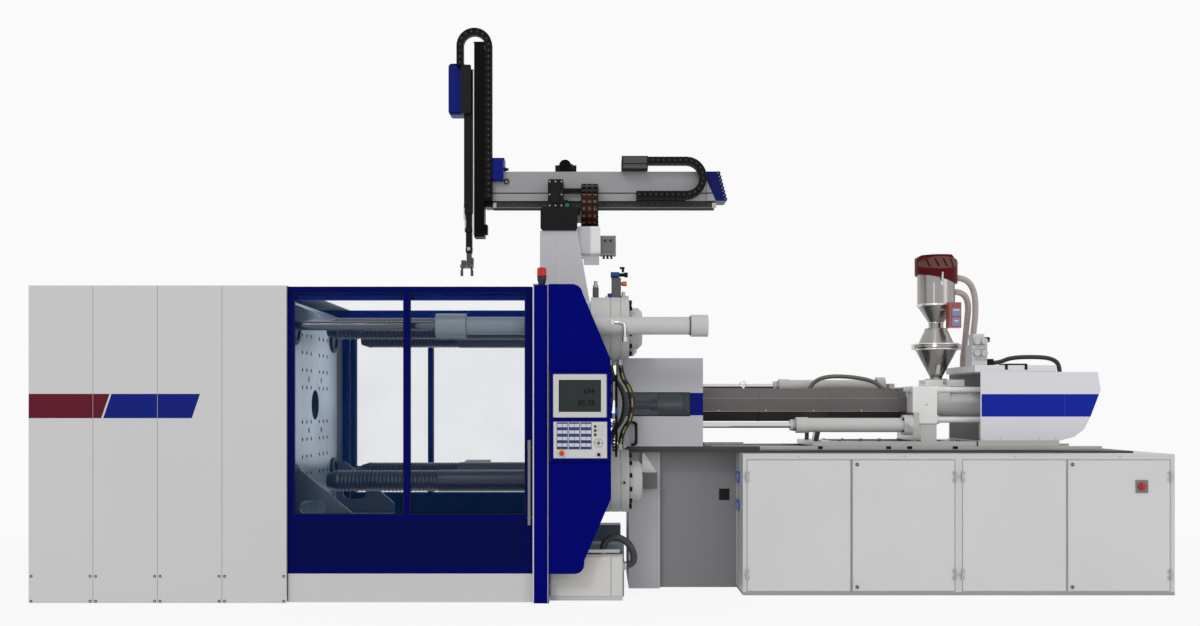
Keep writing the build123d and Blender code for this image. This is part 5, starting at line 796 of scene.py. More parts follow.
# Colours are linear. A zone that isn't bound on an axis reaches FAR.
FAR = (-9000.0, 9000.0)
LIGHT_GREY = (0.57, 0.57, 0.576)
DEEP_BLUE = (0.0, 0.0012, 0.145)
BAND_BLUE = (0.0, 0.008, 0.175)
HOOD_BLUE = (0.0, 0.004, 0.155)
REAR_BLUE = (0.0, 0.012, 0.32)
MAROON = (0.105, 0.004, 0.018)
BLACK = (0.006, 0.006, 0.007)
STEEL = (0.42, 0.42, 0.41)
HINGE_GREY = (0.42, 0.42, 0.44)
GUSSET_DARK = (0.07, 0.08, 0.095)

LIGHT_PAINT = Finish("light_grey_paint", LIGHT_GREY, 0.42)
COVER_PAINT = Finish(
    "cover_paint", LIGHT_GREY, 0.42, uneven=0.03, gloss=0.15,
    zones=(
        Zone((-4400, -3660), (-1200, -1139), (1368, 1548), MAROON, 0.4, slant=0.34),
        Zone((-3646, -2990), (-1200, -1139), (1368, 1548), BAND_BLUE, 0.4, slant=0.34),
    ),
)
BLUE_PAINT = Finish("deep_blue_paint", DEEP_BLUE, 0.38, gloss=0.03, relief=0.05)
COLUMN_PAINT = Finish(
    "column_paint", DEEP_BLUE, 0.38, gloss=0.03, relief=0.05,
    zones=(Zone((-498, -488.5), FAR, FAR, (0.62, 0.62, 0.6), 0.5),),
)
HOUSING_PAINT = Finish(
    "housing_paint", DEEP_BLUE, 0.38, gloss=0.03, relief=0.05,
    zones=(
        Zone((84, 135), FAR, FAR, BLACK, 0.4),
        Zone((110, 130), (-1300, -1092), (1385, 1450), (0.02, 0.07, 0.3), 0.4),
    ),
)
FRAME_PAINT = Finish(
    "door_frame_paint", (0.0, 0.0015, 0.09), 0.3, gloss=0.04, relief=0.04,
    zones=(Zone((-2273, -552), FAR, (262, 609), (0.0, 0.002, 0.06), 0.22),),
)
BED_PAINT = Finish("bed_paint", (0.2, 0.25, 0.32), 0.5)
WHITE_PAINT = Finish("white_paint", (0.5, 0.5, 0.49), 0.4, slot="white_paint")
TRAVEL_PAINT = Finish(
    "travel_cylinder_paint", (0.5, 0.5, 0.49), 0.4,
    # Painted shade: the cylinders' part inside the guard is darker and bluer, as it looks through the door
    # panes.
    zones=(Zone((-1300, -540), FAR, FAR, (0.2, 0.24, 0.26), 0.35),),
)
PLATEN = Finish(
    "milled_platen", (0.42, 0.51, 0.6), 0.34, 0.7, Grain.MILLED, 0.2, 0.05,
    zones=(
        # Painted shade: the central bore of the moving platen darkened to near black.
        Zone((-2800, -2389), (-130, 130), (1340, 1600), (0.01, 0.01, 0.012), 0.5),
        Zone((-2380, -1300), (-790, -730), (400, 1000), GUSSET_DARK, 0.4, 0.3),
        Zone((-2380, -1300), (730, 790), (400, 1000), GUSSET_DARK, 0.4, 0.3),
    ),
)
MACHINED = Finish("machined_steel", STEEL, 0.34, 0.85, Grain.BRUSHED_X, slot="machined")
CHROME = Finish("hard_chrome", (0.62, 0.63, 0.64), 0.14, 1.0, Grain.BRUSHED_X, 0.02, 0.02, slot="chromed")
# Painted reflection: the tie bars and lock halves are near-black in place of bright steel, for the dark
# reflections they show.
TIE_STEEL = Finish(
    "tie_bar_steel_dark_reflection", (0.035, 0.036, 0.04), 0.3, 0.6, Grain.BRUSHED_X, 0.1, gloss=0.4
)
# Painted reflection: the travel rods' chrome is dark in place of bright chrome, for the dark reflections it
# shows.
ROD_STEEL = Finish("dark_rod_chrome", (0.1, 0.105, 0.11), 0.2, 0.9, Grain.BRUSHED_X, 0.05)
HANDLE_STEEL = Finish("handle_steel", (0.2, 0.205, 0.22), 0.28, 0.9, Grain.BRUSHED_Z, slot="chromed")
# Painted shade: near-black sleeves and rims in the platens' holes stand for the shade inside them.
HOLE_DARK = Finish("hole_shade_rim", (0.02, 0.022, 0.025), 0.4, 0.5, slot="machined")
STAINLESS = Finish("brushed_stainless", (0.5, 0.49, 0.47), 0.27, 1.0, Grain.BRUSHED_Z, slot="stainless")
DECK = Finish(
    "dark_stainless_deck", (0.065, 0.06, 0.06), 0.5, 0.3, Grain.BRUSHED_X, 0.08, gloss=0.15,
    zones=(
        Zone(FAR, (-362, -298), (1105, 1140), STEEL, 0.25, 1.0),
        Zone(FAR, (298, 362), (1105, 1140), STEEL, 0.25, 1.0),
    ),
)
BARREL_COVER = Finish(
    "heat_toned_cover", (0.13, 0.116, 0.116), 0.36, 0.5, Grain.BRUSHED_X, 0.1, gloss=0.3,
    zones=(Zone((1150, 1250), FAR, (1606.5, 1760), (0.8, 0.8, 0.8), 0.15, 1.0),),
)
HOOD_PAINT = Finish(
    "hood_paint", (0.46, 0.46, 0.485), 0.42, gloss=0.1,
    zones=(
        Zone((716, 830), (-900, -540), (1385, 1563), HOOD_BLUE, 0.4),
        Zone((270, 304), (-800, -547), (1140, 1350), BLACK, 0.35),
    ),
)
REAR_PAINT = Finish(
    "rear_cover_paint", (0.68, 0.68, 0.71), 0.4, uneven=0.03, gloss=0.15,
    zones=(
        Zone((3060, 4100), (-900, -419), (1374, 1555), REAR_BLUE, 0.4),
        Zone((3040, 3190), (-190, -10), (1788.5, 2100), (0.62, 0.62, 0.63), 0.45),
        Zone((3184, 3260), (-190, -10), (1788.5, 2100), BLACK, 0.45),
    ),
)
HOPPER_STEEL = Finish(
    "hopper_steel", (0.32, 0.305, 0.295), 0.22, 1.0, Grain.BRUSHED_Z, 0.12,
    zones=(Zone((2850, 2970), (-400, -129), (2102, 2311), (0.3, 0.06, 0.06), 0.45),),
)
CAP_PAINT = Finish("loader_cap_paint", (0.085, 0.005, 0.007), 0.38, grain=Grain.PLASTIC, gloss=0.05)
CABINET_PAINT = Finish(
    "cabinet_paint", (0.55, 0.548, 0.55), 0.42,
    zones=(
        Zone((0, 480.5), FAR, (0, 1086), (0.46, 0.46, 0.49), 0.5),
        # Painted shade: the neck's side right of X 480.5 is darker where shade falls in its inner corner; the
        # zone before it is the neck's own lighter tone.
        Zone((480.5, 1098), FAR, (0, 1086), (0.21, 0.205, 0.215), 0.5),
        Zone((1098, 4430), FAR, (0, 26), (0.3, 0.3, 0.3), 0.6),
        Zone((1098, 4430), (-860, -787.4), (120, 960), HINGE_GREY, 0.35, 0.5),
    ),
)
DOOR_PAINT = Finish(
    "cabinet_door_paint", (0.59, 0.588, 0.596), 0.42,
    zones=(
        Zone((1098, 4430), (-860, -787.4), (120, 200), HINGE_GREY, 0.35, 0.5),
        Zone((1098, 4430), (-860, -787.4), (875, 960), HINGE_GREY, 0.35, 0.5),
        Zone((4122, 4221), (-830, -788), (789, 889), (0.16, 0.16, 0.165), 0.45),
        *(
            Zone(x, (-830, -787.5), z, BLACK, 0.4)
            for x in ((1960, 2000), (3620, 3660)) for z in ((40, 90), (985, 1030))
        ),
    ),
)
SWITCH_RED = Finish(
    "switch_red", (0.5, 0.012, 0.01), 0.35, grain=Grain.PLASTIC,
    zones=(Zone(FAR, (-806, -780), FAR, BLACK, 0.4),),
)
BUTTON_RED = Finish("stop_button_red", (0.52, 0.03, 0.008), 0.35, grain=Grain.PLASTIC)
BEACON = Finish(
    "beacon_lens", (0.55, 0.012, 0.01), 0.3, grain=Grain.PLASTIC,
    zones=(Zone(FAR, FAR, (2300, 2418), BLACK, 0.35),), slot="beacon_plastic",
)
BLACK_PLASTIC = Finish("black_plastic", BLACK, 0.4, grain=Grain.PLASTIC, gloss=0.15, slot="black_plastic")
BLACK_PAINT = Finish("black_satin_paint", BLACK, 0.36, gloss=0.15, slot="black_paint")
CARRIER_BLUE = Finish("panel_carrier_blue", (0.0, 0.0015, 0.165), 0.35, gloss=0.03)
SCREEN_FRAME = Finish(
    "display_frame", (0.56, 0.56, 0.545), 0.45, grain=Grain.PLASTIC, gloss=0.15,
    zones=(Zone((-302.5, 7.5), (-1300, -1218), (1414.5, 1649.5), (0.022, 0.028, 0.03), 0.25),),
)
KEYPAD = Finish(
    "keypad_foil", (0.56, 0.56, 0.545), 0.45, grain=Grain.PLASTIC,
    zones=(
        Zone((-320, -60), (-1300, -1221.5), (1139, 1335), (0.01, 0.022, 0.13), 0.42),
        Zone((-48, -22), (-1300, -1221.5), (1235, 1320), BLACK, 0.35),
    ),
)
ALUMINIUM = Finish("anodised_aluminium", (0.6, 0.6, 0.61), 0.36, 0.5, Grain.BRUSHED_X, slot="aluminium")
BEAM_SKIN = Finish(
    "robot_beam_skin", (0.32, 0.315, 0.33), 0.36, 0.25, Grain.BRUSHED_X, 0.04, gloss=0.12,
    zones=(
        Zone((-900, 960), FAR, (3108, 3162.5), (0.05, 0.05, 0.052), 0.35),
        Zone((-897, 960), (-200, -89.5), (3222, 3232), (0.03, 0.03, 0.03), 0.4),
        Zone((-1000, -895), FAR, FAR, BLACK, 0.35),
        Zone((-894.5, -790), FAR, (3406.5, 3600), (0.002, 0.014, 0.2), 0.35),
        Zone((170, 900), (-200, -101.5), (3160, 3520), (0.009, 0.009, 0.01), 0.45),
        Zone((170, 400), (-200, 120), (3406.5, 3520), (0.009, 0.009, 0.01), 0.45),
        Zone((915, 1100), (-700, 700), (3120, 3406.5), (0.002, 0.006, 0.1), 0.35, slant=-0.45),
    ),
)
TRAVERSE_SKIN = Finish(
    "traverse_skin", (0.4, 0.4, 0.41), 0.36, 0.4, Grain.BRUSHED_Y, 0.03, gloss=0.1,
    zones=(Zone((-500, -170), (-700, -589.5), FAR, (0.008, 0.008, 0.009), 0.35),),
)
CARRIAGE_SKIN = Finish("robot_carriage_black", (0.008, 0.008, 0.009), 0.36, gloss=0.12)
MAST_SKIN = Finish("mast_black", (0.003, 0.003, 0.0033), 0.38, gloss=0.05, slot="black_paint")
ARM_SKIN = Finish(
    "arm_grey", (0.012, 0.012, 0.014), 0.34, 0.3, Grain.BRUSHED_Z, gloss=0.1,
    zones=(Zone((-1270, -1126.5), FAR, (3870, 4310), (0.002, 0.01, 0.13), 0.34),),
)
WRIST_SKIN = Finish("wrist_metal", (0.07, 0.07, 0.075), 0.3, 0.7, Grain.BRUSHED_X, slot="aluminium")
PEDESTAL_PAINT = Finish(
    "pedestal_paint", (0.47, 0.465, 0.495), 0.42,
    zones=(
        Zone((-76, 4), (-570, -370), (2664, 2880), (0.78, 0.78, 0.78), 0.45),
        Zone((3.5, 130), FAR, FAR, (0.2, 0.2, 0.21), 0.45),
    ),
)
SERVICE_PAINT = Finish(
    "service_paint", (0.5, 0.5, 0.5), 0.45,
    zones=(
        Zone((-75, 160), (-430, -170), (2175, 2301), (0.28, 0.29, 0.3), 0.35, 0.6),
        Zone((55, 115), (-430, -170), (2300.5, 2380), (0.002, 0.03, 0.3), 0.35),
        Zone((130.5, 160), (-430, -170), FAR, (0.65, 0.13, 0.01), 0.4),
        Zone((330, 460), (-560, -430), (800, 935), (0.09, 0.09, 0.095), 0.45),
    ),
)
PANES = Pane("tinted_pane", (0.0, 0.08, 0.3), 0.055)
HOOD_PANE = Pane("hood_pane", (0.03, 0.05, 0.07), 0.34)
BLACK_HOSE = HoseFinish(
    "black_hose", (0.006, 0.006, 0.0065), (0.014, 0.014, 0.015), 90.0, (0.55, 0.42, 0.03)
)
DRAIN_HOSE = HoseFinish("black_suction_hose", (0.006, 0.006, 0.0065), (0.05, 0.05, 0.052), 70.0)
CLEAR_HOSE = HoseFinish("spiral_hose", (0.3, 0.24, 0.22), (0.66, 0.57, 0.55), 70.0, alpha=0.82)
BROWN_HOSE = HoseFinish("brown_sleeve", (0.1, 0.085, 0.07), (0.2, 0.17, 0.14), 160.0)
CABLE = HoseFinish("black_cable", (0.005, 0.005, 0.0055), (0.02, 0.02, 0.021), 120.0)
CHAIN_BLACK = Finish(
    "chain_black", (0.006, 0.006, 0.0065), 0.42, grain=Grain.PLASTIC, gloss=0.1, slot="black_plastic"
)
CHAIN_PIN = Finish("chain_pin", (0.05, 0.05, 0.055), 0.35, grain=Grain.PLASTIC, slot="black_plastic")
ORANGE = Finish("chain_insert_orange", (0.62, 0.2, 0.05), 0.45, grain=Grain.PLASTIC, slot="black_plastic")
# Painted light: a lit copy of the white paint, brighter than WHITE_PAINT to make up for the shade that falls
# on these parts.
LIT_WHITE_PAINT = Finish("lit_white_paint", (0.74, 0.74, 0.73), 0.36)
DARK_LID = Finish("dark_box_lid", (0.13, 0.13, 0.14), 0.42)
WHITE_LID = Finish("white_box_lid", (0.74, 0.74, 0.74), 0.42)
CONNECTOR_GREEN = Finish("connector_green", (0.0, 0.12, 0.07), 0.4, grain=Grain.PLASTIC, slot="black_plastic")
MOTOR_BLUE = Finish("motor_blue", (0.001, 0.007, 0.18), 0.35, gloss=0.12, slot="blue_paint")
CAP_BLUE = Finish("cap_blue", (0.001, 0.008, 0.12), 0.35, gloss=0.12, slot="blue_paint")
ANCHOR_GREY = Finish("anchor_grey", (0.045, 0.045, 0.047), 0.4, grain=Grain.PLASTIC, slot="dark_grey_paint")
DARK_RING = Finish("dark_ring", (0.12, 0.11, 0.105), 0.4, 0.5, slot="dark_grey_paint")
VALVE_GREY = Finish("valve_grey", (0.1, 0.1, 0.105), 0.42, 0.4, Grain.CAST, slot="machined")
COIL_BLUE = Finish("coil_blue", (0.002, 0.06, 0.32), 0.38, grain=Grain.PLASTIC, slot="blue_paint")
CAP_ORANGE = Finish("cap_orange", (0.6, 0.17, 0.05), 0.4, grain=Grain.PLASTIC, slot="red_plastic")
CREAM_PAINT = Finish("cream_paint", (0.6, 0.59, 0.55), 0.45)
DARK_INSERT = Finish("dark_insert", (0.03, 0.03, 0.032), 0.4, 0.8, slot="machined")
JOINT_GREY = Finish("joint_grey", (0.3, 0.3, 0.3), 0.5, slot="dark_grey_paint")
EDGE_LIGHT = Finish("edge_light", (0.36, 0.37, 0.42), 0.4)
TAN = Finish("tan_tag", (0.42, 0.27, 0.1), 0.45, grain=Grain.PLASTIC, slot="maroon_plastic")
CONNECTOR_GREY = Finish("connector_grey", (0.36, 0.36, 0.37), 0.42, grain=Grain.PLASTIC)
DIGIT_DARK = Finish("screen_digits", (0.004, 0.004, 0.004), 0.5, gloss=0.1, slot="screen_plastic")
KEY_WHITE = Finish("key_caps", (0.55, 0.56, 0.62), 0.4, grain=Grain.PLASTIC, gloss=0.2, slot="white_plastic")
KEY_BLUE = Finish("key_foil_blue", (0.01, 0.022, 0.13), 0.42, grain=Grain.PLASTIC, slot="blue_paint")
YELLOW = Finish("stop_yellow", (0.62, 0.33, 0.01), 0.4, grain=Grain.PLASTIC, slot="red_plastic")
EDGE_STEEL = Finish("edge_steel", (0.36, 0.35, 0.34), 0.3, 0.9, Grain.BRUSHED_X, slot="machined")
STRAP_STEEL = Finish("strap_steel", (0.13, 0.118, 0.112), 0.4, 0.85, Grain.BRUSHED_Z, slot="cover_steel")
STRIPE_EDGE = Finish("stripe_edge", (0.03, 0.07, 0.4), 0.4, slot="blue_paint")
SOCKET_BLUE = Finish("socket_blue", (0.01, 0.1, 0.4), 0.4, grain=Grain.PLASTIC, slot="blue_paint")
RIM_STEEL = Finish("rolled_rim_steel", (0.72, 0.71, 0.7), 0.24, 0.9, Grain.BRUSHED_Z, slot="stainless")
SIGHT_WHITE = Finish("sight_pane", (0.62, 0.62, 0.62), 0.3, grain=Grain.PLASTIC, slot="white_plastic")
CAP_BROWN = Finish(
    "cap_crown_brown", (0.14, 0.055, 0.045), 0.45, grain=Grain.PLASTIC, gloss=0.1, slot="maroon_plastic"
)
CAP_SLOT = Finish(
    "cap_slot_dark", (0.02, 0.004, 0.004), 0.5, grain=Grain.PLASTIC, gloss=0.1, slot="maroon_plastic"
)
PANEL_BLUE = Finish("control_panel_blue", (0.22, 0.23, 0.36), 0.42, grain=Grain.PLASTIC, gloss=0.15)


def lattice(x: Sequence[float], y: Sequence[float], z: Sequence[float]) -> np.ndarray:
    """Every combination of places along X, Y and Z, in metres, one row each."""
    return np.stack(np.meshgrid(x, y, z, indexing="ij"), axis=-1).reshape(-1, 3) * MM


def at_x(x: float, pairs: Sequence[Span]) -> np.ndarray:
    """Places with one X and the Y and Z of each pair, in metres."""
    return np.array([(x, y, z) for y, z in pairs]) * MM


def screw(axis: Axis, out: float, radius: float = 7.0, height: float = 4.0) -> Shape:
    """Socket screw's head: a turned profile of rim, chamfer and recess, in shares of radius and height.

    Args:
        axis: Axis of the screw.
        out: 1 or -1, the way its top looks along the axis.
        radius: Radius of the head in millimetres.
        height: Height of the head in millimetres.

    Returns:
        The head, its foot at the origin.
    """
    shares = ((0, 1), (0.75, 1), (1, 0.86), (1, 0.5), (0.4, 0.45))
    turned = [(out * height * up, radius * size) for up, size in shares]
    return lathe(turned if out > 0 else turned[::-1], axis, count=12)


@dataclass
class SubAssembly:
    """Part of the machine: its steps dress its CAD nodes and build its pieces."""

    shop: Workshop

    def steps(self) -> Steps:
        """Methods that dress and build the sub-assembly, in order."""
        raise NotImplementedError

    def build(self) -> None:
        """Take every step."""
        for step in self.steps():
            step()

    def front_screws(
        self, name: str, spots: np.ndarray, body: str, radius: float = 7.0, height: float = 4.0,
        finish: Finish = MACHINED, slot: str = "machined",
    ) -> None:
        """Socket screws whose heads look towards the operator.

        Args:
            name: Name of the piece.
            spots: Their places in metres.
            body: CAD body that they ride on.
            radius: Radius of the heads in millimetres.
            height: Height of the heads in millimetres.
            finish: Their finish.
            slot: The record's material slot.
        """
        self.shop.add(name, screw(Axis.Y, -1, radius, height).copies(spots), finish, body, slot=slot)


@dataclass
class Hose:
    """Hose or cable on one smooth line."""

    name: str
    route: tuple[Point, ...]
    diameter: float
    finish: HoseFinish
    body: str
    slot: str
    node: str
    stiffness: str = "stiff"

    def build(self, shop: Workshop) -> None:
        """Args:
            shop: Maker of the pieces.
        """
        points = spline(np.array(self.route) * MM)
        shape = tube(points, self.diameter / 2 * MM, 20)
        hose = shop.add(self.name, shape, self.finish, self.body, slot=self.slot)
        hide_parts(self.node)


@dataclass
class HoseSet(SubAssembly):
    """All hoses and cables, on the routes of the CAD model, in millimetres."""

    pressure_dia: float = 40.0
    drain_dia: float = 52.0
    material_dia: float = 50.0
    cable_dia: float = 36.0

    def build(self) -> None:
        """Build every hose."""
        for hose in (*self.hydraulic(), *self.material()):
            hose.build(self.shop)

    def hydraulic(self) -> tuple[Hose, ...]:
        """Hoses of the clamp unit.

        Returns:
            The hoses.
        """
        fixed = ("root", "hose_rubber", "hydraulic_hoses")
        return (
            Hose(
                "pressure_hose_outer",
                (
                    (80, -650, 1822.7), (80, -650, 1697.7), (190, -800, 1572.7),
                    (190, -800, 1367.3), (80, -650, 1242.3), (80, -650, 1117.3),
                ),
                self.pressure_dia, BLACK_HOSE, *fixed,
            ),
            Hose(
                "pressure_hose_inner",
                (
                    (160, -650, 1822.7), (160, -650, 1697.7), (250, -715, 1572.7),
                    (250, -715, 1367.3), (160, -650, 1242.3), (160, -650, 1117.3),
                ),
                self.pressure_dia, BLACK_HOSE, *fixed,
            ),
            Hose(
                "return_hose",
                (
                    (30, -300, 2180), (30, -300, 1950), (90, -360, 1800),
                    (90, -360, 1450), (40, -330, 1250), (-70, -330, 1250),
                ),
                self.pressure_dia, BLACK_HOSE, *fixed,
            ),
            Hose(
                "drain_hose",
                (
                    (20, -940, 341), (20, -940, 425), (110, -955, 480), (215, -965, 430),
                    (262, -955, 330), (245, -940, 250), (171, -940, 250),
                ),
                self.drain_dia, DRAIN_HOSE, *fixed,
            ),
        )

    def material(self) -> tuple[Hose, ...]:
        """Hoses and cables that travel with the injection unit.

        Returns:
            The hoses and cables.
        """
        moving = ("carriage", "hose_clear", "material_hoses")
        return (
            Hose(
                "vacuum_hose",
                (
                    (2989.8, 0, 2532), (3060, 0, 2532), (3150, 40, 2440), (3170, 60, 2250),
                    (3150, 80, 2050), (3160, 100, 1900), (3160, 100, 1788),
                ),
                self.material_dia, CLEAR_HOSE, *moving,
            ),
            Hose(
                "material_hose",
                (
                    (2969.8, 0, 2415), (3040, 0, 2415), (3110, 60, 2330), (3120, 150, 2150),
                    (3110, 180, 1950), (3100, 190, 1870), (3100, 190, 1788),
                ),
                self.material_dia, CLEAR_HOSE, *moving,
            ),
            Hose(
                "valve_cable",
                (
                    (3245, -100, 1818), (3310, -100, 1818), (3400, -125, 1862), (3620, -140, 1866),
                    (3740, -140, 1850), (3800, -130, 1800), (3800, -130, 1733.5),
                ),
                self.cable_dia, CABLE, *moving,
            ),
            Hose(
                "cylinder_lead",
                (
                    (2535, 235, 1580), (2450, 235, 1580), (2350, 262, 1690), (1960, 285, 1730),
                    (1800, 310, 1640), (1790, 320, 1400), (1790, 320, 1175),
                ),
                self.cable_dia, BROWN_HOSE, *moving,
            ),
        )


@dataclass
class Studio:
    """Camera, lamps, backdrop and floor."""

    camera_place: Point = (0.0, -9.740, 1.443)
    lens: float = 34.865
    shift: float = 0.0792
    backdrop: float = 0.955
    daylight: float = 0.72
    floor_half: float = 30.0
    fade_start: float = 5.5
    fade_end: float = 9.0
    floor_glow: float = 0.93

    def build(self) -> None:
        """Set up the whole studio."""
        self.camera()
        self.world()
        self.floor()
        self.lamp("key_light", (-4.0, -9.0, 9.0), (0.0, 0.0, 1.0), 0.62, 12.0)
        self.lamp("fill_light", (7.0, -7.0, 4.0), (0.5, 0.0, 1.2), 0.3, 25.0)
        bpy.context.scene.view_settings.view_transform = "Standard"

    def camera(self) -> None:
        """Camera that looks level along +Y, at the photograph's place."""
        lens = bpy.data.cameras.new("camera")
        lens.lens = self.lens
        lens.sensor_width = 36.0
        lens.shift_y = self.shift
        lens.clip_end = 200.0
        camera = bpy.data.objects.new("camera", lens)
        camera.location = self.camera_place
        camera.rotation_euler = (np.pi / 2, 0.0, 0.0)
        bpy.context.scene.collection.objects.link(camera)
        bpy.context.scene.camera = camera

    def lamp(self, name: str, place: Point, target: Point, strength: float, spread: float) -> None:
        """Soft sun that shines from a place towards a target.

        Args:
            name: Name of the lamp.
            place: Where it shines from.
            target: Where it shines to.
            strength: Its strength.
            spread: Its angle in degrees, which softens the shadows.
        """
        light = bpy.data.lights.new(name, "SUN")
        light.energy = strength
        light.angle = np.radians(spread)
        lamp = bpy.data.objects.new(name, light)
        x, y, z = np.subtract(target, place)
        lamp.rotation_euler = (np.arctan2(np.hypot(x, y), -z), 0.0, np.arctan2(x, -y) + np.pi)
        lamp.location = place
        bpy.context.scene.collection.objects.link(lamp)

    def world(self) -> None:
        """White backdrop for what the camera sees, and an even grey light for the surfaces."""
        world = bpy.data.worlds.new("studio")
        bpy.context.scene.world = world
        sheet = Sheet("studio", world)
        seen = seen_directly(sheet)
        strength = seen * self.backdrop + (1 - seen) * self.daylight
        inputs = {"Color": (1.0, 1.0, 1.0, 1.0), "Strength": strength}
        shader = sheet.node("ShaderNodeBackground", None, inputs)
        sheet.node("ShaderNodeOutputWorld", inputs={"Surface": shader})

    def floor(self) -> None:
        """White floor that keeps the machine's shadow and fades into the backdrop far out."""
        sheet = Sheet("floor")
        x, y, _ = sheet.parts(sheet.place())
        far = sheet.node("ShaderNodeMath", {"operation": "SQRT"}, {0: x * x + y * y})
        fade = ((far - self.fade_start) / (self.fade_end - self.fade_start)).kept()
        grain = sheet.noise(sheet.place(), 3.0)
        tone = sheet.blend(grain, (0.93, 0.93, 0.93), (0.95, 0.95, 0.95))
        paint = sheet.node("ShaderNodeBsdfDiffuse", None, {"Color": tone})
        white = (self.backdrop,) * 3 + (1.0,)
        glow = sheet.node("ShaderNodeEmission", None, {"Color": white, "Strength": 1.0})
        factor = seen_directly(sheet) * (fade * (1 - self.floor_glow) + self.floor_glow)
        sheet.close(sheet.node("ShaderNodeMixShader", None, {0: factor, 1: paint, 2: glow}))
        half = self.floor_half
        corners = np.array(((-half, -half, 0), (half, -half, 0), (half, half, 0), (-half, half, 0)))
        mesh = bpy.data.meshes.new("floor")
        mesh.from_pydata((corners - (0, 0, 0.001)).tolist(), [], [(0, 1, 2, 3)])
        mesh.materials.append(sheet.material)
        floor = bpy.data.objects.new("floor", mesh)
        bpy.context.scene.collection.objects.link(floor)
        floor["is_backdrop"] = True


def seen_directly(sheet: Sheet) -> Sock:
    """1 for rays from the camera, from a mirror-like surface or through glass, else 0.

    Args:
        sheet: The sheet of nodes.

    Returns:
        The socket.
    """
    path = sheet.node("ShaderNodeLightPath", output="Is Camera Ray")
    outputs = path.value.node.outputs
    mirror, glass = Sock(sheet, outputs["Is Glossy Ray"]), Sock(sheet, outputs["Is Transmission Ray"])
    return (path + mirror + glass).kept()


@dataclass
class LinkChain:
    """Energy chain round a half circle: a side plate with a pin head at every link."""

    name: str
    body: str
    run: Axis
    rise: Axis
    centre: Span
    radius: float
    starts: Span
    sides: tuple[Span, ...]
    height: float = 58.0
    signs: Span = (1.0, 1.0)
    pitch: float = 46.0
    plate: float = 4.0

    def frames(self) -> tuple[np.ndarray, np.ndarray]:
        """Places and directions of the links in the chain's plane.

        Up to the bend a place is start + s; on it the angle is s / radius; past it the run returns.

        Returns:
            Places in millimetres and unit directions, by run and rise.
        """
        low, high = self.centre[0] - self.starts[0], self.centre[0] - self.starts[1]
        bend = np.pi * self.radius
        s = np.arange(self.pitch / 2, low + bend + high, self.pitch)
        angle = np.clip((s - low) / self.radius, 0.0, np.pi)
        straight = np.minimum(s - low, 0.0) - np.maximum(s - low - bend, 0.0)
        run = self.centre[0] + straight + self.radius * np.sin(angle)
        rise = self.centre[1] - self.radius * np.cos(angle)
        return np.stack((run, rise), 1), np.stack((np.cos(angle), np.sin(angle)), 1)

    def build(self, shop: Workshop) -> None:
        """Lay the links along the chain and dress them.

        Args:
            shop: Maker of the pieces.
        """
        flat, ways = self.frames()
        run, rise = self.run.value[0], self.rise.value[0]
        side = 3 - run - rise
        half, reach = self.height / 2 - 2, self.pitch * 0.46
        plate = prism(rounded((-half, half), (-reach, reach), 8, 3), Axis.Y, (0, self.plate), 1)
        pin = lathe(((0, 5.5), (self.plate + 1.5, 5.5), (self.plate + 2.5, 3.5)), Axis.Y, count=8)
        for number, (level, out) in enumerate(self.sides):
            centres, forward, across = (np.zeros((len(flat), 3)) for _ in range(3))
            centres[:, [run, rise]] = flat * self.signs
            forward[:, [run, rise]] = ways * self.signs
            centres[:, side] = level
            across[:, side] = out
            for kind, shape, finish in (("links", plate, CHAIN_BLACK), ("pins", pin, CHAIN_PIN)):
                placed = shape.placed(centres * MM, forward, across)
                name = f"{self.name}_{kind}_{number}"
                shop.add(name, placed, finish, self.body, sharp=30)


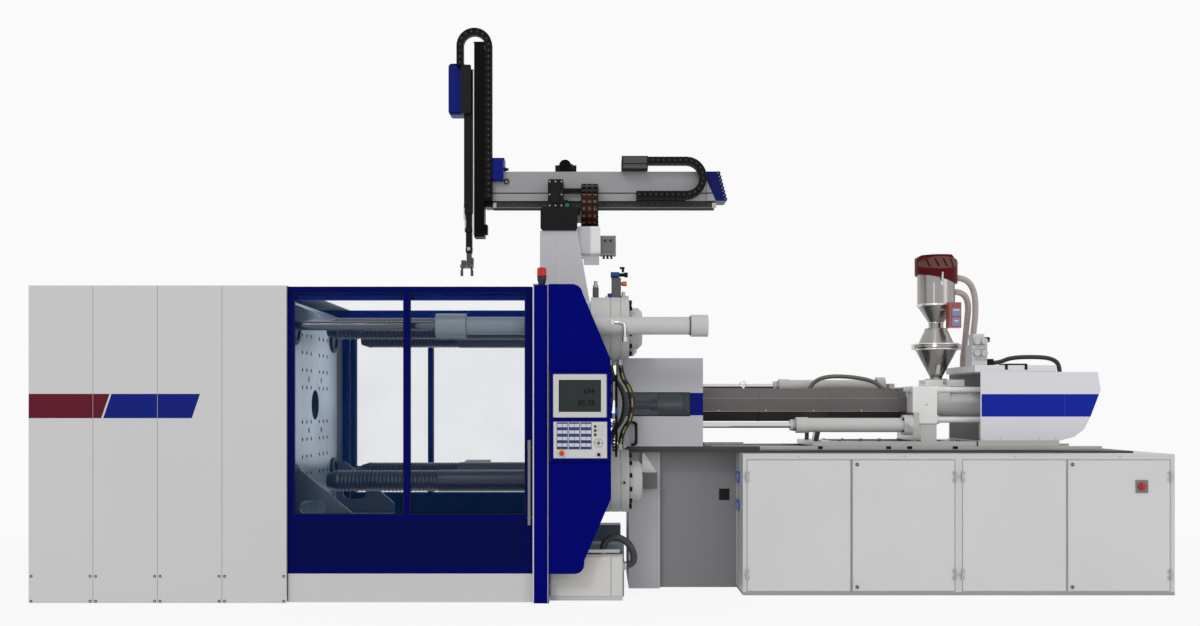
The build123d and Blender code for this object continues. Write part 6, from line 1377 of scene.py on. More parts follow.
@dataclass
class Robot(SubAssembly):
    """Linear robot: details of the beam, carriage, mast, arm and wrist."""

    cap_top: Span = (984.0, 3392.0)
    cap_foot: Span = (1040.0, 3178.0)
    cap_bumps: int = 8
    rail_front: float = -70.0
    motor_x: Span = (-892.0, -800.0)
    motor_front: float = -93.0
    gear_front: float = -230.0
    chain_axis: Span = (-153.0, 3087.0)
    chain_radius: float = 176.0
    top_motor: Point = (-290.0, -92.0, 3456.0)
    arm_front: float = -120.0
    air_line: Span = (-1122.0, -88.0)
    finger_y: Span = (-94.0, -66.0)
    finger_z: Span = (2541.0, 2590.0)
    pedestal_front: float = -600.0

    def steps(self) -> Steps:
        """Methods that dress and build the robot, in order."""
        return (
            self.dress, self.chains, self.beam, self.kick_motor, self.carriage, self.mast, self.wrist,
            self.pedestal,
        )

    def dress(self) -> None:
        """Skins of the robot's CAD nodes."""
        for name, finish in (
            ("robot_pedestal", PEDESTAL_PAINT), ("traverse_beam", TRAVERSE_SKIN),
            ("robot_carriage", CARRIAGE_SKIN), ("robot_beam", BEAM_SKIN), ("robot_mast", MAST_SKIN),
            ("robot_arm", ARM_SKIN), ("robot_wrist", WRIST_SKIN),
        ):
            self.shop.paint(finish, name)

    def chains(self) -> None:
        """Links of the kick, cross and mast chains."""
        for chain in (
            LinkChain(
                "kick_chain", "robot_beam", Axis.X, Axis.Z, (708.5, 3339.5), 140.5, (300, 394),
                ((-192, -1), (-102, 1)),
            ),
            LinkChain(
                "cross_chain", "robot_carriage", Axis.Y, Axis.Z, (153, 3087), 174, (-290, 105),
                ((-150, -1), (-18, 1)), signs=(-1, 1), pitch=54,
            ),
            LinkChain(
                "mast_chain", "robot_mast", Axis.Z, Axis.X, (4435, 1038), 118, (3170, 4280),
                ((-150, -1), (-95, 1)), signs=(1, -1), pitch=50,
            ),
        ):
            chain.build(self.shop)

    def beam(self) -> None:
        """Scalloped end cap, rail screws and stop blocks of the kick beam."""
        add = self.shop.add
        top, foot = np.array(self.cap_top), np.array(self.cap_foot)
        row = top + np.linspace(0.0, 1.0, self.cap_bumps)[:, None] * (foot - top)
        bumps = np.column_stack((row[:, 0], np.full(self.cap_bumps, -98.0), row[:, 1])) * MM
        bump = lathe(((0, 12), (3, 17), (201, 17), (204, 12)), Axis.Y, count=14)
        add("beam_cap_scallops", bump.copies(bumps), CAP_BLUE, "robot_beam")
        self.front_screws("beam_cap_screws", bumps - (4 * MM, 0, 0), "robot_beam", 5)
        rail = lattice(np.arange(-860, 950, 60), (self.rail_front,), (3137.0,))
        self.front_screws("kick_rail_screws", rail, "robot_beam", 6, 3, BLACK_PAINT)
        y, z = (self.rail_front - 14, self.rail_front), (3108, 3150)
        stops = box((930, 966), y, z) + box((-890, -860), y, z)
        add("kick_rail_stops", stops, MACHINED, "robot_beam", 2, slot="aluminium")

    def kick_motor(self) -> None:
        """Fins, body, eye and plug of the kick motor, and the lid of the chain's anchor."""
        add = self.shop.add
        left, right = self.motor_x
        levels = 3416 + np.arange(9) * 11.5
        lows = np.column_stack((np.full(9, left + 2), np.full(9, self.motor_front), levels))
        add("kick_motor_fins", boxes(lows, lows + (90, 3, 5)), MOTOR_BLUE, "robot_beam")
        motor = prism(rounded((3322, 3500), (left, right), 16), Axis.Y, (-148, -91), 6)
        add("kick_motor_body", motor, MOTOR_BLUE, "robot_beam")
        arc = np.linspace(0, TURN, 8, endpoint=False)
        eye = lathe(
            np.column_stack((5 * np.sin(arc), 19 + 5 * np.cos(arc))), Axis.Y, (-776, -104, 3322), 24, True
        )
        add("kick_motor_eye", eye, BLACK_PLASTIC, "robot_beam")
        plug = lathe(((0, 16), (14, 16), (18, 12), (34, 12)), Axis.X, (-796, -60, 3430), 16)
        add("kick_motor_plug", plug, BLACK_PLASTIC, "robot_beam")
        lid = box((190, 384), (-194, -192), (3412, 3446)) + box((190, 384), (-193.5, -192), (3455, 3508))
        add("chain_anchor_lid", lid, ANCHOR_GREY, "robot_beam", 1)

    def carriage(self) -> None:
        """Chain inserts, gear bolts and cover, connector, valves and motor on the traverse carriage."""
        add = self.shop.add
        angle = np.linspace(0.06, 0.94, 12) * np.pi
        y = self.chain_axis[0] - self.chain_radius * np.sin(angle)
        z = self.chain_axis[1] - self.chain_radius * np.cos(angle)
        inserts = joined([
            tube(np.column_stack((np.full(12, column + shift), y, z)) * MM, 8 * MM, 8)
            for column in (-128.0, -84.0, -40.0) for shift in (-8.0, 8.0)
        ])
        add("chain_inserts", inserts, ORANGE, "robot_carriage")
        gear = lattice((-412, -364, -315), (self.gear_front,), (3100, 3190, 3296))
        self.front_screws("gear_screws", gear, "robot_carriage")
        y = (self.gear_front - 10, self.gear_front)
        cover = prism(rounded((3120, 3280), (-400, -328), 16), Axis.Y, y, 3)
        add("gear_cover", cover, BLACK_PLASTIC, "robot_carriage")
        green = prism(rounded((3082, 3112), (-284, -250), 5), Axis.Y, (-262, -226), 2)
        add("carriage_connector", green, CONNECTOR_GREEN, "robot_carriage")
        blocks = box((-300, -236), (-226, -170), (3075, 3104))
        blocks = blocks + box((-296, -262), (-214, -178), (3104, 3150))
        add("carriage_valves", blocks, BLACK_PLASTIC, "robot_carriage", 3)
        flange = lathe(((0, 46), (0, 50), (8, 50), (12, 40), (12, 0.5)), Axis.Y, self.top_motor, 28)
        add("traverse_motor_cap", flange, MAST_SKIN, "robot_carriage")
        ring = lathe(((0, 46.2), (2, 48), (4, 46.2)), Axis.Y, count=28, ring=True)
        spots = lattice((self.top_motor[0],), np.arange(-70, 100, 16), (self.top_motor[2],))
        add("traverse_motor_rings", ring.copies(spots), MAST_SKIN, "robot_carriage")

    def mast(self) -> None:
        """Guide, top plate, clips and stop of the mast; box cover, chain holder and strips of the arm."""
        add = self.shop.add
        strip = box((-1047, -1039.5), (-152, -146), (2870, 4240))
        add("mast_guide", strip, ALUMINIUM, "robot_mast", slot="machined")
        top = prism(rounded((-1044, -950), (-155, -15), 10), Axis.Z, (4459, 4466), 2)
        add("mast_top_plate", top, BLACK_PLASTIC, "robot_mast")
        clips = box((-30, 30), (-5, 0), (-9, 9)).copies(lattice((-923,), (-151,), np.arange(3200, 4400, 150)))
        add("trough_clips", clips, BLACK_PLASTIC, "robot_mast", 1.5)
        foot = box((-1036, -958), (-146, -24), (2858, 2866)) + box((-985, -930), (-140, -60), (2880, 2960))
        add("mast_stop", foot, MAST_SKIN, "robot_mast", 4)
        side = prism(rounded((3900, 4284), (-1254, -1132), 26), Axis.Y, (-90, -84), 2)
        add("arm_box_cover", side, MOTOR_BLUE, "robot_arm")
        holder = prism(rounded((3874, 4278), (-1150, -1066), 10), Axis.Y, (-150, self.arm_front), 3)
        add("arm_chain_holder", holder, BLACK_PLASTIC, "robot_arm")
        y, z = (self.arm_front - 3, self.arm_front), (3120, 3990)
        strips = box((-1122, -1118), y, z) + box((-1056, -1052), y, z)
        add("arm_edge_strips", strips, BLACK_PAINT, "robot_arm", slot="aluminium")

    def wrist(self) -> None:
        """Clamp blocks, small air cylinder and pin head of the arm; pads, screws and valves of the wrist."""
        add = self.shop.add
        clamp = box((-1122, -1052), (-118, -108), (3050, 3110))
        clamp = clamp + box((-1118, -1056), (-116, -106), (2900, 2936))
        add("arm_clamps", clamp, BLACK_PLASTIC, "robot_arm", 3, slot="black_paint")
        barrel = lathe(((0, 9), (3, 12), (118, 12), (121, 9)), Axis.Z, (*self.air_line, 3010), 16)
        add("wrist_cylinder", barrel, ALUMINIUM, "robot_arm")
        rod = lathe(((0, 4), (140, 4)), Axis.Z, (*self.air_line, 2900), 12)
        add("wrist_cylinder_rod", rod, CHROME, "robot_arm")
        pin = lathe(((0, 0.5), (0, 15), (5, 15), (8, 11)), Axis.Y, (-1087, -128, 2760), 20)
        add("wrist_pin_head", pin, MACHINED, "robot_arm")
        pads = [box(x, self.finger_y, self.finger_z) for x in ((-1158, -1153), (-1059, -1054))]
        add("finger_pads", joined(pads), BLACK_PLASTIC, "robot_wrist", 1)
        self.front_screws("wrist_screws", lattice((-1145, -1105, -1066), (-125,), (2619,)), "robot_wrist", 5)
        valves = box((-1150, -1112), (-112, -50), (2631, 2668))
        valves = valves + box((-1066, -1050), (-104, -58), (2631, 2690))
        add("wrist_valves", valves, WRIST_SKIN, "robot_wrist", 2)

    def pedestal(self) -> None:
        """Flange screws and folded edge of the pedestal; lids, cable glands and knobs of its boxes."""
        add = self.shop.add
        heads = lattice(np.arange(-452, -190, 32), (self.pedestal_front,), (2812,))
        self.front_screws("pedestal_screws", heads, "root", 5, 3)
        line = lattice((-330,), (self.pedestal_front,), (2300, 2795))
        fold = tube(line, 5 * MM, 8)
        fold.uv = None
        add("pedestal_fold", fold, LIGHT_PAINT, "root")
        for name, finish, front, z, x in (
            ("white_box_lid", WHITE_LID, -560, (2673, 2870), (-70, -5)),
            ("grey_box_lid", DARK_LID, -520, (2672, 2797), (14, 114)),
        ):
            lid = prism(rounded(z, x, 5), Axis.Y, (front - 4, front), 1.5)
            add(name, lid, finish, "root")
        gland = lathe(((0, 11), (6, 11), (9, 8), (24, 8)), Axis.Z, count=12)
        row = lattice((30, 60, 90), (-470,), (2633,))
        add("pedestal_glands", gland.copies(row), BLACK_PLASTIC, "root")
        knob = lathe(((0, 0.5), (0, 8), (8, 8), (10, 6)), Axis.Y, count=12)
        spots = lattice((40, 84), (-534,), (2770,))
        add("box_knobs", knob.copies(spots), BLACK_PLASTIC, "root")


@dataclass
class ClampUnit(SubAssembly):
    """Details of the platens, cylinders, valves and stand."""

    bars: tuple[Span, ...] = ((-650, 875), (-650, 2065), (650, 875), (650, 2065))
    rear: float = 224.0
    bolt_circle: float = 205.0
    cover_circle: float = 172.0
    travel: tuple[Span, ...] = ((-968, 2064), (968, 876))
    gland_face: float = -1233.0
    gland_circle: float = 76.0
    hose_x: Span = (80.0, 160.0)
    hose_z: Span = (1778.7, 1117.3)
    coil_centre: Point = (0.0, -300.0, 2524.0)
    stand_front: float = -1028.0
    stand_top: float = 341.0
    fixed_face: float = -500.0
    moving_face: float = -2386.0
    hole_pitch: float = 140.0
    axis_z: float = 1470.0

    def steps(self) -> Steps:
        """Methods that dress and build the clamp unit, in order."""
        return self.dress, self.cylinders, self.travel_parts, self.valve, self.stand, self.platens

    def dress(self) -> None:
        """Finishes of the clamp unit's CAD nodes."""
        paint = self.shop.paint
        paint(BED_PAINT, "clamp_bed")
        paint(MACHINED, "guide_rails", "ejector_plate")
        paint(PLATEN, "fixed_platen", "moving_platen")
        paint(WHITE_PAINT, "clamp_cylinders", "ejector_cylinders")
        paint(TRAVEL_PAINT, "travel_cylinders")
        paint(ROD_STEEL, "travel_rods")
        paint(TIE_STEEL, "tie_bars", "lock_halves_front", "lock_halves_rear")
        paint(SERVICE_PAINT, "service_units")

    def circle(self, x: float, pairs: Sequence[Span], radius: float, count: int) -> np.ndarray:
        """Places on circles round axes along X: centre plus radius times cosine and sine of the angle.

        Args:
            x: Their place along X in millimetres.
            pairs: Y and Z of each circle's axis in millimetres.
            radius: Radius of the circles in millimetres.
            count: Places on each circle.

        Returns:
            All places in metres.
        """
        angle = (np.arange(count) + 0.5) / count * TURN
        flat = np.stack((np.zeros(count), radius * np.cos(angle), radius * np.sin(angle)), 1) * MM
        return (at_x(x, pairs)[:, None] + flat).reshape(-1, 3)

    def cylinders(self) -> None:
        """Socket screws, cover rims, pipe ports and sensor heads of the clamp cylinders."""
        add = self.shop.add
        head = lathe(((0, 18), (20, 18), (24, 15), (24, 9), (12, 8.5)), Axis.X, count=14)
        heads = self.circle(self.rear, self.bars, self.bolt_circle, 12)
        add("cylinder_screws", head.copies(heads), BLACK_PAINT, "root")
        small = lathe(((0, 6), (3, 6), (4, 4)), Axis.X, count=10)
        rims = self.circle(self.rear, self.bars, self.cover_circle, 8)
        add("dome_screws", small.copies(rims), MACHINED, "root")
        lip = lathe(((224, 159), (236, 165), (240, 161), (228, 155)), Axis.X, count=40, ring=True)
        add("dome_rims", lip.copies(at_x(0, self.bars)), WHITE_PAINT, "root")
        port = lathe(((0, 30), (14, 30), (16, 24), (44, 24), (44, 0.5)), Axis.Z, count=6)
        ports = np.array([(x, -650, z) for z in self.hose_z for x in self.hose_x]) * MM
        add("hose_ports", port.copies(ports), MACHINED, "root")
        sensor = lathe(((0, 9), (20, 9), (24, 6), (40, 6), (40, 0.5)), Axis.Y, count=12)
        spots = lattice((-20, 186), (-905,), (2065, 875))
        add("cylinder_sensors", sensor.copies(spots), BLACK_PLASTIC, "root")

    def travel_parts(self) -> None:
        """Cap grooves, head screws and the chromed elbow of the travel cylinders."""
        add = self.shop.add
        band = lathe(((672, 67.2), (674, 72), (682, 72), (684, 67.2)), Axis.X, count=36, ring=True)
        add("travel_rings", band.copies(at_x(0, self.travel)), DARK_RING, "root", slot="machined")
        head = lathe(((-10, 0.5), (-10, 7), (-8, 9), (0, 9)), Axis.X, count=12)
        heads = self.circle(self.gland_face, self.travel, self.gland_circle, 8)
        add("gland_screws", head.copies(heads), BLACK_PAINT, "root")
        bend = ((110, -1030, 2085), (170, -1040, 2085), (185, -1040, 2060), (185, -1040, 1975))
        pipe = tube(spline(np.array(bend) * MM), 13 * MM)
        nut = lathe(((0, 24), (26, 24), (30, 18)), Axis.X, (80, -1028, 2085), 6)
        collar = lathe(((0, 20), (36, 20), (40, 15)), Axis.Z, (185, -1040, 1940), 20)
        add("port_elbow", joined((pipe, nut, collar)), CHROME, "root")

    def valve(self) -> None:
        """Solenoid valve over the nozzle: block, coil, plug, cap and fittings, and its manifold's plates."""
        add = self.shop.add
        block = box((93, 170), (-335, -262), (2300, 2498)) + box((-60, -10), (-330, -270), (2300, 2420))
        add("valve_body", block, VALVE_GREY, "root", 4)
        centre = self.coil_centre
        coil = lathe(((86, 20), (88, 24), (156, 24), (158, 20)), Axis.X, centre, 24)
        add("valve_coil", coil, COIL_BLUE, "root")
        plug = lathe(((158, 15), (196, 15), (200, 21), (224, 21), (226, 17)), Axis.X, centre, 12)
        din = box((176, 196), (-312, -288), (2545, 2584)) + box((160, 200), (-309, -291), (2572, 2588))
        add("valve_plug", plug + din, BLACK_PLASTIC, "root", 1.5)
        cap = lathe(((170, 14), (180, 15), (184, 20), (214, 20), (218, 14)), Axis.X, (0, -300, 2452), 20)
        add("valve_cap", cap, CAP_ORANGE, "root")
        fitting = lathe(((0, 22), (22, 22), (22, 15), (50, 15), (54, 12)), Axis.Z, count=6)
        spots = np.array(((60, -300, 2300), (-35, -300, 2420), (190, -330, 2330))) * MM
        add("valve_fittings", fitting.copies(spots), MACHINED, "root")
        self.front_screws("manifold_screws", lattice((-55, -5, 60, 115), (-420,), (2196, 2284)), "root")
        plates = box((176, 232), (-345, -290), (2290, 2350)) + box((-64, -6), (-424, -420), (2210, 2270))
        add("manifold_plates", plates, MACHINED, "root", 2)

    def stand(self) -> None:
        """Cream stand below the housing: doors, top, hose flanges, rail and feet."""
        add = self.shop.add
        depth = (self.stand_front - 6, self.stand_front)
        doors = [prism(rounded((34, 326), x, 6), Axis.Y, depth, 2) for x in ((-368, 78), (86, 165))]
        add("stand_doors", joined(doors), CREAM_PAINT, "root")
        top = prism(rounded((-382, 177), (-1036, -842), 8), Axis.Z, (self.stand_top, self.stand_top + 6), 2)
        add("stand_top", top, STAINLESS, "root")
        profile = ((0, 44), (12, 44), (14, 32), (30, 32))
        flange = lathe(profile, Axis.X, (171, -940, 250), 24)
        upright = lathe(profile, Axis.Z, (20, -940, self.stand_top + 6), 24)
        add("drain_flanges", flange + upright, MACHINED, "root")
        bar = prism(rounded((352, 380), (-360, 150), 8), Axis.Y, (-1000, -960), 3)
        add("stand_rail", bar, MACHINED, "root")
        foot = lathe(((0, 26), (8, 26), (10, 12), (30, 12)), Axis.Z, count=16)
        feet = foot.copies(lattice((-340, 135), (-1000, -870), (0,)))
        add("stand_feet", feet, BLACK_PLASTIC, "root")

    def platens(self) -> None:
        """Painted shade of the platens' holes (dark linings and rims), bar scrapers, bar collars and shoe
        wipers.
        """
        add = self.shop.add
        rows = np.arange(1, 5) * self.hole_pitch
        y, z = np.meshgrid(np.r_[-rows[:3], rows[:3]], np.r_[-rows, rows] + self.axis_z, indexing="ij")
        # Painted shade: each hole gets a dark lining and rim.
        profile = np.array(((-12, 9.5), (-12, 12.4), (0, 12.4), (0, 18), (1, 18), (1, 9.5)))
        for name, face, rim, body in (
            ("fixed_platen_hole_shade", self.fixed_face, (profile * (-1, 1))[::-1], "root"),
            ("moving_platen_hole_shade", self.moving_face, profile, "moving_platen"),
        ):
            spots = at_x(face, np.column_stack((y.ravel(), z.ravel())))
            rims = lathe(rim, Axis.X, count=14, ring=True).copies(spots)
            add(name, rims, HOLE_DARK, body)
        scraper = lathe(((0, 92), (0, 128), (16, 128), (22, 118), (22, 92)), Axis.X, count=36, ring=True)
        scrapers = scraper.copies(at_x(self.moving_face, self.bars))
        add("bar_scrapers", scrapers, BLACK_PLASTIC, "moving_platen")
        collar = lathe(((-22, 92), (-22, 118), (-16, 128), (0, 128), (0, 92)), Axis.X, count=36, ring=True)
        collars = collar.copies(at_x(self.fixed_face, self.bars))
        add("bar_collars", collars, MACHINED, "root")
        wipers = box((-1857, -1845), (696, 792), (472, 498)).both()
        add("shoe_wipers", wipers, BLACK_PLASTIC, "moving_platen", 2)


@dataclass
class OperatorSide(SubAssembly):
    """Details of the guard, its doors and covers, the operator's panel and the beacon."""

    cover_front: float = -1140.5
    cover_z: Span = (4.0, 2346.0)
    guard_left: float = -4230.0
    panel_width: float = 477.5
    door_x: Span = (-2320.0, -506.0)
    door_z: Span = (217.0, 2345.0)
    pane_low: float = 437.0
    carrier_front: float = -1211.0
    screen_x: Span = (-302.0, 7.0)
    screen_z: Span = (1415.0, 1649.0)
    digit_place: Span = (-38.0, -1219.6)
    foil_front: float = -1221.0
    key_columns: tuple[Span, ...] = ((-315, -238), (-228, -150), (-140, -64))
    key_rows: Span = (1142.0, 1332.0)
    keys_front: float = -1223.0
    knob_levels: tuple[float, ...] = (1308.0, 1278.0, 1247.0)
    pad_centre: Point = (-10.0, -1221.0, 1186.0)
    beacon_axis: Span = (-431.5, -1115.0)

    def steps(self) -> Steps:
        """Methods that dress and build the operator's side, in order."""
        return self.dress, self.covers, self.doors, self.housing, self.display, self.keypad, self.beacon

    def dress(self) -> None:
        """Finishes of the guard's and the operator panel's CAD nodes."""
        paint = self.shop.paint
        paint(COVER_PAINT, "cover_panels")
        paint(BLUE_PAINT, "guard_frame")
        paint(FRAME_PAINT, "door_frame", "rear_door_frame")
        paint(PANES, "door_windows", "rear_door_windows")
        paint(HANDLE_STEEL, "door_handle")
        paint(COLUMN_PAINT, "operator_column")
        paint(HOUSING_PAINT, "operator_housing")
        paint(CARRIER_BLUE, "panel_carrier")
        paint(SCREEN_FRAME, "display_unit")
        paint(KEYPAD, "keypad_unit")
        paint(BUTTON_RED, "emergency_button")
        paint(BLACK_PLASTIC, "key_switch")
        paint(BEACON, "signal_beacon")

    def covers(self) -> None:
        """Joints between the covers, their screws and the floor feet."""
        add = self.shop.add
        edges = self.guard_left + self.panel_width * np.arange(4)
        lows = np.column_stack((edges[1:] - 1.8, np.full(3, -1141.0), np.full(3, self.cover_z[0])))
        joints = boxes(lows, lows + (3.6, 1.2, self.cover_z[1] - self.cover_z[0]))
        add("cover_joints", joints, JOINT_GREY, "root", slot="light_paint")
        x = np.concatenate((edges + 20, edges + self.panel_width - 21))
        self.front_screws(
            "cover_screws", lattice(x, (self.cover_front,), (14, 198)), "root", 10, 2.5, BLACK_PLASTIC
        )
        foot = lathe(((0, 30), (6, 30), (10, 11), (30, 11)), Axis.Z, count=16)
        spots = lattice((-4170, -3250, -2360), (-1090, 1090), (0,))
        add("guard_feet", foot.copies(spots), BLACK_PLASTIC, "root")

    def doors(self) -> None:
        """Window gaskets and rollers of both sliding doors, and the roses of the handle."""
        add = self.shop.add
        (left, right), (low, high) = self.door_x, (self.door_z[0] + self.pane_low, self.door_z[1] - 46)
        wheel = lathe(((-8, 8), (-8, 24), (-3, 21), (3, 21), (8, 24), (8, 8)), Axis.Y, count=24, ring=True)
        for side, body, middle, out in (("front", "front_door", -1433, -1), ("rear", "rear_door", -1578, 1)):
            depth = sorted((out * 1111.0, out * 1108.0))
            rims = [
                frame_ring(
                    rounded((low, high), (start, end), 6, 3),
                    rounded((low + 6, high - 6), (start + 6, end - 6), 3, 3), Axis.Y, depth,
                )
                for start, end in ((left + 48, middle - 23), (middle + 23, right - 48))
            ]
            add(f"{side}_window_gaskets", joined(rims), BLACK_PLASTIC, body)
            spots = lattice((left + 120, right - 120), (out * 1090.0,), (2321,))
            add(f"{side}_door_rollers", wheel.copies(spots), BLACK_PLASTIC, body)
        rose = lathe(((0, 17), (4, 19), (10, 19), (14, 15)), Axis.Y, count=20)
        roses = rose.copies(lattice((-524,), (-1124,), (633, 1150)))
        add("handle_roses", roses, HANDLE_STEEL, "front_door")

    def housing(self) -> None:
        """Painted shadow of the gap beside the column (a black strip), its light edge, the tag on the roof
        and the edge bar's duct and wires.
        """
        add = self.shop.add
        # Painted shadow: a black strip on the carrier stands for the shade in the gap beside the column.
        groove = box((-377, -366), (self.carrier_front - 1, self.carrier_front), (1053, 1711))
        add("carrier_gap_shadow", groove, BLACK_PAINT, "panel")
        line = box((-388, -381), (-1161, -1160), (6, 2350))
        add("column_edge", line, EDGE_LIGHT, "root")
        tag = box((-497, -455), (-1150, -1110), (2352, 2362))
        add("column_tag", tag, TAN, "root", 1)
        duct = box((96, 111), (-1093, -1077), (1500, 1640)) + box((92, 110), (-1096, -1079), (1360, 1400))
        add("bar_duct", duct, CONNECTOR_GREY, "root", 1)
        bead = lathe(((0, 7), (16, 7)), Axis.Z, count=10)
        wires = bead.copies(lattice((103,), (-1086,), np.arange(1120, 1340, 24)))
        add("bar_wires", wires, BLACK_PLASTIC, "root")
        label = box((112, 128), (-1094.5, -1093), (1402, 1436))
        add("bar_label_blue", label, COIL_BLUE, "root")

    def display(self) -> None:
        """Bezel round the screen, faint plain digits on it, and the seals and screws round both units."""
        add = self.shop.add
        x, z = self.screen_x, self.screen_z
        inner = rounded((z[0] + 5, z[1] - 5), (x[0] + 5, x[1] - 5), 2, 3)
        bezel = frame_ring(rounded(z, x, 3, 3), inner, Axis.Y, (-1222, -1219))
        add("screen_bezel", bezel, BLACK_PLASTIC, "panel")
        for name, text, level in (("upper", "654", 1549), ("lower", "83,78", 1462)):
            self.shop.digits(f"digits_{name}", text, (*self.digit_place, level), 56, DIGIT_DARK, "panel")
        depth = (self.carrier_front - 2.5, self.carrier_front)
        rims = [
            frame_ring(
                rounded(z, x, 5), rounded((z[0] + 6, z[1] - 6), (x[0] + 6, x[1] - 6), 3), Axis.Y, depth
            )
            for z, x in (((1372, 1694), (-346, 52)), ((1072, 1345), (-344, 55)))
        ]
        add("panel_gaskets", joined(rims), DARK_RING, "panel")
        spots = lattice((-362, 68), (self.carrier_front,), (1064, 1358, 1700))
        self.front_screws("carrier_screws", spots, "panel", 5, 4, BLACK_PLASTIC, "black_paint")

    def keypad(self) -> None:
        """Key caps over a blue foil, knob skirts and marks, a round pad and the stop's plate."""
        add = self.shop.add
        low, high = self.key_rows
        pitch, front = (high - low) / 4, self.foil_front
        caps, foils = [], []
        for left, right in self.key_columns:
            width = (right - left) / 2
            outline = rounded((pitch * 0.38, pitch * 0.9), (1.5, width - 1.5), 3, 3)
            spots = lattice(left + width * np.arange(2), (self.keys_front,), low + pitch * np.arange(4))
            caps.append(prism(outline, Axis.Y, (-1.6, 0), 0.6).copies(spots))
            foils.append(box((left - 2, right + 2), (front - 1.2, front), (low - 2, high + 6)))
        add("key_caps", joined(caps), KEY_WHITE, "panel")
        add("key_foils", joined(foils), KEY_BLUE, "panel")
        skirt = lathe(((-3, 0.5), (-3, 7), (-1, 10), (0, 10)), Axis.Y, count=18)
        skirts = skirt.copies(lattice((-35,), (front - 1,), self.knob_levels))
        add("knob_skirts", skirts, BLACK_PLASTIC, "panel")
        mark = lathe(((-0.6, 7.5), (-0.6, 9.5), (0, 9.5), (0, 7.5)), Axis.Y, count=20, ring=True)
        marks = mark.copies(lattice((-8, 18), (front,), self.knob_levels))
        add("knob_marks", marks, CONNECTOR_GREY, "panel")
        self.round_pad()
        plate = prism(rounded((1112, 1142), (-297, -263), 3), Axis.Y, (front - 1.5, front), 0.5)
        add("stop_plate", plate, YELLOW, "panel")

    def round_pad(self) -> None:
        """Ring, hub and four arrows of the round pad, each arrow turned a quarter further."""
        ring = lathe(((-0.8, 30), (-0.8, 33), (0, 33), (0, 30)), Axis.Y, self.pad_centre, 40, True)
        hub = lathe(((-1.6, 0.5), (-1.6, 10), (0, 12)), Axis.Y, self.pad_centre, 20)
        arrow = prism(np.array(((-4.0, -5.0), (6.0, 0.0), (-4.0, 5.0))), Axis.Y, (-1, 0))
        way = np.arange(4) / 4 * TURN
        forward = np.column_stack((np.cos(way), np.zeros(4), np.sin(way)))
        centres = (np.array(self.pad_centre) + forward * 20) * MM
        arrows = arrow.placed(centres, forward, np.tile((0.0, 1.0, 0.0), (4, 1)))
        self.shop.add("round_pad", joined((ring, hub, arrows)), DARK_RING, "panel")

    def beacon(self) -> None:
        """Ribs of the beacon's lens, and the joint and foot below it."""
        add = self.shop.add
        x, y = self.beacon_axis
        rib = lathe(((0, 34.4), (1.5, 36), (3, 34.4)), Axis.Z, count=36, ring=True)
        ribs = rib.copies(lattice((x,), (y,), np.arange(2424, 2478, 7)))
        add("beacon_ribs", ribs, BEACON, "root")
        joint = lathe(((0, 34.4), (1, 36), (6, 36), (7, 34.4)), Axis.Z, (x, y, 2414), 36, True)
        foot = lathe(((0, 34), (4, 34), (8, 26)), Axis.Z, (x, y, 2352), 28)
        add("beacon_joint", joint + foot, BLACK_PLASTIC, "root")


def wrapped(
    centre: Span, radii: Span, middle: float, width: float, z: Span, slant: float = 0.0, oval: bool = False,
) -> Shape:
    """Plate bent round a standing cylinder: its section is an outer arc and an inner arc back.

    Each row's arc is turned by slant times its share of the height, and an oval's rows shrink as the
    root of 1 minus the square of their distance from the middle.

    Args:
        centre: X and Y of the cylinder's axis in millimetres.
        radii: Inner and outer radius in millimetres.
        middle: Direction of its middle in degrees, counted from +X towards +Y.
        width: Angle that it covers in degrees.
        z: Its lower and upper edge in millimetres.
        slant: Turn of the top row against the bottom row in degrees.
        oval: Whether the plate is oval.

    Returns:
        The plate.
    """
    arc = np.radians(np.linspace(-width / 2, width / 2, 14))
    angle = np.concatenate((arc, arc[::-1]))
    size = np.repeat((radii[1], radii[0]), 14)
    share = (1 - np.cos(np.linspace(0, np.pi, 13)[:, None])) / 2
    reach = np.sqrt(np.maximum(1 - (2 * share - 1) ** 2, 0.01)) if oval else 1.0
    turned = np.radians(middle + slant * share) + angle * reach
    x, y = centre[0] + size * np.cos(turned), centre[1] + size * np.sin(turned)
    height = np.broadcast_to(z[0] + share * (z[1] - z[0]), turned.shape)
    return skin(np.stack((x, y, height), -1) * MM)


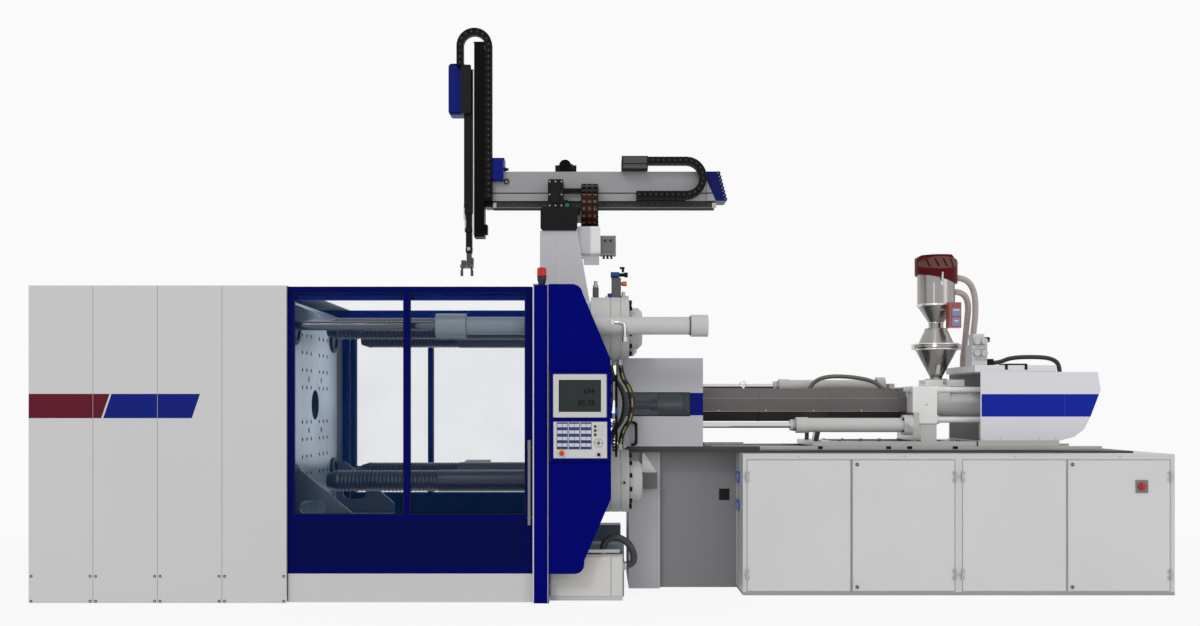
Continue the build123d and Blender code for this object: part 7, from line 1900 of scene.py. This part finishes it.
@dataclass
class Cabinets(SubAssembly):
    """Painted shade at the door gaps, lock slots, sockets and screws of the injection side's cabinets."""

    door_spans: tuple[Span, ...] = ((1131, 1933), (1943, 2737), (2790, 3596), (3601, 4396))
    z: Span = (28.0, 1047.0)
    front: float = -787.0
    side: float = 1088.0

    def steps(self) -> Steps:
        """Methods that dress and build the cabinets, in order."""
        return self.dress, self.doors, self.sockets, self.neck

    def dress(self) -> None:
        """Finishes of the cabinets' CAD nodes."""
        paint = self.shop.paint
        paint(CABINET_PAINT, "injection_bed")
        paint(DOOR_PAINT, *(f"cabinet_door_{number}" for number in range(1, 5)))
        paint(SWITCH_RED, "main_switch")
        paint(DECK, "way_covers")

    def doors(self) -> None:
        """Grey rings on the doors' edges as painted shade of the gaps, lock slots of the doors, and the
        screws above them.
        """
        add = self.shop.add
        low, high = self.z
        for number, (left, right) in enumerate(self.door_spans, 1):
            # Painted shade: a thin grey ring on each door's edge stands for the dark gap round it.
            outer = rounded((low + 1, high - 1), (left + 1, right - 1), 3, 2)
            inner = rounded((low + 6, high - 6), (left + 6, right - 6), 2, 2)
            gap_shade = frame_ring(outer, inner, Axis.Y, (self.front - 1, self.front))
            add(f"door_gap_shade_{number}", gap_shade, JOINT_GREY, f"cabinet_door_{number}")
        collar = lathe(((-1, 15), (-3, 15), (-3, 12), (-1, 12)), Axis.Y, count=20, ring=True)
        slot = box((-9, 9), (-2, 0), (-1.6, 1.6)) + collar
        for number, spot in ((2, 1981.0), (4, 3639.0)):
            slots = slot.copies(lattice((spot,), (self.front - 4,), (64, 1008)))
            add(f"lock_slots_{number}", slots, MACHINED, f"cabinet_door_{number}")
        heads = lattice((1531, 2343, 3195, 4006), (self.front,), (1070,))
        self.front_screws("cabinet_screws", heads, "root", 6, 3)

    def sockets(self) -> None:
        """Blue sockets with grey lids on the cabinets' side, and the opening for the cables."""
        add = self.shop.add
        x = (self.side, self.side + 13)
        sockets = box(x, (-590, -420), (855, 940)) + box(x, (-590, -430), (640, 712))
        add("side_sockets", sockets, SOCKET_BLUE, "root", 3)
        x = (self.side - 5, self.side)
        lids = box(x, (-575, -505), (868, 928)) + box(x, (-575, -515), (650, 702))
        add("socket_lids", lids, CONNECTOR_GREY, "root", 2)
        entry = box((959, 1044), (-374.5, -373), (701, 794))
        add("cable_entry", entry, BLACK_PAINT, "root", 1)

    def neck(self) -> None:
        """Brace and joint of the neck towards the clamp unit, and the floor feet."""
        add = self.shop.add
        brace = prism(np.array(((930, 336), (930, 451), (1084, 354), (1084, 336))), Axis.Y, (-472, -469))
        # Painted light: the brace is in the lit copy of the white paint.
        add("neck_brace", brace, LIT_WHITE_PAINT, "root")
        seam = box((454, 456), (-441, -440), (6, 1088))
        add("neck_joint", seam, JOINT_GREY, "root")
        foot = lathe(((0, 26), (8, 26), (12, 12), (27, 12)), Axis.Z, count=16)
        feet = foot.copies(lattice((1180, 2760, 4350), (-740, 740), (0,)))
        add("cabinet_feet", feet, BLACK_PLASTIC, "root")


@dataclass
class Injection(SubAssembly):
    """Details of the hood, barrel cover, carriage, its cylinders and the rear cover."""

    cover_x: Span = (700.0, 2535.0)
    facet: float = 56.3
    cover_front: float = -136.0
    strap_size: float = 1.012
    axis_z: float = 1470.0
    cylinders: tuple[Span, ...] = ((-450.0, 1307.0), (450.0, 1633.0))
    bolt_half: float = 49.0
    bars: tuple[Span, ...] = ((-250.0, 1348.0), (-250.0, 1592.0), (250.0, 1348.0), (250.0, 1592.0))
    hood_front: float = -545.0
    rear_front: float = -420.0

    def steps(self) -> Steps:
        """Methods that dress and build the injection unit, in order."""
        return self.dress, self.hood, self.barrel, self.carriage, self.rear

    def dress(self) -> None:
        """Finishes of the injection unit's CAD nodes."""
        paint = self.shop.paint
        paint(HOOD_PAINT, "nozzle_guard")
        paint(HOOD_PANE, "nozzle_guard_window")
        paint(MACHINED, "carriage_frame", "injection_piston", "screw", "barrel")
        paint(WHITE_PAINT, "carriage_cylinders")
        # Painted light: the injection cylinder and feed housing get the lit copy of the white paint.
        paint(LIT_WHITE_PAINT, "injection_cylinder", "feed_housing")
        paint(CHROME, "carriage_rods")
        paint(BARREL_COVER, "barrel_cover")
        paint(REAR_PAINT, "rear_cover")

    def hood(self) -> None:
        """Gasket of the hood's window, its bow handle and its screws."""
        add = self.shop.add
        outer, inner = rounded((1378, 1568), (177, 716), 8, 3), rounded((1385, 1561), (184, 709), 4, 3)
        ring = frame_ring(outer, inner, Axis.Y, (self.hood_front - 1.5, self.hood_front))
        add("hood_gasket", ring, BLACK_PLASTIC, "nozzle_guard")
        bow = (
            (252, -546, 1152), (272, -585, 1152), (284, -592, 1170),
            (284, -592, 1312), (272, -585, 1330), (252, -546, 1330),
        )
        grip = tube(spline(np.array(bow) * MM), 10 * MM, 12)
        add("hood_bow", grip, BLACK_PLASTIC, "nozzle_guard")
        spots = lattice((170, 790), (self.hood_front,), (1165, 1815))
        self.front_screws("hood_screws", spots, "nozzle_guard", 6, 3)

    def barrel(self) -> None:
        """Folded edges, their screws and straps of the barrel's cover."""
        add = self.shop.add
        x, y = (self.cover_x[0] + 20, self.cover_x[1] - 60), self.cover_front
        low, high = self.axis_z - self.facet + 1, self.axis_z + self.facet - 3
        folds = box(x, (y - 0.8, y), (low, low + 3)) + box(x, (y - 0.6, y), (high, high + 2))
        add("cover_folds", folds, EDGE_STEEL, "carriage", slot="cover_steel")
        spots = lattice((980, 1370, 1765, 2160), (y,), (low + 8,))
        self.front_screws("cover_fold_screws", spots, "carriage", 5, 2.5, CHROME)
        angle = (np.arange(8) + 0.5) / 8 * TURN
        outline = -y / np.cos(TURN / 16) * np.column_stack((np.cos(angle), np.sin(angle)))
        centre = (0.0, self.axis_z)
        bands = [
            frame_ring(centre + outline * self.strap_size, centre + outline, Axis.X, (start, start + 12))
            for start in (1310, 1900, 2468)
        ]
        add("cover_straps", joined(bands), STRAP_STEEL, "carriage")

    def carriage(self) -> None:
        """Nuts of the column bars; bolts, rings and port of the cylinders; seals and screws of the slider."""
        add = self.shop.add
        nut = lathe(((-58, 14), (-56, 18), (-36, 18), (-34, 27), (-3, 27), (0, 25)), Axis.X, count=24)
        nuts = nut.copies(at_x(self.cover_x[1], self.bars))
        add("column_nuts", nuts, WHITE_PAINT, "carriage")
        half = (-self.bolt_half, self.bolt_half)
        corners = [(y + dy, z + dz) for y, z in self.cylinders for dy in half for dz in half]
        bolts = lathe(((-14, 7), (-12, 9), (0, 9)), Axis.X, count=6).copies(at_x(2417, corners))
        add("cylinder_bolts", bolts, DARK_INSERT, "carriage", sharp=25)
        groove = lathe(((0, 44), (2, 47), (8, 47), (10, 44)), Axis.X, ring=True)
        spots = np.array([(x, y, z) for y, z in self.cylinders for x in (1538, 1552)]) * MM
        add("gland_rings", groove.copies(spots), EDGE_STEEL, "carriage")
        profile = ((0, 0.5), (0, 12), (6, 12), (8, 20), (30, 20), (34, 26), (44, 26))
        port = lathe(profile, Axis.Y, (2455, -574, self.cylinders[0][1]), 20)
        add("cylinder_port", port, WHITE_PAINT, "carriage")
        lows = np.array([(x, -372, 1112) for x in (1760, 2312, 2482, 2850)])
        seals = boxes(lows, lows + (36, 10.5, 23.5)).both()
        add("slider_seals", seals, BLACK_PLASTIC, "carriage", 1.5)
        plug = lathe(((-1.5, 0.5), (-1.5, 8), (0, 8)), Axis.Y, (2647, -320, self.axis_z), 16)
        add("block_plug", plug, CONNECTOR_GREY, "carriage")
        heads = lattice(np.arange(1780, 3000, 160), (-300, -360), (1175,))
        screws = screw(Axis.Z, 1, 7, 5).copies(heads).both()
        add("slider_screws", screws, DARK_INSERT, "carriage")

    def rear(self) -> None:
        """Stripe joint, lifting handle and screws of the rear cover, and the valves' seams and coils."""
        add = self.shop.add
        front = self.rear_front
        joint = box((3726, 3728), (front - 0.8, front), (1376, 1553))
        add("stripe_joint", joint, STRIPE_EDGE, "carriage")
        grip = prism(rounded((1789, 1801), (3256, 3440), 4, 3), Axis.Y, (-392, -250), 2)
        legs = [box(x, (-394, -390.3), (1752, 1798)) for x in ((3258, 3280), (3416, 3438))]
        add("cover_handle", joined((grip, *legs)), BLACK_PLASTIC, "carriage", 1.5)
        seams = [box((3058, 3186), (-181, -180), (low, low + 4)) for low in (1836, 1925, 1962, 2010)]
        add("valve_seams", joined(seams), JOINT_GREY, "carriage")
        coil = lathe(((0, 24), (3, 27), (38, 27), (41, 24)), Axis.Y, count=20)
        coils = coil.copies(lattice((3092, 3152), (-226,), (1895, 1990)))
        add("valve_coils", coils, WHITE_PAINT, "carriage")
        spots = lattice((3060, 3210, 3520, 3650), (front,), (1200,))
        self.front_screws("rear_cover_screws", spots, "carriage", 5, 2.5, EDGE_STEEL)


@dataclass
class Hopper(SubAssembly):
    """Details of the hopper, the loader above it, its cap and its control box."""

    axis_x: float = 2816.0
    slope: float = 125 / 232
    body_radius: float = 153.5
    cap_radius: float = 173.5
    clamp_half: float = 194.0
    bolt_half: float = 72.0
    box_x: Span = (2860.0, 2960.0)
    box_front: float = -220.0

    def steps(self) -> Steps:
        """Methods that dress and build the hopper and its loader, in order."""
        return self.dress, self.rims, self.sight, self.gate, self.cap, self.control

    def dress(self) -> None:
        """Finishes of the hopper's CAD nodes."""
        paint = self.shop.paint
        paint(HOPPER_STEEL, "hopper", "loader")
        paint(STAINLESS, "slide_gate")
        paint(CAP_PAINT, "loader_cap")

    def rims(self) -> None:
        """Rolled rims of the hopper and the loader, each a circle turned round the axis."""
        arc = np.linspace(0, TURN, 12, endpoint=False)
        rims = [
            lathe(
                np.column_stack((level + size * np.sin(arc), radius + size * np.cos(arc))), Axis.Z,
                (self.axis_x, 0, 0), 64, True,
            )
            for radius, level, size in (
                (182, 1974, 8), (176, 1932, 7), (154, 2298, 8), (156, 2306, 5), (61, 2155, 5),
            )
        ]
        self.shop.add("hopper_rims", joined(rims), RIM_STEEL, "carriage")

    def sight(self) -> None:
        """Sight window in the hopper's cone, laid in the plane of its slope."""
        add = self.shop.add
        slope = self.slope
        along = np.array(((0.0, -slope, 1.0),)) / np.hypot(slope, 1)
        across = np.array(((0.0, -1.0, -slope),)) / np.hypot(slope, 1)
        centre = np.array(((self.axis_x - 6, -(46 + slope * 65) + 0.5, 1765.0),)) * MM
        inner = rounded((-15, 15), (-42, 42), 14.9)
        pane = prism(inner, Axis.Y, (-1, 3), 1).placed(centre, along, across)
        add("sight_pane", pane, SIGHT_WHITE, "carriage")
        rim = frame_ring(rounded((-20, 20), (-47, 47), 19.5), inner, Axis.Y, (-1, 4))
        add("sight_rim", rim.placed(centre, along, across), RIM_STEEL, "carriage")

    def gate(self) -> None:
        """Toggle clamps of the hopper's lid, and the bolts and knob of the slide gate."""
        add = self.shop.add
        sides = self.axis_x + np.array((-self.clamp_half, self.clamp_half))
        clamp = box((-10, 14), (-14, 14), (-26, 22)) + box((-22, 8), (-9, 9), (8, 16))
        clamps = clamp.copies(lattice(sides, (0,), (1956,)))
        add("hopper_clamps", clamps, RIM_STEEL, "carriage", 2)
        sides = self.axis_x + np.array((-self.bolt_half, self.bolt_half))
        bolt = lathe(((0, 8), (8, 8), (10, 6)), Axis.Z, count=6)
        bolts = bolt.copies(lattice(sides, (-50, 50), (1677.7,)))
        add("gate_bolts", bolts, MACHINED, "carriage", sharp=25)
        knob = lathe(((-30, 0.5), (-30, 13), (-10, 15), (0, 11)), Axis.Y, (self.axis_x + 40, -104, 1660), 20)
        add("gate_knob", knob, CONNECTOR_GREY, "carriage")

    def cap(self) -> None:
        """Lighter crown of the cap with its dark slots, the clip that holds it and the loader's seam."""
        add = self.shop.add
        centre, radius = (self.axis_x, 0.0), self.cap_radius
        crown = wrapped(centre, (radius - 2, radius + 1.2), -92, 146, (2594, 2694), oval=True)
        add("cap_crown", crown, CAP_BROWN, "carriage")
        slots = [
            wrapped(centre, (radius, radius + 2.4), middle, 5, (2612, 2676), -11)
            for middle in (-122, -98, -76, -54)
        ]
        add("cap_slots", joined(slots), CAP_SLOT, "carriage")
        clip = prism(rounded((2452, 2500), (2806, 2830), 6, 3), Axis.Y, (-166, -153), 2)
        hook = prism(rounded((2490, 2560), (2811, 2825), 6, 3), Axis.Y, (-184, -173), 2)
        eye = lathe(((0, 0.5), (0, 7), (6, 9), (11, 9)), Axis.Y, (2818, -188, 2556), 16)
        add("cap_clip", joined((clip, hook, eye)), CHROME, "carriage")
        seam = wrapped(centre, (self.body_radius - 1, self.body_radius + 1), -112, 3, (2312, 2480))
        add("loader_seam", seam, RIM_STEEL, "carriage")

    def control(self) -> None:
        """Two front panels with light fields on the control box, and its row of screws."""
        add = self.shop.add
        (left, right), y = self.box_x, self.box_front
        fronts = [
            prism(rounded(z, (left + 24, right - 6), 4, 3), Axis.Y, (y - 3, y), 1)
            for z in ((2114, 2184), (2196, 2262))
        ]
        add("control_panels", joined(fronts), PANEL_BLUE, "carriage")
        depth = (y - 4, y - 3)
        fields = box((left + 34, right - 18), depth, (2240, 2252))
        fields = fields + box((left + 44, right - 26), depth, (2150, 2164))
        add("control_fields", fields, KEY_WHITE, "carriage")
        spots = lattice((left + 10,), (y,), np.arange(2120, 2300, 22))
        self.front_screws("control_marks", spots, "carriage", 4, 2, EDGE_STEEL)


def plain(corners: Sequence[Sequence[float]]) -> list[list[float]]:
    """Corners as plain lists of numbers."""
    return [[float(part) for part in corner] for corner in corners]


def main() -> None:
    """Load the frame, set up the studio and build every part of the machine."""
    logging.basicConfig(level=logging.INFO, format="%(message)s")
    shop = Workshop()
    Studio().build()
    for part in (HoseSet, ClampUnit, OperatorSide, Cabinets, Injection, Hopper, Robot):
        part(shop).build()
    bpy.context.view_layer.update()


if __name__ == "__main__":
    main()
